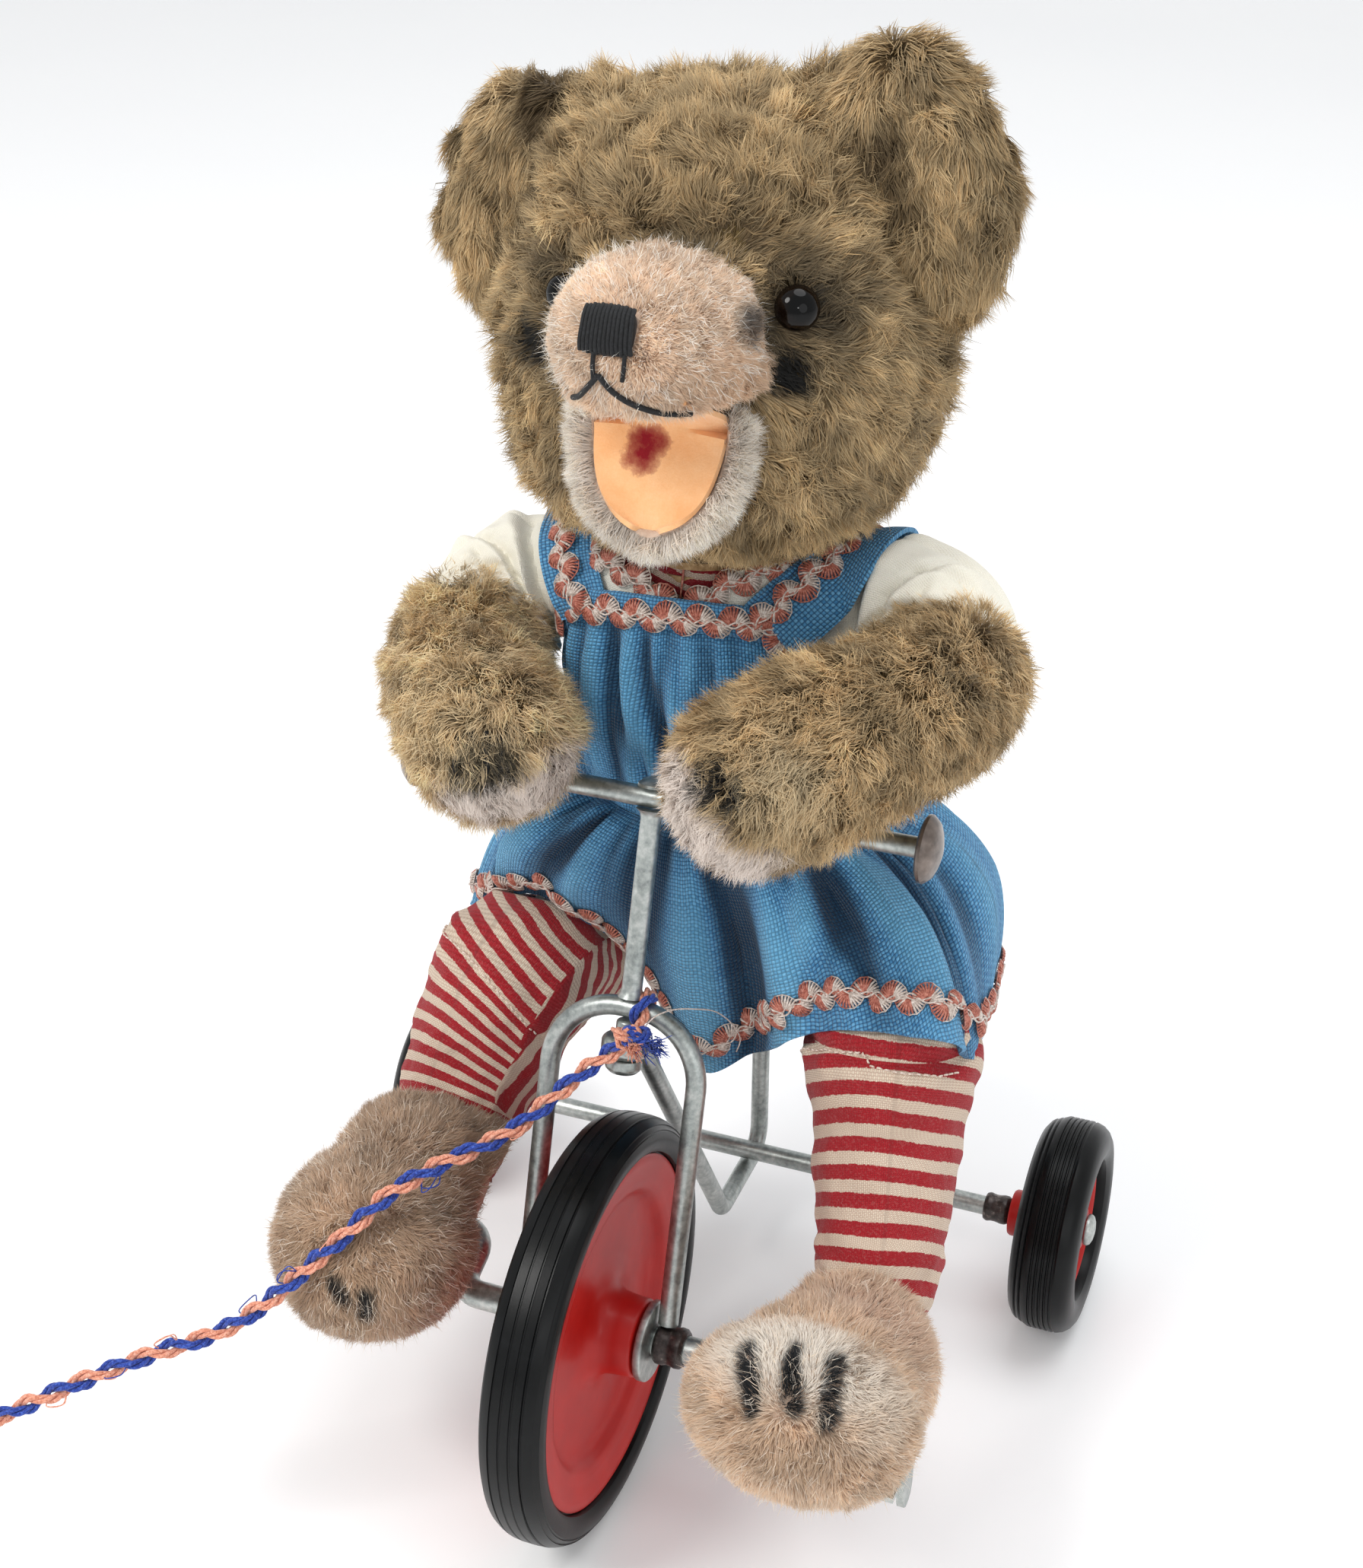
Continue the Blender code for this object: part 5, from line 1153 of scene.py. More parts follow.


# painted shade: a dark patch in the crease by the eye, tan on the shaded side, and a darker band where the top meets
# the forehead
MUZ_SPOTS = [((20.4, 22.5, 240.4), (3.4, 5, 3.2), 1.0, srgb("#4A4745")), ((18.0, 20.0, 233.0), (7, 12, 6.5), 0.55, srgb("#D6AE88")), ((5.0, 22.0, 251.0), (10, 6, 2.6), 0.4, srgb("#B89C84"))]
fur("muzzle_pile", muz_v, muz_f, 62000, len_muz, 0.16, comb_muz, pile(PTIP, PROOT, MUZ_SPOTS, 0.07, 8, patches=0.1), "head", M["furpale"], seed=51, lift=0.62, tiplift=0.42, clump=0.3, cell=1.0, rough=0.22, curl=0.15, keep=keep_muz, nscale=6.0, spread=0.16)
# sparse hairs coloured near white: painted glints on the muzzle pile
fur("muzzle_painted_glint_hairs", muz_v, muz_f, 3600, 3.6, 0.12, comb_muz, pile(A(srgb("#FFFDF6")), A(srgb("#E9DDCF")), MUZ_SPOTS[:1], 0.05, 9, patches=0.0), "head", M["furpale"], seed=53, lift=0.6, tiplift=0.45, clump=0.0, rough=0.4, curl=0.4, keep=keep_muz, nscale=3.0, spread=0.35)

# nose: satin-stitched block
nx, nz = A((1.0, 0, 0)), np.cross(NOSE_N, (1.0, 0, 0))
parts = []
for i in range(13):
    x0 = -4.35 + i * 8.7 / 12
    hh = 3.9 - 0.35 * abs(x0 / 4.3) ** 3 - 0.12 * (i % 2)
    path = [NOSE_P + nx * (x0 * (1 - 0.04 * (z0 / hh + 1))) + nz * z0 + NOSE_N * (0.9 + 1.35 * (1 - abs(z0 / hh) ** 4) * (1 - 0.4 * abs(x0 / 4.6) ** 3)) for z0 in np.linspace(-hh, hh, 15)]
    tv, tf, _ = tube(path, 0.42, 8)
    parts.append((tv, tf))
rings = []
for h, kk in ((-0.6, 0.98), (0.6, 1.0), (1.3, 0.9), (1.6, 0.6)):
    rings.append([NOSE_P + NOSE_N * h + nx * 4.3 * kk * math.copysign(abs(math.cos(t)) ** 0.5, math.cos(t)) + nz * 3.5 * kk * math.copysign(abs(math.sin(t)) ** 0.5, math.sin(t)) for t in np.linspace(0, 2 * math.pi, 32, endpoint=False)])
rv = A([p for r_ in rings for p in r_])
rf = [(i * 32 + j, i * 32 + (j + 1) % 32, (i + 1) * 32 + (j + 1) % 32, (i + 1) * 32 + j) for i in range(3) for j in range(32)] + [tuple(range(32)), tuple(96 + j for j in range(32))]
parts.append((rv, rf))
v, f = joined(parts)
build("nose_stitched", v, f, M["blackyarn"], "head", ("nose",), sharp=0)


def on_skin(v, faces, pts, lift=0.4):
    """Drops points to the nearest place of a skin, then lifts them along its smooth normal."""
    from mathutils.bvhtree import BVHTree
    t = tris_of(faces)
    N = normals_of(v, t)
    tree = BVHTree.FromPolygons([tuple(p) for p in v], [tuple(int(i) for i in q) for q in t])
    out = []
    for p in pts:
        loc, _, idx, _ = tree.find_nearest(tuple(float(x) for x in p))
        q = A(loc)
        w = 1 / np.maximum(np.linalg.norm(v[t[idx]] - q, axis=1), 1e-3)
        n = unit((N[t[idx]] * w[:, None]).sum(0))
        out.append(q + n * lift)
    return out


def stitch(name, path, r, body, mat="blackyarn", sides=8):
    tv, tf, uv = tube(path, r, sides, dome=0.6)
    return build(name, tv, tf, M[mat], body, (), uv=uv, sharp=0)


# mouth stitches: two down from the nose, then an upturned V that runs back along the lip
stitch("mouth_stitch_down_a", spline(on_skin(muz_v, muz_f, [(1.6, 3.4, 239.4), (1.5, 3.4, 237.5), (1.6, 3.6, 235.4)], 1.5), 4), 0.42, "head")
stitch("mouth_stitch_down_b", spline(on_skin(muz_v, muz_f, [(6.6, 3.6, 239.4), (6.5, 3.8, 237.5), (6.2, 4.0, 235.6)], 1.3), 4), 0.4, "head")
stitch("mouth_stitch_left", spline(on_skin(muz_v, muz_f, [(2.6, 4.0, 236.0), (4.6, 4.6, 234.0), (7.4, 5.6, 232.0), (11.0, 8.0, 230.2), (14.4, 11.2, 229.3)], 1.5), 5), 0.5, "head")
stitch("mouth_stitch_right", spline(on_skin(muz_v, muz_f, [(2.4, 4.0, 236.0), (0.2, 4.6, 233.6), (-2.2, 5.6, 231.2), (-4.4, 7.2, 229.8)], 1.5), 5), 0.5, "head")

# mouth: two felt faces that meet in a fold, with a dark red spot
FELT = [(7.0, 231.0, 9.0), (10.5, 229.0, 10.4), (14.5, 227.0, 11.4), (18.2, 225.0, 12.0), (20.8, 222.9, 12.0), (21.6, 221.2, 11.8), (21.2, 219.2, 11.6), (20.2, 216.6, 11.3), (19.0, 213.6, 10.7), (17.8, 210.8, 9.6), (16.9, 208.4, 7.9), (16.2, 206.4, 5.4), (15.8, 205.0, 2.4)]
FELT = [tuple(x) for x in spline(FELT, 3)]
grid = []
for (y, z, hw) in FELT:
    row = []
    for u in np.linspace(-1, 1, 33):
        bow = u * u
        up = z > 221.2
        row.append((JAW_X + hw * u, y + (bow * 2.0 if up else -1.4 * bow), z + (-0.6 * bow if up else 1.2 * bow * np.clip((221 - z) / 6, 0, 1))))
    grid.append(row)
g = A(grid)
nr, nc = g.shape[:2]
du = np.gradient(g, axis=1)
dv = np.gradient(g, axis=0)
nn = unit(np.cross(du, dv).reshape(-1, 3)).reshape(g.shape)
if nn[nr * 2 // 3, 16, 1] > 0:
    nn = -nn
back = g - nn * 0.9
vv = np.vstack([g.reshape(-1, 3), back.reshape(-1, 3)])
off = nr * nc
ff = []
for i in range(nr - 1):
    for j in range(nc - 1):
        a = i * nc + j
        ff.append((a, a + 1, a + nc + 1, a + nc))
        ff.append((off + a, off + a + nc, off + a + nc + 1, off + a + 1))
edge = [(0, j) for j in range(nc)] + [(i, nc - 1) for i in range(1, nr)] + [(nr - 1, j) for j in range(nc - 2, -1, -1)] + [(i, 0) for i in range(nr - 2, 0, -1)]
for (i, j), (k, l) in zip(edge, edge[1:] + edge[:1]):
    ff.append((i * nc + j, k * nc + l, off + k * nc + l, off + i * nc + j))
felt_ob = build("mouth_felt", vv, ff, M["felt"], "head", ("mouth_lining",), sharp=60)

# jaw: backing bowl and a bristly pale fringe round the felt
jaw_v, jaw_f = remeshed([ellip((JAW_X, 27.0, 213.0), (13.6, 11.5, 11.4), 36, 24)], 1.2, 4)
jn = unit(A((0.0, -0.88, 0.48)))
dd = (jaw_v - A((JAW_X, 19.8, 209.5))) @ jn
over = dd > -1.4
jaw_v[over] -= (dd[over] + 1.4)[:, None] * jn
skin("jaw_backing", jaw_v, jaw_f, M["skinpale"], "head", ("lower_jaw",))
low_rows = [q for q in FELT if q[1] < 222.5]
rim = [(JAW_X - hw - 1.2, y + 1.0, z) for (y, z, hw) in low_rows] + [(JAW_X, 16.2, 203.6)] + [(JAW_X + hw + 1.2, y + 1.0, z) for (y, z, hw) in low_rows[::-1]]
rim = even(spline(even(rim, 5.0), 4), 0.8)
rv_, rf_, _ = tube(rim, 1.5, 14, dome=0.8)
skin("jaw_rim", rv_, rf_, M["skinpale"], "head")
RIMC = A((JAW_X, 22.0, 214.5))


def comb_rim(P, n):
    q = P - RIMC
    q[:, 1] = 0
    return unit(q) * 1.1 + A((0, -0.55, -0.05))


def keep_rim(P, n):
    q = P - RIMC
    q[:, 1] = 0
    return (((unit(q) * n).sum(1) > -0.35) & (n[:, 1] < 0.75)).astype(float)


fur("jaw_fringe", rv_, rf_, 17000, 5.2, 0.16, comb_rim, pile(A(srgb("#FBF6EE")), A(srgb("#D0C3B6")), (), 0.12, 9, patches=0.1), "head", M["furpale"], seed=61, lift=0.25, tiplift=0.15, clump=0.25, cell=1.2, rough=0.2, curl=0.25, keep=keep_rim, nscale=4.0, spread=0.2)

# eyes
for n, p, r_e in (("left", (25.6, 31.4, 241.4), 3.9), ("right", (-14.6, 28.6, 240.2), 3.5)):
    nrm = unit((A(p) - HC) / A(HR) ** 2 * 1600)
    x = unit(np.cross((0, 1, 0), nrm))
    R = np.column_stack((x, np.cross(nrm, x), nrm))
    seat = A(p) + nrm * 0.4
    ev, ef = ellip(seat, (r_e, r_e, r_e * 0.85), 40, 28, R)
    ob = build("eye_glass_" + n, ev, ef, M["eye"], "head", ("eye_" + n,), sharp=0)
    at = ob.data.attributes.new("pupil", "FLOAT", "POINT")
    loc = (ev - seat) @ R
    at.data.foreach_set("value", np.clip((2.6 - np.linalg.norm(loc[:, :2], axis=1)) * 3, 0, 1))

# =============================================================== arms
ARMS = {"left": ([(50.6, 53, 171.4), (50.0, 41, 170.4), (44.6, 29, 169.6), (34, 19.5, 165.8), (26.0, 14.5, 161.2)], (12.3, 12.6, 12.6, 14.2, 13.6)),
        "right": ([(-43.5, 51.5, 165.0), (-42, 39, 161.8), (-35, 27.5, 160.4), (-26.5, 18.8, 158.4)], (12.2, 12.4, 13.0, 13.4))}
ARM_END = {"left": (A((50.8, 53.0, 171.6)), unit(A((-1.5, -12.0, -0.8)))), "right": (A((-43.7, 51.2, 164.8)), unit(A((1.5, -12.0, -3.2))))}
PADS = {"left": [((17.5, 5.0, 163.0), (4.6, 6.0, 5.5)), ((20.5, 3.0, 157.5), (5.5, 6.5, 5.5)), ((26.0, 3.0, 153.0), (8.0, 7.0, 5.0))], "right": [((-23.5, 7.0, 152.5), (8.0, 7.0, 4.6)), ((-17.0, 9.5, 153.0), (6.0, 7.0, 4.8)), ((-14.0, 15.0, 154.5), (4.0, 7.0, 6.0))]}
CLAWS = {"left": [((21.6, 3.6, 171.0), (19.8, 1.6, 166.0)), ((24.8, 1.8, 170.6), (23.2, 0.0, 165.4)), ((28.0, 1.2, 169.4), (26.6, -0.4, 164.6))],
         "right": [((-26.8, 4.0, 164.6), (-27.0, 2.9, 157.2)), ((-24.1, 4.6, 165.8), (-23.8, 3.0, 157.0)), ((-21.5, 5.6, 166.3), (-20.8, 3.8, 157.8)), ((-19.2, 6.4, 165.6), (-18.2, 5.2, 159.4))]}
rc_ = np.random.default_rng(77)
for n, (p, r) in ARMS.items():
    s = 1 if n == "left" else -1
    lv, lf, _ = limb(p, r, 32, True, True, 6)
    av, af = remeshed([(lv, lf)], 1.5, 3)
    skin("arm_backing_" + n, av, af, M["skin"], "fork", ("forearm_" + n,))
    P_ = A(p)
    tipp, dirn = P_[-1], unit(P_[-1] - P_[-2])
    E_, D_ = ARM_END[n]

    def comb_arm(P, nn, dirn=dirn, s=s, E_=E_, D_=D_):
        o = np.tile(dirn * 0.45, (len(P), 1))
        o[:, 2] -= 0.5
        near = np.clip(1 - ((P - E_) @ D_) / 7.0, 0, 1)
        o -= D_[None] * near[:, None] * 0.7
        return o

    def keep_arm(P, nn, E_=E_, D_=D_, s=s):
        back = (nn[:, 1] > 0.1) & (nn[:, 0] * s > -0.6) & (nn[:, 2] < 0.35)      # behind the elbow the cuff rides higher
        return ((P - E_) @ D_ > np.where(back, -6.4, 0.6)).astype(float)

    def len_arm(P, nn, n=n, E_=E_, D_=D_):
        L = np.full(len(P), 6.8)
        for c, rad in PADS[n]:
            L *= 1 - 0.16 * np.clip(1.6 - np.linalg.norm((P - A(c)) / A(rad), axis=1), 0, 1)
        return L * np.clip(0.8 + ((P - E_) @ D_) / 16.0, 0.5, 1)
    spots = [(c, rad, 2.2, srgb("#F4E8DE")) for c, rad in PADS[n]]
    cl = CLAWS[n]
    mid_claw = np.mean([np.mean(A(q), axis=0) for q in cl], axis=0)
    tip_c = A(p[-1])
    for a, b in cl:
        for t in (0.1, 0.4, 0.7, 0.95):
            q = A(a) + (A(b) - A(a)) * t
            spots.append((tuple(tip_c + unit(q - tip_c) * (r[-1] + 0.5)), (0.95, 2.4, 1.7), 1.3, srgb("#1D1B17")))
    # pale patch on the top of each paw's front: painted highlight
    if n == "left":
        spots.append(((35.0, 5.5, 168.0), (7.0, 7.0, 7.0), 0.5, srgb("#E6D6B4")))
    else:
        spots.append(((-33.0, 12.0, 166.0), (12.0, 10.0, 9.0), 0.35, srgb("#DCC9A2")))
    # the right arm's pile is drawn much paler and cooler than the left's: painted light
    fur("arm_plush_" + n, av, af, 60000 if n == "left" else 52000, len_arm, 0.21, comb_arm, pile(TIP * (A((1.12, 1.12, 1.14)) if n == "left" else A((1.54, 1.62, 1.82))), ROOT * (1.1 if n == "left" else A((1.62, 1.72, 1.92))), spots, 0.2, 12), "fork", M["fur"], seed=71 + s, lift=0.6, tiplift=0.36, clump=0.42, cell=1.1, rough=0.3, curl=0.45, gravity=0.08, keep=keep_arm, nscale=7.0, spread=0.22)
    # claws: each a core of thick yarn under a tuft of cut black yarn
    for i, (a, b) in enumerate(cl):
        a, b = A(a, float), A(b, float)
        o = unit((a + b) / 2 - tip_c)
        w_ = unit(np.cross(b - a, o))
        parts = [tube([a + (b - a) * t + o * (-1.6 + 0.9 * math.sin(math.pi * t)) for t in np.linspace(0, 1, 9)], 0.75, 8)[:2]]
        for k in range(40):
            t0 = rc_.uniform(-0.08, 0.72)
            q = a + (b - a) * t0 + w_ * rc_.normal() * 0.42 + o * (-2.2)
            d = unit((b - a) / np.linalg.norm(b - a) * 0.9 + o * rc_.uniform(0.35, 0.9) + w_ * rc_.normal() * 0.22 + rc_.normal(size=3) * 0.1)
            L_ = rc_.uniform(2.6, 4.6)
            parts.append(tube([q, q + d * L_ * 0.5, q + d * L_ - o * 0.5], [0.15, 0.12, 0.05], 4)[:2])
        v, f = joined(parts)
        build("claw_%s_%d" % (n, i + 1), v, f, M["blackyarn"], "fork", (), sharp=0)

# =============================================================== legs and feet
LEGS = {
    "left": dict(s=1, low=40.3, thigh=[(36.0, 80, 92), (40.5, 61, 92.5)], tr=(14.4, 15.6), shin=[(45.4, 45.0, 90.0), (47.8, 35, 75), (51.0, 22, 60.5), (52.2, 13, 54)], sr=(17.6, 14.4, 12.4, 10.6),
                 toe=[((50.3, -24.0, 57.2), (20.6, 11.8, 16.2)), ((50.6, -11.0, 53.6), (16.4, 14.0, 13.6)), ((56.0, -3.0, 52.2), (12.0, 12.6, 12.0)), ((52.0, 3.0, 53.0), (12.6, 10.6, 11.4))], pin=(-12.4, 37.6), inner=35.3),
    "right": dict(s=-1, low=44.8, thigh=[(-33.0, 79, 84.0), (-33.4, 63, 85.5)], tr=(14.4, 15.4), shin=[(-36.1, 46.2, 88.4), (-39.0, 37.6, 78.2), (-41.2, 29.5, 68.6), (-41.8, 21.5, 59.5)], sr=(17.3, 15.9, 13.6, 11.4),
                  toe=[((-42.5, -9.0, 58.0), (18.6, 18.8, 17.6)), ((-40.0, 11.0, 59.5), (16.0, 17.5, 14.5)), ((-41.5, 5.0, 65.0), (13.5, 14.5, 13.5))], pin=(12.4, 47.4), inner=-33.3),
}
G1, G2 = A((0.602, 0.558, 0.570)), A((0.393, 0.565, 0.726))
SEAM_K = A((-34.5, 31.2, 96.0))
for n, Lg in LEGS.items():
    s = Lg["s"]
    body = "pedal_" + n
    path = Lg["thigh"] + Lg["shin"]
    rad = list(Lg["tr"]) + list(Lg["sr"])
    lv, lf, luv = limb(path, rad, 104, True, True, 26)
    Nn = normals_of(lv, tris_of(lf))
    w = waves(lv, 11.0, 41 + s) * 0.22 + waves(lv, 4.5, 43 + s) * 0.1
    kn_ = A(Lg["shin"][0])
    if s > 0:
        # puckered seam across the front of the knee, and the fold above it
        cx = lv[:, 0] - 46.0
        d = lv[:, 2] - (98.4 - 0.012 * cx ** 2 + 0.06 * cx)
        front = np.clip((kn_[1] + 4 - lv[:, 1]) / 9, 0, 1)
        w += front * (-1.25 * np.exp(-(d / 1.2) ** 2) + 1.0 * np.exp(-((d - 3.0) / 1.7) ** 2) * (1 + 0.35 * np.sin(cx * 1.3)) + 0.4 * np.exp(-((d + 2.6) / 1.9) ** 2) * (1 + np.sin(cx * 1.15 + 1.0)))
        w += 0.45 * np.exp(-((lv[:, 2] - 60) / 4.5) ** 2) * np.sin(lv[:, 2] * 0.9 + lv[:, 0] * 0.2)
        ax_ = A((0.149, -0.642, -0.752))
        S1 = (lv @ ax_) * (5.4 / 5.12) + 0.16 * waves(lv, 26.0, 17)
        S2 = (lv @ unit(A((0.05, -0.45, -0.89)))) * (5.4 / 5.6) + 1.4 + 0.2 * waves(lv, 20.0, 19)
        cx = lv[:, 0] - 46.0
        runs = (S2, S1, S1)
        seams = (np.where(lv[:, 1] < kn_[1] + 22, lv[:, 2] - (98.4 - 0.012 * cx ** 2 + 0.06 * cx), 5.0), np.full(len(lv), -1.0))
    else:
        S = lv - SEAM_K
        side_ = unit(A((0.90, -0.12, -0.42)))
        a1 = S @ G1
        # below the seam the stripes fan out from a point down along it
        W_ = unit(np.cross(G1, (-0.3, -0.8, 0.52)))
        W_ = W_ * np.sign(W_[0])
        fan = np.arctan2(-a1, np.maximum(43.0 - S @ W_, 6.0)) * 46.0
        runs = (a1 * (5.4 / 3.8) + 0.2 * waves(lv, 24.0, 17), -fan * (5.4 / 3.5) + 0.2 * waves(lv, 24.0, 18), (S @ unit(A((-0.35, 0.75, -0.55)))) * 1.2 + 0.2 * waves(lv, 24.0, 19))
        seams = (a1, np.minimum((Nn @ side_ - 0.60) * 12, (a1 + 16) * 0.5))
        front = np.clip((Nn @ unit(A((-0.1, -0.8, 0.6)))) * 2.0, 0, 1)
        w += front * (0.8 * np.exp(-((a1 - 1.2) / 1.3) ** 2) - 0.55 * np.exp(-((a1 + 0.6) / 0.8) ** 2))
        w += 0.6 * np.exp(-((Nn @ side_ - 0.62) / 0.06) ** 2)
        # squarer knee
        w += 1.3 * np.clip(1 - np.linalg.norm(lv - A((-49.0, 40.0, 101.0)), axis=1) / 9.0, 0, 1)
    lv = lv + Nn * w[:, None]
    if s < 0:
        cap_z = 105.6 - np.clip(lv[:, 1] - 49.0, 0, 40) * 0.62
        lv[:, 2] = np.minimum(lv[:, 2], cap_z)
    leg = build("stocking_" + n, lv, lf, M["stripe"], body, ("shin_" + n, "thigh_" + n), uv=luv, sharp=0)
    for key, val in zip(("run_a", "run_b", "run_c", "seam_a", "seam_b"), runs + seams):
        leg.data.attributes.new(key, "FLOAT", "POINT").data.foreach_set("value", np.asarray(val, np.float32))
    # seam stitches
    if s > 0:
        pts = [(27.8, 39.0, 89.0), (31.5, 34.5, 94.0), (36.6, 31.0, 97.0), (41.0, 29.0, 98.2), (45.3, 28.2, 98.5), (49.5, 28.0, 98.6), (53.6, 28.6, 98.4), (58.0, 31.0, 97.6), (62.4, 36.5, 95.4)]
    else:
        pts = [(-51.0, 43.5, 98.6), (-48.6, 38.5, 99.4), (-45.5, 36.0, 99.6), (-42.0, 34.2, 98.8), (-38.0, 32.6, 97.2), (-34.5, 31.4, 95.2), (-31.0, 31.0, 92.4), (-28.6, 31.4, 89.2), (-27.0, 33.2, 85.4)]
    line = spline(pts, 8)
    ln = on_skin(lv, lf, line, 0.1)
    P0 = even(ln, 1.55)
    Nl = on_skin(lv, lf, P0, 1.0)
    pieces = []
    for i in range(0, len(P0) - 1):
        a, b = P0[i], P0[i + 1]
        o = unit(Nl[i] - a)
        m_ = a + (b - a) * 0.6
        pieces.append(tube([a - o * 0.12, a + (m_ - a) * 0.25 + o * 0.24, a + (m_ - a) * 0.75 + o * 0.24, m_ - o * 0.12], 0.19, 6)[:2])
    tv, tf = joined(pieces)
    build("seam_stitches_" + n, tv, tf, M["seam"], body, (), sharp=0)
    # foot
    fv, ff_ = remeshed([ellip(c, r, 40, 28) for c, r in Lg["toe"]], 1.4, 4)
    k = fv[:, 2] < Lg["low"]
    fv[k, 2] = Lg["low"] + (fv[k, 2] - Lg["low"]) * 0.3
    pr_ = np.hypot(fv[:, 1] - Lg["pin"][0], fv[:, 2] - Lg["pin"][1])
    k = (pr_ < 17.5) & ((fv[:, 0] - Lg["inner"]) * s < 0)
    fv[k, 0] = Lg["inner"]
    # paler zones on the toe's top and front are painted highlight, darker ones on the far side and underneath are
    # painted shade; the bars are the black claw marks
    if s > 0:
        zones = [((50.0, -27.0, 71.5), (18.0, 8.0, 6.0), 1.2, srgb("#FBF3E8")), ((65.0, -28.0, 66.0), (5.0, 8.0, 6.0), 0.6, srgb("#FAF0E2")), ((53.0, -36.0, 59.0), (14.0, 5.0, 5.0), 0.4, srgb("#C6A788")), ((57.0, -2.0, 62.0), (14.0, 9.0, 9.0), 0.6, srgb("#DDBDA9"))]
        bars = [((42.9, -26.6, 69.6), (46.0, -33.2, 64.8)), ((49.6, -26.4, 70.6), (51.6, -32.4, 66.8)), ((55.7, -25.4, 69.6), (57.2, -31.8, 65.4))]
    else:
        zones = [((-42.0, -22.0, 64.0), (12.0, 12.0, 12.0), 0.45, srgb("#E8C6A2")), ((-30.0, 8.0, 60.0), (9.0, 16.0, 14.0), 0.5, srgb("#8C6A52"))]
        bars = [((-41.4, -29.0, 64.4), (-39.4, -30.0, 59.0)), ((-34.8, -28.6, 62.0), (-34.6, -28.9, 56.0))]
    for a, b in bars:
        a, b = A(a), A(b)
        for t in (0.1, 0.37, 0.63, 0.9):
            q = on_skin(fv, ff_, [a + (b - a) * t], 0.0)[0]
            zones.append((tuple(q), (1.5, 2.4, 2.0) if s > 0 else (1.5, 2.4, 1.6), 1.45 if s > 0 else 0.9, srgb("#232528")))
    skin("foot_backing_" + n, fv, ff_, M["skinpale"], body, ("foot_" + n,))

    def comb_foot(P, nn, Lg=Lg):
        c = A(Lg["toe"][0][0])
        o = unit(P - c - A((0, -6.0, 8.0)))
        return o + vnoise(P, 18.0, 191) * 0.25

    def keep_foot(P, nn, Lg=Lg):
        pr_ = np.hypot(P[:, 1] - Lg["pin"][0], P[:, 2] - Lg["pin"][1])
        inner = (pr_ < 19.5) & ((P[:, 0] - (Lg["inner"] + 1.0 * Lg["s"])) * Lg["s"] < 0)
        return (~inner & (P[:, 2] > Lg["low"] + 0.6)).astype(float)

    def len_foot(P, nn, Lg=Lg):
        return 3.0 + 0.9 * np.clip((P[:, 1] - Lg["toe"][0][0][1]) / 16, 0, 1)
    fur("foot_plush_" + n, fv, ff_, 64000, len_foot, 0.17, comb_foot, pile(FTIP * (1.0 if s > 0 else A((0.72, 0.68, 0.66))), FROOT * (0.96 if s > 0 else A((0.66, 0.62, 0.6))), zones, 0.08, 15, patches=0.12), body, M["furpale"], seed=81 + s, lift=0.66, tiplift=0.5, clump=0.22, cell=0.9, rough=0.16, curl=0.12, gravity=0.02, nscale=9.0, spread=0.12, keep=keep_foot)
    fur("foot_guard_hairs_" + n, fv, ff_, 4200, 4.6, 0.13, comb_foot, pile(A(srgb("#FBF1E4")), A(srgb("#DCC7B0")), (), 0.1, 16, patches=0.0), body, M["furpale"], seed=85 + s, lift=0.75, tiplift=0.6, clump=0.0, rough=0.3, curl=0.3, nscale=4.0, spread=0.25, keep=keep_foot)

# =============================================================== dress
T_RINGS = [(91, 86.0, 12.0, 15.0), (90, 87.5, 15.5, 19.5), (86, 94, 17.2, 24.0), (80, 108, 17.4, 24.6), (74, 120, 17.6, 23.4), (71, 126, 18.6, 22.6),
           (69, 131, 24.4, 22.0), (66.5, 140, 24.4, 21.4), (64, 150, 24.4, 21.2), (61.5, 163, 23.0, 19.6), (60, 172, 20.6, 16.8), (58.5, 179, 17.0, 14.2), (58, 182.6, 13.4, 11.4)]


def ringsurf(rings, n=64, cap=True):
    """Horizontal ovals (yc, z, rx, ry) to a closed surface with UV in mm."""
    verts, uv = [], []
    L = 0.0
    for i, (yc, z, rx, ry) in enumerate(rings):
        if i:
            L += math.hypot(z - rings[i - 1][1], ry - rings[i - 1][3])
        for j in range(n):
            t = 2 * math.pi * j / n
            verts.append((rx * math.cos(t), yc + ry * math.sin(t), z))
            uv.append((t * 25, L))
    m = len(rings)
    faces = [(i * n + j, i * n + (j + 1) % n, (i + 1) * n + (j + 1) % n, (i + 1) * n + j) for i in range(m - 1) for j in range(n)]
    if cap:
        faces += [tuple(range(n)), tuple((m - 1) * n + j for j in range(n))]
    return A(verts), faces, A(uv)


v, f, uv = ringsurf(T_RINGS)
body_ob = build("body_cotton", v, f, M["cream"], "frame", ("torso",), uv=uv, sharp=60)


def fold_shade(ob, k):
    """Painted shade for the valleys (up to 1) and painted highlight for the ridges (down to -1) of a cloth, for its
    material.
    """
    k = np.asarray(k, np.float32).ravel()
    a = ob.data.attributes.new("fold", "FLOAT", "POINT")
    a.data.foreach_set("value", np.concatenate([k, k]))


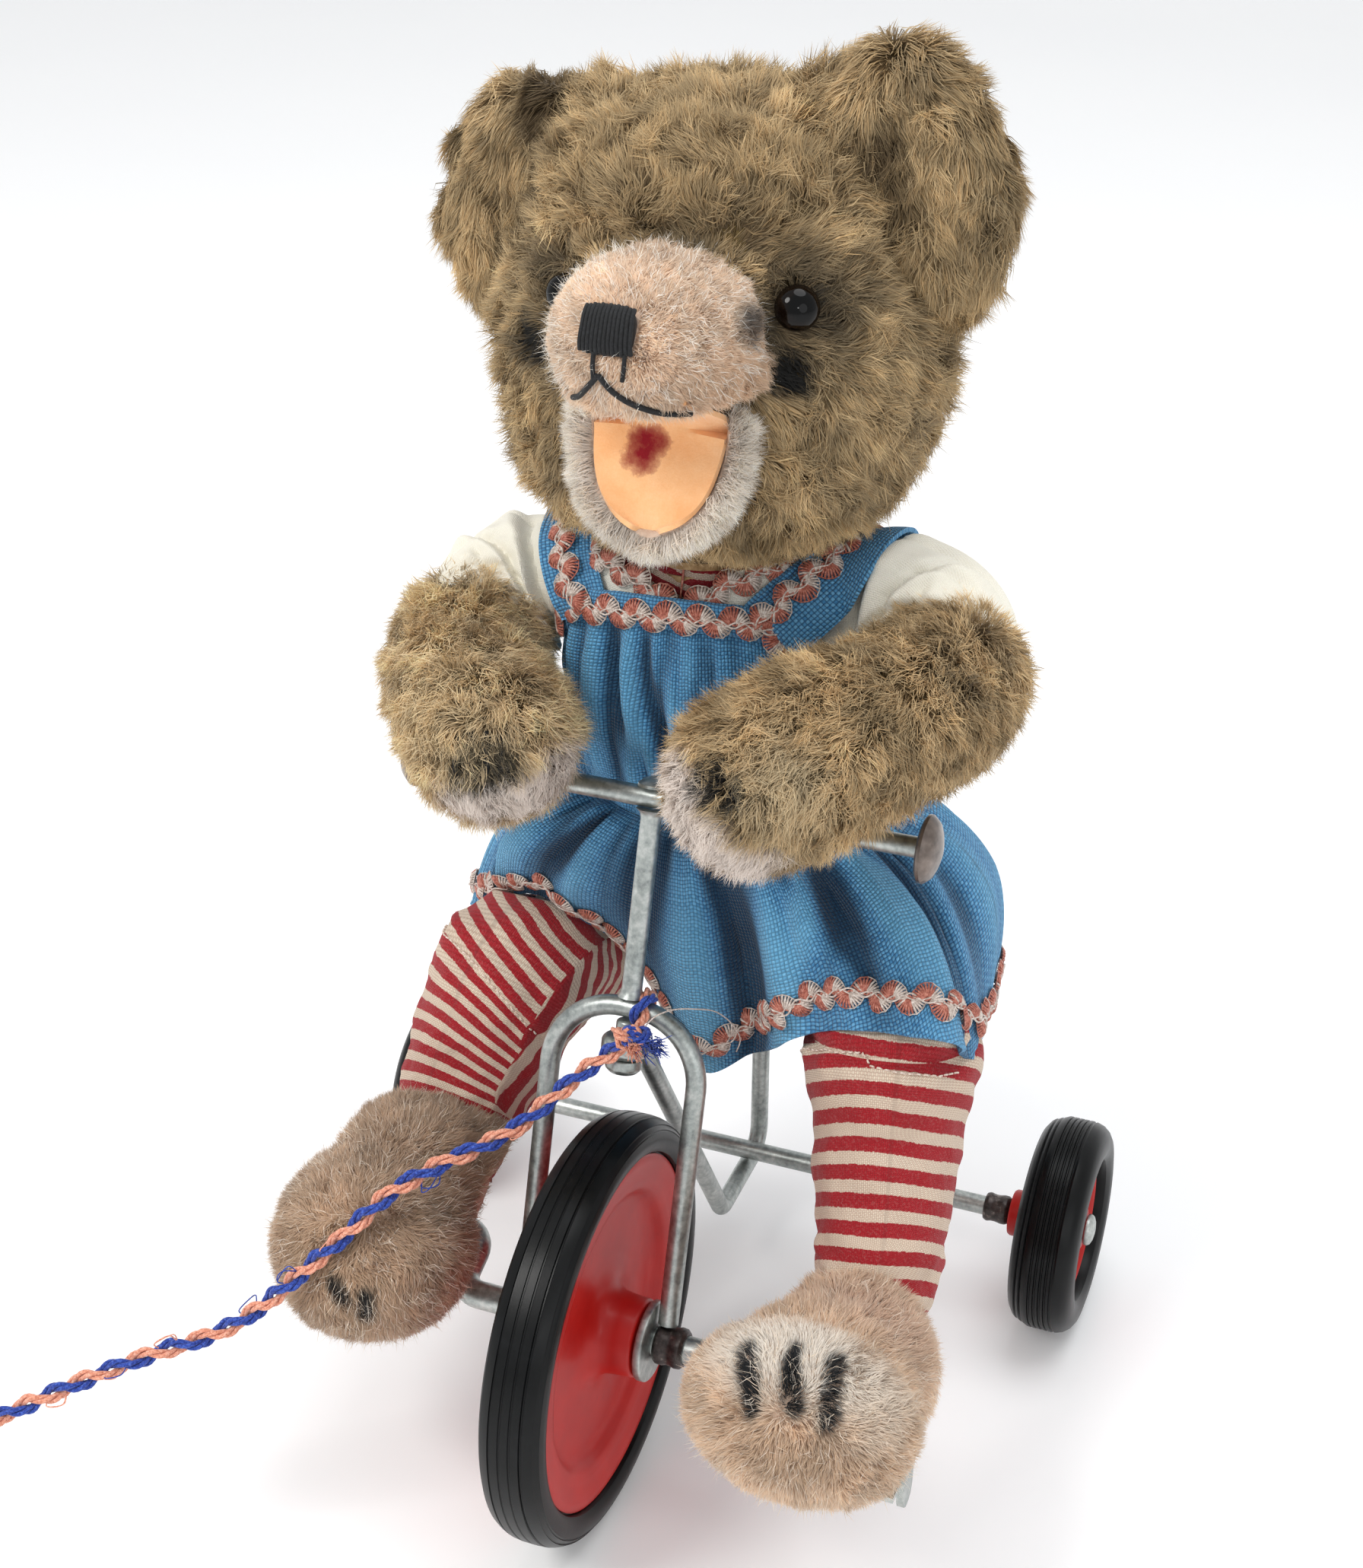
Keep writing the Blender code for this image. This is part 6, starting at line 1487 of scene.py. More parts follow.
def cloth(name, grid, mat, body, nodes=(), closed_u=False, thick=0.9, uv=None, sharp=60, out=None):
    """Cloth of a grid of points (rows, columns, 3) given a thickness, with UV in mm."""
    g = A(grid, float)
    nr, nc = g.shape[:2]
    if closed_u:
        du = np.roll(g, -1, axis=1) - np.roll(g, 1, axis=1)
    else:
        du = np.gradient(g, axis=1)
    dv = np.gradient(g, axis=0)
    n = unit(np.cross(du, dv).reshape(-1, 3)).reshape(g.shape)
    c = g.reshape(-1, 3).mean(0) if out is None else A(out, float)
    if ((g.reshape(-1, 3) - c) * n.reshape(-1, 3)).sum() < 0:
        n = -n
    b = g - n * thick
    if uv is None:
        lu = np.zeros((nr, nc))
        lv = np.zeros((nr, nc))
        lu[:, 1:] = np.cumsum(np.linalg.norm(np.diff(g, axis=1), axis=2), axis=1)
        lu = np.tile(lu.mean(0), (nr, 1))
        lv[1:] = np.cumsum(np.linalg.norm(np.diff(g, axis=0), axis=2), axis=0)
        uv = np.stack([lu, lv], axis=2)
    verts = np.vstack([g.reshape(-1, 3), b.reshape(-1, 3)])
    uvs = np.vstack([uv.reshape(-1, 2)] * 2)
    off = nr * nc
    faces = []
    cols = nc if closed_u else nc - 1
    for i in range(nr - 1):
        for j in range(cols):
            k = (j + 1) % nc
            faces.append((i * nc + j, i * nc + k, (i + 1) * nc + k, (i + 1) * nc + j))
            faces.append((off + i * nc + j, off + (i + 1) * nc + j, off + (i + 1) * nc + k, off + i * nc + k))
    for j in range(cols):
        k = (j + 1) % nc
        faces.append((j, off + j, off + k, k))
        a = (nr - 1) * nc
        faces.append((a + j, a + k, off + a + k, off + a + j))
    if not closed_u:
        for i in range(nr - 1):
            a, b2 = i * nc, (i + 1) * nc
            faces.append((a, b2, off + b2, off + a))
            a, b2 = i * nc + nc - 1, (i + 1) * nc + nc - 1
            faces.append((a, off + a, off + b2, b2))
    return build(name, verts, faces, mat, body, nodes, uv=uvs, sharp=sharp), g, n


def catmull_closed(ctrl, n):
    ctrl = sorted(ctrl)
    out, m = [], len(ctrl)
    for j in range(n):
        a = 360.0 * j / n
        i = max([k for k in range(m) if ctrl[k][0] <= a], default=-1)
        a0, p1 = (ctrl[i][0] if i >= 0 else ctrl[-1][0] - 360), A(ctrl[i][1], float)
        nxt = (i + 1) % m
        a1 = ctrl[nxt][0] + (360 if nxt == 0 and i >= 0 else 0)
        p2 = A(ctrl[nxt][1], float)
        p0, p3 = A(ctrl[(i - 1) % m][1], float), A(ctrl[(i + 2) % m][1], float)
        t = (a - a0) / (a1 - a0)
        out.append(0.5 * ((2 * p1) + (p2 - p0) * t + (2 * p0 - 5 * p1 + 4 * p2 - p3) * t * t + (3 * p1 - p0 - 3 * p2 + p3) * t ** 3))
    return out


def area_of(g, closed_u):
    """Area in square metres of a grid of millimetre points."""
    h = np.concatenate([g, g[:, :1]], axis=1) if closed_u else g
    a = np.linalg.norm(np.cross(h[1:, :-1] - h[:-1, :-1], h[:-1, 1:] - h[:-1, :-1]), axis=2).sum() / 2
    b = np.linalg.norm(np.cross(h[:-1, 1:] - h[1:, 1:], h[1:, :-1] - h[1:, 1:]), axis=2).sum() / 2
    return float(a + b) * 1e-6


HEM = [(0, (56.5, 66, 85.5)), (25, (52.5, 86, 84)), (55, (36, 110, 81)), (90, (0, 115, 78)), (125, (-37, 112, 83)), (155, (-57.0, 92, 86)), (178, (-58.0, 76, 85)),
       (196, (-55.0, 67, 88.5)), (208, (-50, 62.5, 93.0)), (220, (-43.8, 59.6, 98.2)), (232, (-36, 53.6, 103.6)), (247, (-23, 53.0, 101.0)), (254, (-15, 56, 93)), (262, (-7.0, 53.5, 85.5)), (272, (5, 46.5, 76.2)), (284, (16.5, 43, 82.8)),
       (290, (22.5, 40, 89.0)), (296, (28.5, 36.5, 95.2)), (304, (39.3, 31.5, 102.4)), (316, (51.6, 29.0, 105.6)), (328, (59.6, 32, 104.0)), (345, (61.8, 44.5, 92.8))]
MID = [(0, (51.5, 72, 117)), (25, (47.5, 91, 113)), (55, (29, 106, 110)), (90, (0, 110, 107)), (125, (-30, 106, 110)), (155, (-45, 92, 112)), (178, (-45.5, 73, 111)),
       (196, (-43.6, 62, 114)), (212, (-38.5, 53, 118.0)), (232, (-29, 45, 120.5)), (247, (-19, 44, 117)), (254, (-13, 44, 113.5)), (262, (-6, 43.5, 110.5)), (272, (3, 42, 109.5)), (284, (13, 42, 111)),
       (290, (18, 41.5, 114)), (296, (23, 41, 116.6)), (304, (29.5, 40.5, 119.4)), (316, (38.5, 41.5, 122.0)), (328, (44.5, 47, 122.4)), (345, (50.8, 57.5, 119.4))]
NS, NT = 420, 44
ang = np.arange(NS) * 360.0 / NS
ar = np.radians(ang)
waist = np.column_stack([26.9 * np.cos(ar), 69.0 + 24.5 * np.sin(ar), np.full(NS, 131.4)])
mid_c, hem_c = A(catmull_closed(MID, NS)), A(catmull_closed(HEM, NS))
rs = np.random.default_rng(5)
ph = rs.uniform(0, 6.28, 16)
tt = np.linspace(0, 1, NT)[:, None, None]
quad = 2 * mid_c - 0.5 * (waist + hem_c)
base = (1 - tt) ** 2 * waist + 2 * tt * (1 - tt) * quad + tt * tt * hem_c
tt = tt[:, :, 0]
# small gathers at the waist that run out into broad soft folds
warp_ = ar + 0.10 * np.sin(3 * ar + ph[5]) + 0.05 * np.sin(7 * ar + ph[6])
def pleat(x):
    """Round ridges and narrow valleys."""
    return 2 * np.abs(np.sin(x / 2)) ** 0.8 - 1.1


gath = (0.85 * pleat(24 * warp_ + ph[0]) + 0.45 * np.sin(37 * warp_ + ph[1]) + 0.3 * np.sin(61 * ar + ph[2]))[None, :]
broad = (1.0 * pleat(10 * warp_ + ph[3] + 0.6 * tt) + 0.7 * pleat(17 * warp_ + ph[4] - 0.8 * tt) * (1 - 0.4 * tt) + 0.3 * np.sin(25 * warp_ + ph[7]))
g_amp = (1.25 * np.exp(-((tt - 0.10) / 0.22) ** 2) + 0.25) * np.clip(tt * 16, 0, 1)
b_amp = 2.5 * np.clip(tt * 1.9 - 0.05, 0, 1) * (1 - 0.45 * np.clip((tt - 0.62) / 0.38, 0, 1))
offs = gath * g_amp + broad * b_amp
# folds of their own: (angle, its drift down the cloth, width, height, place down the cloth, length)
for a0, dr, wd_f, hf, t0, tw in ((262, 0, 7.0, -3.4, 0.5, 0.4), (276.5, 0, 4.6, 2.4, 0.7, 0.4), (286, -3, 3.8, -3.4, 0.72, 0.34), (294, -4, 4.2, 2.2, 0.66, 0.3), (302, -16, 3.8, 2.6, 0.5, 0.22), (309, -16, 4.2, -4.2, 0.5, 0.2),
                                 (311, 8, 2.4, -1.9, 0.78, 0.14), (320, -8, 4.0, 1.8, 0.5, 0.25), (337, -4, 5.5, -2.2, 0.45, 0.3), (350, 0, 5.0, -2.0, 0.6, 0.3), (238, 4, 4.0, -2.6, 0.5, 0.25), (224, 4, 4.5, 1.8, 0.5, 0.25), (212, 3, 4.0, -2.4, 0.6, 0.3)):
    dd = (ang[None, :] - a0 - dr * (tt - t0) + 180) % 360 - 180
    offs = offs + hf * np.exp(-(dd / wd_f) ** 2) * np.exp(-((tt - t0) / tw) ** 2)
# the cloth lies on the thighs in front, so it moves less there
lap = np.exp(-((ang - 232) / 17) ** 2) + np.exp(-((ang - 312) / 17) ** 2)
offs = offs * (1 - 0.45 * lap[None, :] * np.clip(tt * 1.6 - 0.5, 0, 1))
dirn_ = np.column_stack([np.cos(ar), np.sin(ar), np.full(NS, 0.2)])
nb_ = np.cross(np.gradient(base, axis=0).reshape(-1, 3), np.gradient(base, axis=1).reshape(-1, 3)).reshape(base.shape)
nb_ = unit(nb_.reshape(-1, 3)).reshape(base.shape)
sgn = np.sign((nb_ * dirn_[None]).sum(2, keepdims=True))
use = unit((nb_ * np.where(sgn == 0, 1, sgn) * 0.7 + unit(dirn_)[None] * 0.5).reshape(-1, 3)).reshape(base.shape)
sk_pts = base + use * offs[:, :, None]
# rolled edge of the hem
roll = np.exp(-((tt - 1.0) / 0.018) ** 2) * 0.45
sk_pts = sk_pts + use * roll[:, :, None]
skirt_ob, sk_g, sk_n = cloth("skirt_linen", sk_pts, M["strap"], "frame", ("skirt",), closed_u=True, thick=0.8)
# painted shade in the valleys of the skirt's folds and painted highlight on their ridges, plus painted shadow under the
# paws and behind the fork
low_ = offs - sum(np.roll(offs, q, axis=1) for q in range(-16, 17)) / 33
skirt_painted_shadow = sum(h_ * np.exp(-(((ang[None, :] - a_ + 180) % 360 - 180) / w_) ** 2) * np.exp(-((tt - t_) / l_) ** 2) for a_, t_, w_, l_, h_ in
            ((259, 0.35, 13, 0.4, 0.62), (274, 0.12, 16, 0.22, 0.5), (290, 0.26, 12, 0.2, 0.45), (309, 0.36, 7, 0.16, 0.5), (234, 0.2, 14, 0.3, 0.4), (338, 0.3, 6, 0.25, 0.25)))
fold_shade(skirt_ob, np.clip(np.clip(-low_ / 2.3, -0.8, 0.8) * np.clip(tt * 6, 0.3, 1) + skirt_painted_shadow, -0.8, 0.88))
flip = np.sign((sk_n * use).sum(2, keepdims=True))
sk_up = sk_n * np.where(flip == 0, 1, flip)

# bodice, squarer across the chest, gathered above the waist and under the bib's edge
ZK = [131.4, 140, 150, 158, 166, 173.6, 182]
B_RX, B_RY, B_YC, B_P = [26.8, 27.3, 27.5, 27.5, 27.2, 26.8, 25.4], [24.2, 24.0, 23.8, 23.2, 21.8, 20.4, 19.2], [69, 66.5, 64, 62.4, 61, 60.2, 60.0], [2.0, 2.2, 2.4, 2.6, 2.7, 2.8, 2.8]
TOPS = [(0, 165), (20, 168), (40, 172.5), (60, 174), (90, 174.5), (120, 174), (140, 172.5), (160, 167), (180, 164), (195, 166.0), (205, 171.0), (214, 176.0), (224, 179.2), (240, 180.4), (255, 180.8), (287, 181.2), (305, 181.2),
        (318, 180), (328, 177.5), (340, 170.5), (350, 166), (360, 165)]


def chest(a, z, grow=0.0):
    """Points of the dress's chest at angles a (degrees) and heights z."""
    a, z = np.broadcast_arrays(np.asarray(a, float), np.asarray(z, float))
    rx, ry, yc = np.interp(z, ZK, B_RX) + grow, np.interp(z, ZK, B_RY) + grow, np.interp(z, ZK, B_YC)
    front = np.clip(-np.sin(np.radians(a)) * 2.0 + 0.3, 0, 1)
    p = 2 + (np.interp(z, ZK, B_P) - 2) * front
    c, s = np.cos(np.radians(a)), np.sin(np.radians(a))
    r = (np.abs(c / rx) ** p + np.abs(s / ry) ** p) ** (-1 / p)
    fold = 1.1 * pleat(12 * np.radians(a) + ph[8] + 0.5 * np.sin(np.radians(3 * a)) + 0.012 * (z - 150)) + 0.7 * pleat(21 * np.radians(a) + ph[9] - 0.02 * (z - 150)) + 0.35 * np.sin(31 * np.radians(a) + ph[10])
    tb = (z - 131.4) / (np.interp(a % 360, [q[0] for q in TOPS], [q[1] for q in TOPS]) - 131.4)
    fine_ = 0.7 * np.sin(26 * np.radians(a) + ph[11] + 0.7 * np.sin(np.radians(4 * a)))
    amp = 0.85 * np.clip((tb - 0.02) * 5, 0, 1) * np.clip((0.93 - tb) * 5, 0, 1)
    k = fold * amp + fine_ * np.exp(-((tb - 0.07) / 0.1) ** 2) * np.clip(tb * 30, 0, 1) + 0.4 * np.sin(23 * np.radians(a) + ph[12]) * np.exp(-((tb - 0.8) / 0.14) ** 2)
    aw, up = np.asarray(a, float) % 360, np.asarray(z, float) - 156
    for a0, dr, wd_f, hf, z0, zw in ((264, -0.5, 3.6, -2.4, -2, 13), (255, -0.5, 4.0, 1.5, -2, 12), (274, -0.35, 4.5, 1.4, -4, 12), (283, 0.25, 3.2, -1.9, 2, 11), (293, 0.3, 4.5, 1.2, 0, 11), (246, -0.4, 3.4, -1.8, 4, 11), (303, 0.4, 3.6, -1.8, 2, 11), (235, -0.2, 4.0, 1.2, 0, 12)):
        k = k + hf * np.exp(-((aw - a0 - dr * up) / wd_f) ** 2) * np.exp(-((up - z0) / zw) ** 2) * np.clip((0.95 - tb) * 8, 0, 1)
    r = r + k
    return np.stack([r * c, yc + r * s, z], axis=-1)


def chest_x(x, z, lift=0.0):
    """Front point of the chest at a given x."""
    aa = np.linspace(196, 344, 600)
    P = chest(aa, np.full(600, float(z)))
    i = int(np.argmin(np.abs(P[:, 0] - x)))
    a = aa[i]
    d1 = chest(a + 1.5, z) - chest(a - 1.5, z)
    d2 = chest(a, z + 0.8) - chest(a, z - 0.8)
    n = unit(np.cross(d1, d2))
    if n[1] > 0:
        n = -n
    return P[i] + n * lift, n


NB = 380
aa = np.arange(NB) * 360.0 / NB
ztop = np.interp(aa, [q[0] for q in TOPS], [q[1] for q in TOPS])
tb = np.concatenate([np.linspace(0, 0.82, 24), np.linspace(0.85, 1, 9)])[:, None]
bz = 131.4 + tb * (ztop[None, :] - 131.4)
bo_pts = chest(np.broadcast_to(aa[None, :], bz.shape), bz)
bod_ob, bo_g, bo_n = cloth("bodice_linen", bo_pts, M["bodice"], "frame", ("bodice",), closed_u=True, thick=0.9)
# painted shade in the valleys of the bodice's folds and painted highlight on their ridges
rad_ = np.hypot(bo_g[..., 0], bo_g[..., 1] - 62.0)
low_ = rad_ - sum(np.roll(rad_, q, axis=1) for q in range(-14, 15)) / 29
fold_shade(bod_ob, np.clip(-low_ / 1.25, -0.8, 0.8) * np.clip(tb * 8, 0.3, 1) * np.clip((1 - tb) * 7, 0.25, 1))
# turned band along the bib's top
ab = np.linspace(206, 330, 150)
zb = np.interp(ab, [q[0] for q in TOPS], [q[1] for q in TOPS])
prof = [(-5.6, 0.15), (-5.3, 0.55), (-4.4, 0.75), (-3.0, 0.8), (-1.4, 0.85), (-0.3, 0.95), (0.35, 0.7), (0.55, 0.1), (0.4, -0.5)]
rows = []
for dz, up_ in prof:
    P = chest(ab, zb + dz)
    d1 = np.gradient(chest(ab, zb + dz), axis=0)
    n_ = unit(np.cross(d1, np.tile(A((0, 0.15, 1.0)), (len(ab), 1))))
    n_ = n_ * np.sign((n_ * (P - A((0, 60, 178)))).sum(1))[:, None]
    rows.append(P + n_ * up_)
bib_ob, bi_g, bi_n = cloth("bib_band", rows, M["strap"], "frame", (), thick=0.5, out=(0, 60, 178))

# =============================================================== braid
def braid_on(name, line, normals, body, pitch=6.3, lift=0.5, r=0.235, start=0, half=3.1, K=15):
    """Loop braid: fans of fine threads above and below a middle line, each part coral and part white. line and normals run along the trim."""
    P = A(line, float)
    seg = np.r_[0, np.cumsum(np.linalg.norm(np.diff(P, axis=0), axis=1))]
    Nn = unit(A(normals, float))
    rr_ = np.random.default_rng(len(name) * 7 + 3)

    def at(l):
        l = min(max(l, 0), seg[-1])
        p = A([np.interp(l, seg, P[:, k]) for k in range(3)])
        n = unit(A([np.interp(l, seg, Nn[:, k]) for k in range(3)]))
        a = A([np.interp(min(l + 0.9, seg[-1]), seg, P[:, k]) for k in range(3)])
        b = A([np.interp(max(l - 0.9, 0), seg, P[:, k]) for k in range(3)])
        t = unit(a - b)
        s = unit(np.cross(n, t))
        return p, t, s, n
    parts, mats = [], []
    count = int(seg[-1] / (pitch / 2))
    for i in range(count):
        l0 = (i + 0.5) * pitch / 2
        p, t, s, n = at(l0)
        side = 1 if (i + start) % 2 else -1
        c = p - s * side * 0.35
        swell, lean = rr_.uniform(0.92, 1.08), rr_.uniform(-0.12, 0.12)
        tips = []
        for k in range(K):
            th = math.radians(-84 + 168 * k / (K - 1)) + lean
            d = t * math.sin(th) + s * side * math.cos(th)
            rr = (half + 0.35) * swell * (0.93 + 0.07 * math.cos(2 * th)) * (1.0 if k % 2 else 0.97) + rr_.uniform(-0.08, 0.08)
            hump = 0.62 + 0.22 * math.cos(th) + rr_.uniform(-0.06, 0.06)
            path = [c + d * 0.45 + n * (lift + 0.55), c + d * rr * 0.35 + n * (lift + hump + 0.12), c + d * rr * 0.72 + n * (lift + hump), c + d * rr * 0.95 + n * (lift + 0.22), c + d * rr + n * (lift - 0.05)]
            tv, tf, _ = tube(path, [r * 0.7, r, r * 1.05, r * 0.95, r * 0.6], 5)
            parts.append((tv, tf))
            m_ = 0 if k < K * 0.56 else 1
            if k == 3 and i % 3 == 1:
                m_ = 1
            mats += [m_] * len(tf)
            tips.append(c + d * (rr + 0.1) + n * (lift + 0.12))
        # thin edge thread that links the loops
        tv, tf, _ = tube(tips[K // 2:], 0.13, 4)
        parts.append((tv, tf))
        mats += [1] * len(tf)
        tv, tf, _ = tube(tips[:K // 2 + 1], 0.13, 4)
        parts.append((tv, tf))
        mats += [0] * len(tf)
    # middle: two fine threads that weave across the fans
    fine = [at(l) for l in np.arange(0, seg[-1], 0.5)]
    for q, (amp, h_, rad, mt) in enumerate(((0.75, 1.02, 0.2, 1), (0.6, 0.92, 0.17, 1), (0.35, 0.8, 0.22, 0))):
        line2 = [p + n * (lift + h_) + s * amp * math.sin(2 * math.pi * (i * 0.5) / (pitch if q < 2 else 2.0) + 1.9 * q) for i, (p, t, s, n) in enumerate(fine)]
        tv, tf, _ = tube(line2, rad, 5)
        parts.append((tv, tf))
        mats += [mt] * len(tf)
    v, f = joined(parts)
    return build(name, v, f, [M["coral"], M["white"]], body, (), sharp=0, face_mat=mats)


# along the hem, a little above its edge
hem_arc = np.cumsum(np.linalg.norm(np.diff(sk_g[::-1], axis=0), axis=2), axis=0)
hb, hn = [], []
for j in list(range(NS)) + [0]:
    k = int(np.searchsorted(hem_arc[:, j], 6.8))
    hb.append(sk_g[NT - 2 - k, j])
    hn.append(sk_up[NT - 2 - k, j])
hb, hn = A(hb), A(hn)
sm = lambda q: np.stack([np.convolve(np.r_[q[-8:-1, k], q[:, k], q[1:8, k]], np.ones(7) / 7, "same")[7:-7] for k in range(3)], axis=1)
hbs = sm(hb)
hbs = hbs + unit(hn) * np.clip(((hb - hbs) * unit(hn)).sum(1), -0.2, 1.2)[:, None]
hem_braid = braid_on("hem_braid", hbs, unit(sm(hn)), "frame", 6.3, lift=0.35)
# along the bib's top, with its ends turned down
bl, bn = [], []
for x, z in [(-24.4, 168.0), (-25.6, 170.4), (-24.6, 173.0), (-21.6, 174.9), (-16.3, 176.6), (-10.5, 177.4), (-5, 177.7), (0.5, 178.0), (6.1, 178.4), (11.0, 178.6), (14.8, 178.4), (18.0, 177.4), (20.0, 175.2), (20.4, 172.2), (19.6, 169.4)]:
    p, n = chest_x(x, z, 0.75)
    bl.append(p)
    bn.append(n)
bl2, bn2 = spline(bl, 6), spline(bn, 6)
bib_braid = braid_on("bib_braid", bl2, bn2, "frame", 6.2, lift=0.3)

# shirt yoke: a ring round the neck with a V in front, trimmed with braid
NY = 240
ay = np.arange(NY) * 360.0 / NY
Y_TOP = [(0, 187.5), (90, 186.0), (180, 185.5), (215, 184.4), (238, 184.0), (250, 183.0), (262, 181.0), (272, 179.2), (276, 179.0), (284, 181.4), (296, 184.6), (308, 186.6), (325, 187.6), (360, 187.5)]
YK = [166, 174, 180, 184, 188]


def yoke(a, z, grow=0.0):
    a, z = np.broadcast_arrays(np.asarray(a, float), np.asarray(z, float))
    rx, ry = np.interp(z, YK, [24.4, 24.6, 24.2, 22.6, 20.4]) + grow, np.interp(z, YK, [18.4, 18.2, 17.6, 16.6, 14.6]) + grow
    p = 2 + 0.7 * np.clip(-np.sin(np.radians(a)) * 2, 0, 1)
    c, s = np.cos(np.radians(a)), np.sin(np.radians(a))
    r = (np.abs(c / rx) ** p + np.abs(s / ry) ** p) ** (-1 / p)
    r = r + 0.25 * np.sin(17 * np.radians(a) + 1.0) * np.clip((184 - z) / 8, 0, 1)
    return np.stack([r * c, 60.2 + r * s, z], axis=-1)


yt = np.interp(ay, [q[0] for q in Y_TOP], [q[1] for q in Y_TOP])
yz = 166 + np.linspace(0, 1, 18)[:, None] * (yt[None, :] - 166)
yoke_ob, yg, yn = cloth("shirt_yoke", yoke(np.broadcast_to(ay[None, :], yz.shape), yz), M["cream"], "frame", (), closed_u=True, thick=0.7)


def yoke_line(pts, lift):
    out, ns = [], []
    for x, z in pts:
        a_ = np.linspace(190, 350, 500)
        P = yoke(a_, np.full(500, float(z)))
        i = int(np.argmin(np.abs(P[:, 0] - x)))
        d1, d2 = yoke(a_[i] + 1, z) - yoke(a_[i] - 1, z), yoke(a_[i], z + 0.8) - yoke(a_[i], z - 0.8)
        n = unit(np.cross(d1, d2))
        n = n if n[1] < 0 else -n
        out.append(P[i] + n * lift)
        ns.append(n)
    return spline(out, 6), spline(ns, 6)


l_, n_ = yoke_line([(-21.0, 184.6), (-17.0, 184.4), (-13.5, 184.2), (-10.0, 183.6), (-6.2, 182.2), (-3.2, 180.6), (-0.4, 178.4)], 0.1)
neck_b1 = braid_on("neck_braid_right", l_, n_, "frame", 6.2, lift=0.3)
l_, n_ = yoke_line([(4.0, 179.6), (7.0, 182.2), (10.6, 184.4), (14.5, 186.0), (18.0, 187.0), (21.0, 187.4)], 0.1)
neck_b2 = braid_on("neck_braid_left", l_, n_, "frame", 6.2, lift=0.3, start=1)

# striped inset inside the V
rows = []
for i in range(24):
    z = 168 + 24 * i / 23
    rows.append(yoke(np.linspace(180, 360, 90), np.full(90, z), -1.3))
g = A(rows)
sl = np.where(g[:, :, 0] < 2.4, 0.30, -0.05)
uvn = np.stack([g[:, :, 0] + 30, g[:, :, 2] + sl * (g[:, :, 0] - 2.4)], axis=2)
neck_ob, _, _ = cloth("neck_striped", rows, M["neck"], "frame", ("collar",), thick=0.7, uv=uvn, out=(0, 60, 178))
p = [yoke(272.3 + 0.3 * math.sin(z), z, -0.9) for z in np.linspace(178, 190, 12)]
stitch("neck_seam", p, 0.22, "frame", "coral", 6)

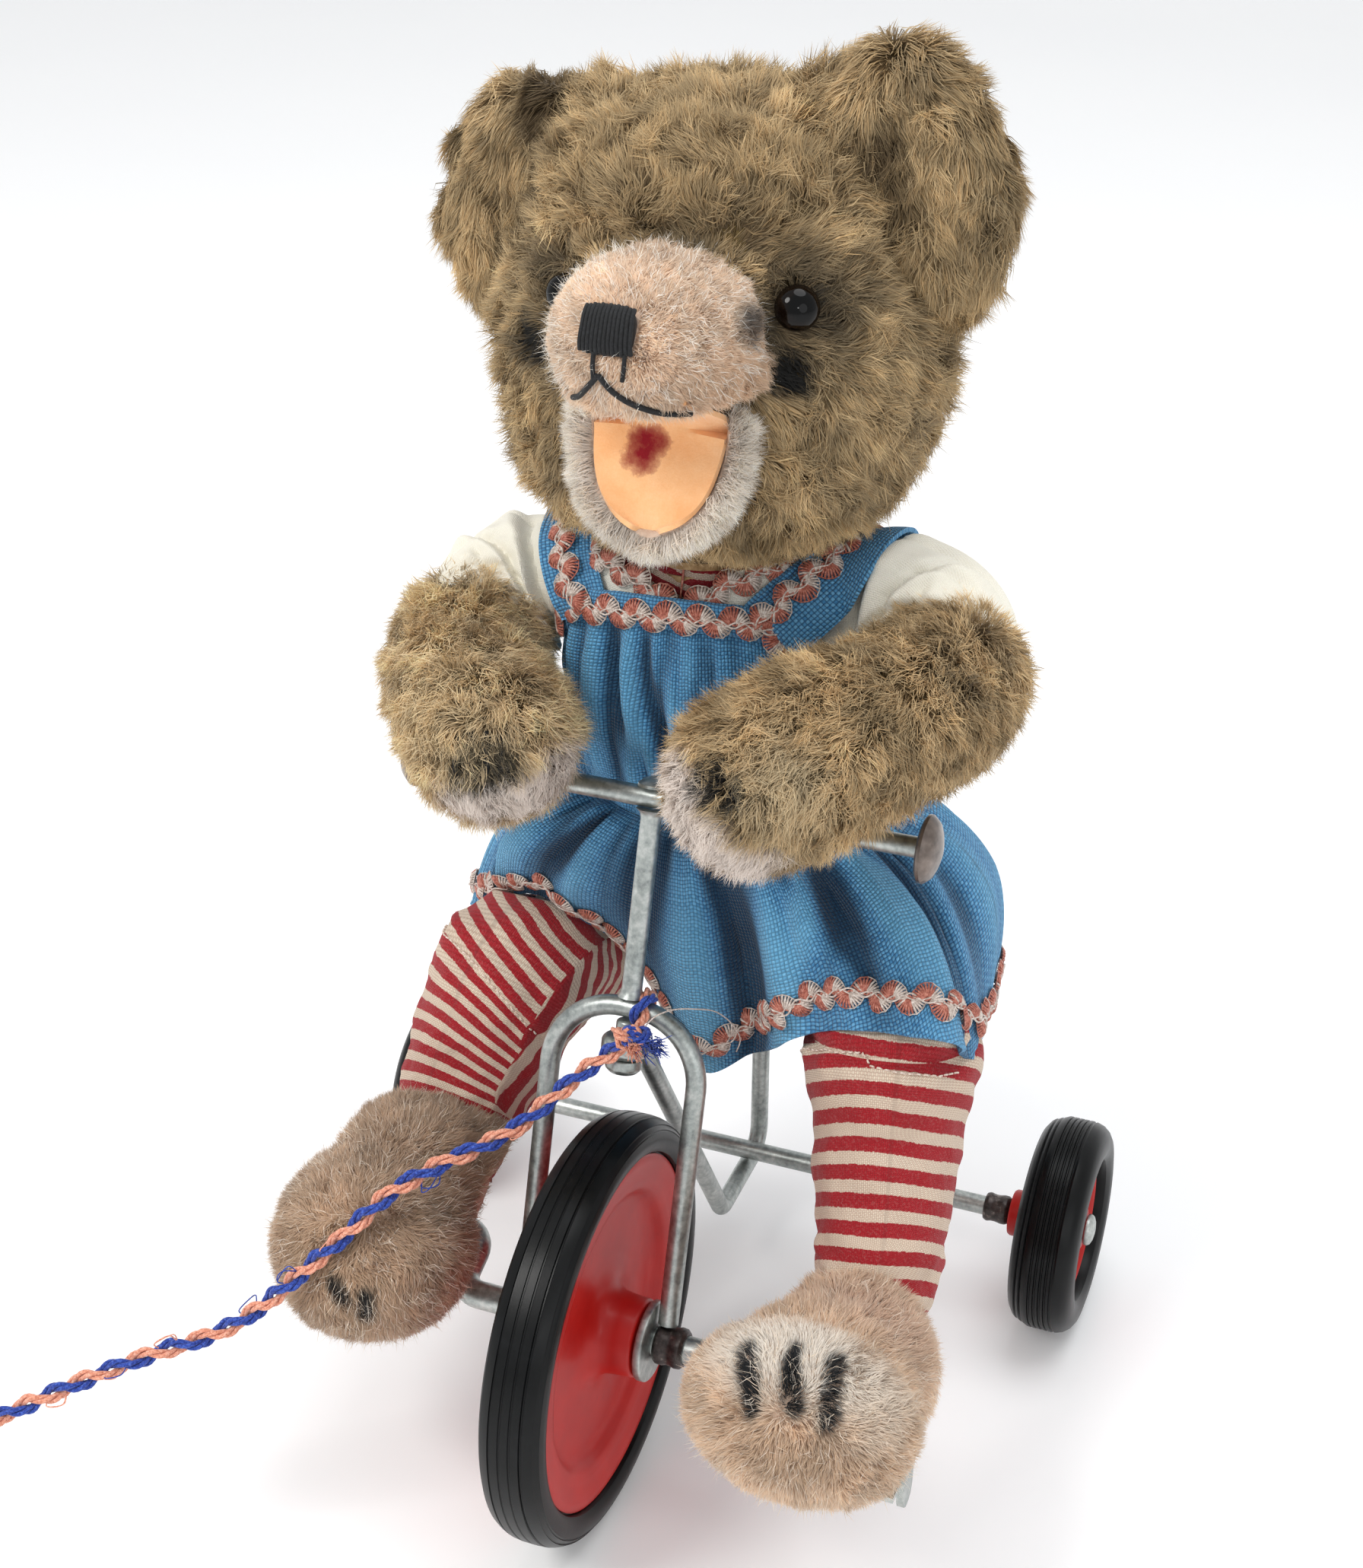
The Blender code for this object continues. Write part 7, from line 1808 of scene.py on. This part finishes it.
# sleeves
SLEEVES = {"left": [(22.5, 61.5, 175.5), (30.0, 61.0, 176.8), (38.5, 60, 177.6), (45.4, 57.4, 175.6), (50.8, 53.0, 171.6)],
           "right": [(-22.5, 61.5, 173.5), (-29.5, 61, 173.6), (-36.5, 59.5, 172.0), (-41.0, 56, 168.8), (-43.6, 51.2, 164.8)]}
SLEEVE_R = {"left": (8.6, 11.0, 13.4, 13.9, 12.9), "right": (8.6, 10.8, 13.0, 13.6, 12.9)}
slv = {}
for n in ("left", "right"):
    s = 1 if n == "left" else -1
    P = spline(SLEEVES[n], 14)
    R_ = [x[0] for x in spline([(r, 0, 0) for r in SLEEVE_R[n]], 14)]
    fr = frames(P)
    rows = []
    th = 2 * math.pi * np.arange(190) / 190
    for i, ((p, t, a_, b_), r) in enumerate(zip(fr, R_)):
        k = i / (len(fr) - 1)
        # th0 faces the front; psi runs up from it. Two creases lie along the strap, others fan out to the cuff
        fv = unit(A((0.32 * s, -0.82, 0.42)))
        th0 = math.atan2(float(b_ @ fv), float(a_ @ fv))
        up_ = 1.0 if float((-math.sin(th0) * a_ + math.cos(th0) * b_)[2]) > 0 else -1.0
        psi = (((th - th0) * up_ + math.pi) % (2 * math.pi)) - math.pi

        def win(lo, hi):
            return np.clip((psi - lo) * 3, 0, 1) * np.clip((hi - psi) * 3, 0, 1)

        def across(kc, w, a0, lo, hi):
            return (-a0 * np.exp(-((k - kc) / w) ** 2) + 0.75 * a0 * np.exp(-((k - kc - 2.1 * w) / (1.4 * w)) ** 2)) * win(lo, hi)
        cr = 0.3 * np.sin(5 * th + 2.0 * k * s + ph[13])
        cr = cr + across(0.37 + 0.04 * psi, 0.035, 1.9, -1.5, 1.5) + across(0.55 + 0.20 * np.maximum(psi, 0) - 0.05 * psi, 0.03, 1.5, -0.9, 1.25)
        cr = cr + across(0.74 - 0.16 * psi, 0.026, 0.9, -1.2, 0.5) + across(0.5 - 0.06 * psi, 0.03, 1.1, 1.7, 3.1) + across(0.6 + 0.1 * psi, 0.03, 1.1, -3.1, -1.6)
        for t0, sl_, w0, a0, k0, kw in ((-0.75, 1.0, 0.08, 1.3, 0.62, 0.26), (-0.15, 1.3, 0.07, 1.1, 0.68, 0.22), (0.55, 0.8, 0.07, 1.0, 0.7, 0.22), (1.15, 0.5, 0.09, 1.2, 0.6, 0.3), (1.9, -0.5, 0.1, 1.2, 0.6, 0.3), (2.7, 0.4, 0.1, 1.1, 0.6, 0.3), (-1.4, 0.6, 0.1, 1.3, 0.6, 0.3), (-2.2, -0.4, 0.1, 1.1, 0.6, 0.3)):
            dth = (psi - (t0 + sl_ * (k - k0)) + math.pi) % (2 * math.pi) - math.pi
            cr = cr + (-a0 * np.exp(-(dth / w0) ** 2) + 0.5 * a0 * np.exp(-((dth - 2.3 * w0) / (1.6 * w0)) ** 2)) * math.exp(-((k - k0) / kw) ** 2)
        cr = cr * (1 - 0.75 * max(0, (k - 0.86) / 0.14))
        ring_ = p + (r + cr)[:, None] * (np.cos(th)[:, None] * a_ + np.sin(th)[:, None] * b_)
        rows.append(ring_)
    last = A(rows[-1])
    ctr = last.mean(0)
    t_ = fr[-1][1]
    rows[-3:] = [r_ for r_ in rows[-3:]]
    rows.append(ctr + (last - ctr) * 1.012 + t_ * 0.9)
    rows.append(ctr + (last - ctr) * 1.0 + t_ * 1.5)
    rows.append(ctr + (last - ctr) * 0.95 + t_ * 1.4)
    rows.append(ctr + (last - ctr) * 0.9 + t_ * 0.6)
    so, sg, sn = cloth("sleeve_cotton_" + n, rows, M["cream"], None, (), closed_u=True, thick=0.6)
    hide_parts("sleeve_" + n)
    st_, en = A(SLEEVES[n][1], float), A(SLEEVES[n][-1], float)
    tuple(to_world([st_])[0])
    tuple(to_world([en])[0])
    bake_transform(so)
    slv[n] = (A([q[0] for q in fr]), A(R_) + 1.1)


def pushed(P, n, gap=0.9):
    """Moves points off the sleeve."""
    C, R_ = slv[n]
    for _ in range(2):
        d = P[:, None, :] - C[None]
        L_ = np.linalg.norm(d, axis=2)
        k = np.argmin(L_ - R_[None], axis=1)
        need = R_[k] + gap - L_[np.arange(len(P)), k]
        P = P + unit(d[np.arange(len(P)), k]) * np.clip(need, 0, 6)[:, None]
    return P


STRAPS = {"left": dict(inner=3.8, outer=9.4, line=[(15.4, 42.0, 176.2), (18.2, 42.0, 180.3), (23.6, 47.6, 185.8), (28.0, 56, 189.4), (29.4, 66, 188.6), (28.2, 72.0, 183.8), (25.2, 74.6, 178.4), (21.8, 74.4, 173.0), (20.2, 73.0, 167.0)],
                       nrm=[(0.25, -0.9, 0.3), (0.3, -0.8, 0.5), (0.35, -0.5, 0.79), (0.3, -0.15, 0.94), (0.25, 0.2, 0.95), (0.35, 0.65, 0.66), (0.48, 0.78, 0.4), (0.62, 0.77, 0.15), (0.74, 0.66, 0.1)]),
          "right": dict(inner=6.2, outer=5.2, line=[(-18.6, 42.0, 174.2), (-20.3, 42.2, 178.0), (-24.2, 47.0, 183.0), (-27.2, 54, 186.6), (-28.2, 64, 187), (-26.8, 71.0, 182.6), (-24.2, 73.9, 177.6), (-21.2, 74.2, 172.4), (-19.6, 72.6, 166.6)],
                        nrm=[(-0.25, -0.9, 0.3), (-0.3, -0.8, 0.5), (-0.35, -0.5, 0.79), (-0.3, -0.15, 0.94), (-0.25, 0.2, 0.95), (-0.35, 0.65, 0.66), (-0.48, 0.78, 0.4), (-0.62, 0.77, 0.15), (-0.74, 0.66, 0.1)])}
for n, S_ in STRAPS.items():
    s = 1 if n == "left" else -1
    cp, cn = A(spline(S_["line"], 10)), unit(A(spline(S_["nrm"], 10)))
    ct = unit(np.gradient(cp, axis=0))
    cw = unit(np.cross(ct, cn)) * 1.0
    cw = cw * np.sign((cw[:, 0] * s))[:, None]          # outwards
    us = np.concatenate([np.linspace(-S_["inner"], -2.6, 5)[:-1], np.linspace(-2.6, 2.6, 9), np.linspace(2.6, S_["outer"], 8)[1:]])
    rows = []
    for i in range(len(cp)):
        k = i / (len(cp) - 1)
        prof_ = -0.65 * np.exp(-((us + 3.0 + (0.2 if s > 0 else 0)) / 0.5) ** 2) + 0.35 * np.exp(-((us + 4.4) / 0.9) ** 2) - 0.03 * (us - 1) ** 2 * 0.6 + 0.18 * np.sin(us * 0.9 + k * 9)
        rows.append(cp[i] + cw[i] * us[:, None] + cn[i] * prof_[:, None])
    g = A(rows)
    g = pushed(g.reshape(-1, 3), n, 0.9).reshape(g.shape)
    for _ in range(3):
        g[1:-1] = (g[:-2] + 2 * g[1:-1] + g[2:]) / 4
    so, sg, sn = cloth("strap_linen_" + n, g, M["strap"], "frame", ("strap_" + n,), thick=0.9)
    up = sn * np.sign((sn * cn[:, None, :]).sum(2, keepdims=True))
    jc = int(np.argmin(np.abs(us)))
    sb = braid_on("strap_braid_" + n, [sg[i, jc] for i in range(6, len(cp) - 10)], [up[i, jc] for i in range(6, len(cp) - 10)], "frame", 6.2, lift=0.35, start=1 if s > 0 else 0)

# knot of the cord round the crown
knot_c = A((3.4, 11.6, 104.0))
pts = []
for i in range(61):
    t = 2 * math.pi * i / 60
    pts.append(knot_c + A((0.4, -0.8, 0.6)) + A((math.sin(t) + 2 * math.sin(2 * t), 0, 0)) * 0.86 + A((0, 0.35, 1)) * (math.cos(t) - 2 * math.cos(2 * t)) * 0.52 + A((0, -1, 0)) * (math.sin(3 * t) * 0.9))
pk = rope(pts)
wire_c = F(0, 0, CROWN)
loop_ = [A((2.6 + 0.9 * math.sin(t), 0, 0)) + A((0, wire_c[1], wire_c[2] - 0.6)) + 3.5 * (math.cos(t) * A((0, -1, -0.2)) + math.sin(t) * A((0, -0.2, 0.86))) for t in np.linspace(-0.3, 2 * math.pi - 0.7, 40)]
pl = rope(loop_)
v, f = joined([pk[:2], pl[:2]])
knot_ob = build("crown_knot", v, f, [M["cordsalmon"], M["cordblue"]], "fork", ("cord_knot",), sharp=0, face_mat=[0 if q % 2 else 1 for q in list(pk[2]) + list(pl[2])])
# tufts of cut yarn at the knot
rt = np.random.default_rng(21)
for col, mt, c0, out in (("blue", "cordblue", knot_c + A((4.6, -1.6, 0.4)), A((0.8, -0.7, 0.25))), ("salmon", "cordsalmon", knot_c + A((1.8, -3.2, 0.6)), A((0.35, -0.9, 0.1)))):
    parts = []
    for k in range(110 if col == "blue" else 60):
        a = c0 + rt.normal(size=3) * (0.95 if col == "blue" else 0.5)
        d = unit(out + rt.normal(size=3) * 0.32)
        q = unit(rt.normal(size=3))
        L_ = rt.uniform(1.6, 3.6)
        parts.append(tube([a, a + d * L_ * 0.35 + q * 0.2, a + d * L_ * 0.7 + q * 0.55, a + d * L_ + q * 1.0], [0.13, 0.12, 0.1, 0.06], 4)[:2])
    v, f = joined(parts)
    build("knot_tuft_" + col, v, f, M[mt], "fork", (), sharp=0)
# a loose white thread by the knot
th_ = spline([A((7.0, 9.8, 108.5)), A((9.9, 8.0, 112.6)), A((11.8, 12.0, 112.0)), A((13.5, 18.0, 108.9)), A((14.5, 26.0, 103.8)), A((15.2, 32.0, 98.4)), A((15.9, 36.0, 93.3)), A((15.9, 38.0, 89.7)), A((14.8, 39.0, 86.2))], 8)
v, f, uv = tube(th_, 0.14, 6)
build("loose_thread", v, f, M["white"], "fork", (), sharp=0)
# short frayed loops that stand off the cord
parts, mm_ = [], []
for q, (k, L_, mt, sd) in enumerate(((0.30, 3.2, 0, 1), (0.45, 2.4, 1, 2), (0.52, 3.4, 0, 3), (0.60, 2.2, 0, 4), (0.71, 3.4, 1, 5), (0.78, 2.6, 0, 6), (0.86, 3.4, 1, 7), (0.93, 3.2, 0, 8), (0.18, 1.9, 1, 9))):
    i = int(k * (len(cord_line) - 1))
    p, t = cord_line[i], unit(cord_line[min(i + 4, len(cord_line) - 1)] - cord_line[i - 4])
    rr = np.random.default_rng(sd)
    o = unit(np.cross(t, rr.normal(size=3)))
    o = unit(o + A((0, -0.5, 0.4)))
    for w_ in range(2 if L_ > 3 else 1):
        e = t * rr.uniform(-1.5, 1.5)
        v, f, uv = tube(spline([p + o * 1.2 - t * 2.2, p + o * (1.2 + L_ * 0.7) - t * 1.2 + e, p + o * (1.1 + L_ * 0.75) + t * 0.4 + e, p + o * (1.2 + L_ * 0.4) + t * 1.8, p + o * 1.1 + t * 1.6], 6), 0.13, 5)
        parts.append((v, f))
        mm_ += [mt] * len(f)
v, f = joined(parts)
fray = build("cord_frayed_loops", v, f, [M["cordblue"], M["cordsalmon"]], "fork", (), sharp=0, face_mat=mm_)
# loop at the far end, just outside the view
e0, e1 = cord_line[-1], unit(cord_line[-1] - cord_line[-6])
pts = [e0 + e1 * (-1.0 + 5.0 * (1 - math.cos(t)) / 2) + np.cross(e1, (0, 0, 1)) * 2.6 * math.sin(t) + A((0, 0, 0.5 * math.sin(2 * t))) for t in np.linspace(0.15, 2 * math.pi - 0.15, 26)]
v, f, idx, uv = rope(pts)
end_knot = build("cord_end_knot", v, f, [M["cordblue"], M["cordsalmon"]], "fork", (), uv=uv, sharp=0, face_mat=idx)
tuple(float(x) for x in to_world([cord_line[0]])[0])
[tuple(float(x) for x in p) for p in to_world(cord_line)]

# =============================================================== floor and backdrop
me = bpy.data.meshes.new("floor")
pr = [(-3.0, 0.0)] + [(1.6 + 1.2 * math.sin(a), 1.2 - 1.2 * math.cos(a)) for a in np.linspace(0, math.pi / 2, 14)] + [(2.8, 3.5)]
vs, fs = [], []
for y, z in pr:
    vs += [(-4.0, y, z), (4.0, y, z)]
for i in range(len(pr) - 1):
    fs.append((2 * i, 2 * i + 1, 2 * i + 3, 2 * i + 2))
me.from_pydata(vs, [], fs)
me.polygons.foreach_set("use_smooth", np.ones(len(me.polygons), bool))
fl = bpy.data.objects.new("floor", me)
sc.collection.objects.link(fl)
fm = Mat("floor_pale")
fm.set(colour=fm.ramp(fm.noise(3, 2), [(0.3, (0.955, 0.955, 0.96)), (0.7, (0.97, 0.97, 0.97))]), rough=0.7, spec=0.1)
fm.b.inputs["Emission Color"].default_value = (1, 1, 1, 1)
fm.b.inputs["Emission Strength"].default_value = 0.06
me.materials.append(fm.m)
fl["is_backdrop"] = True


def plain(b):
    try:
        return [[float(x) for x in p] for p in b]
    except TypeError:
        return str(b)


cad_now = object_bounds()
{"cad": plain(CAD_BOX), "visual": plain(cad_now)}
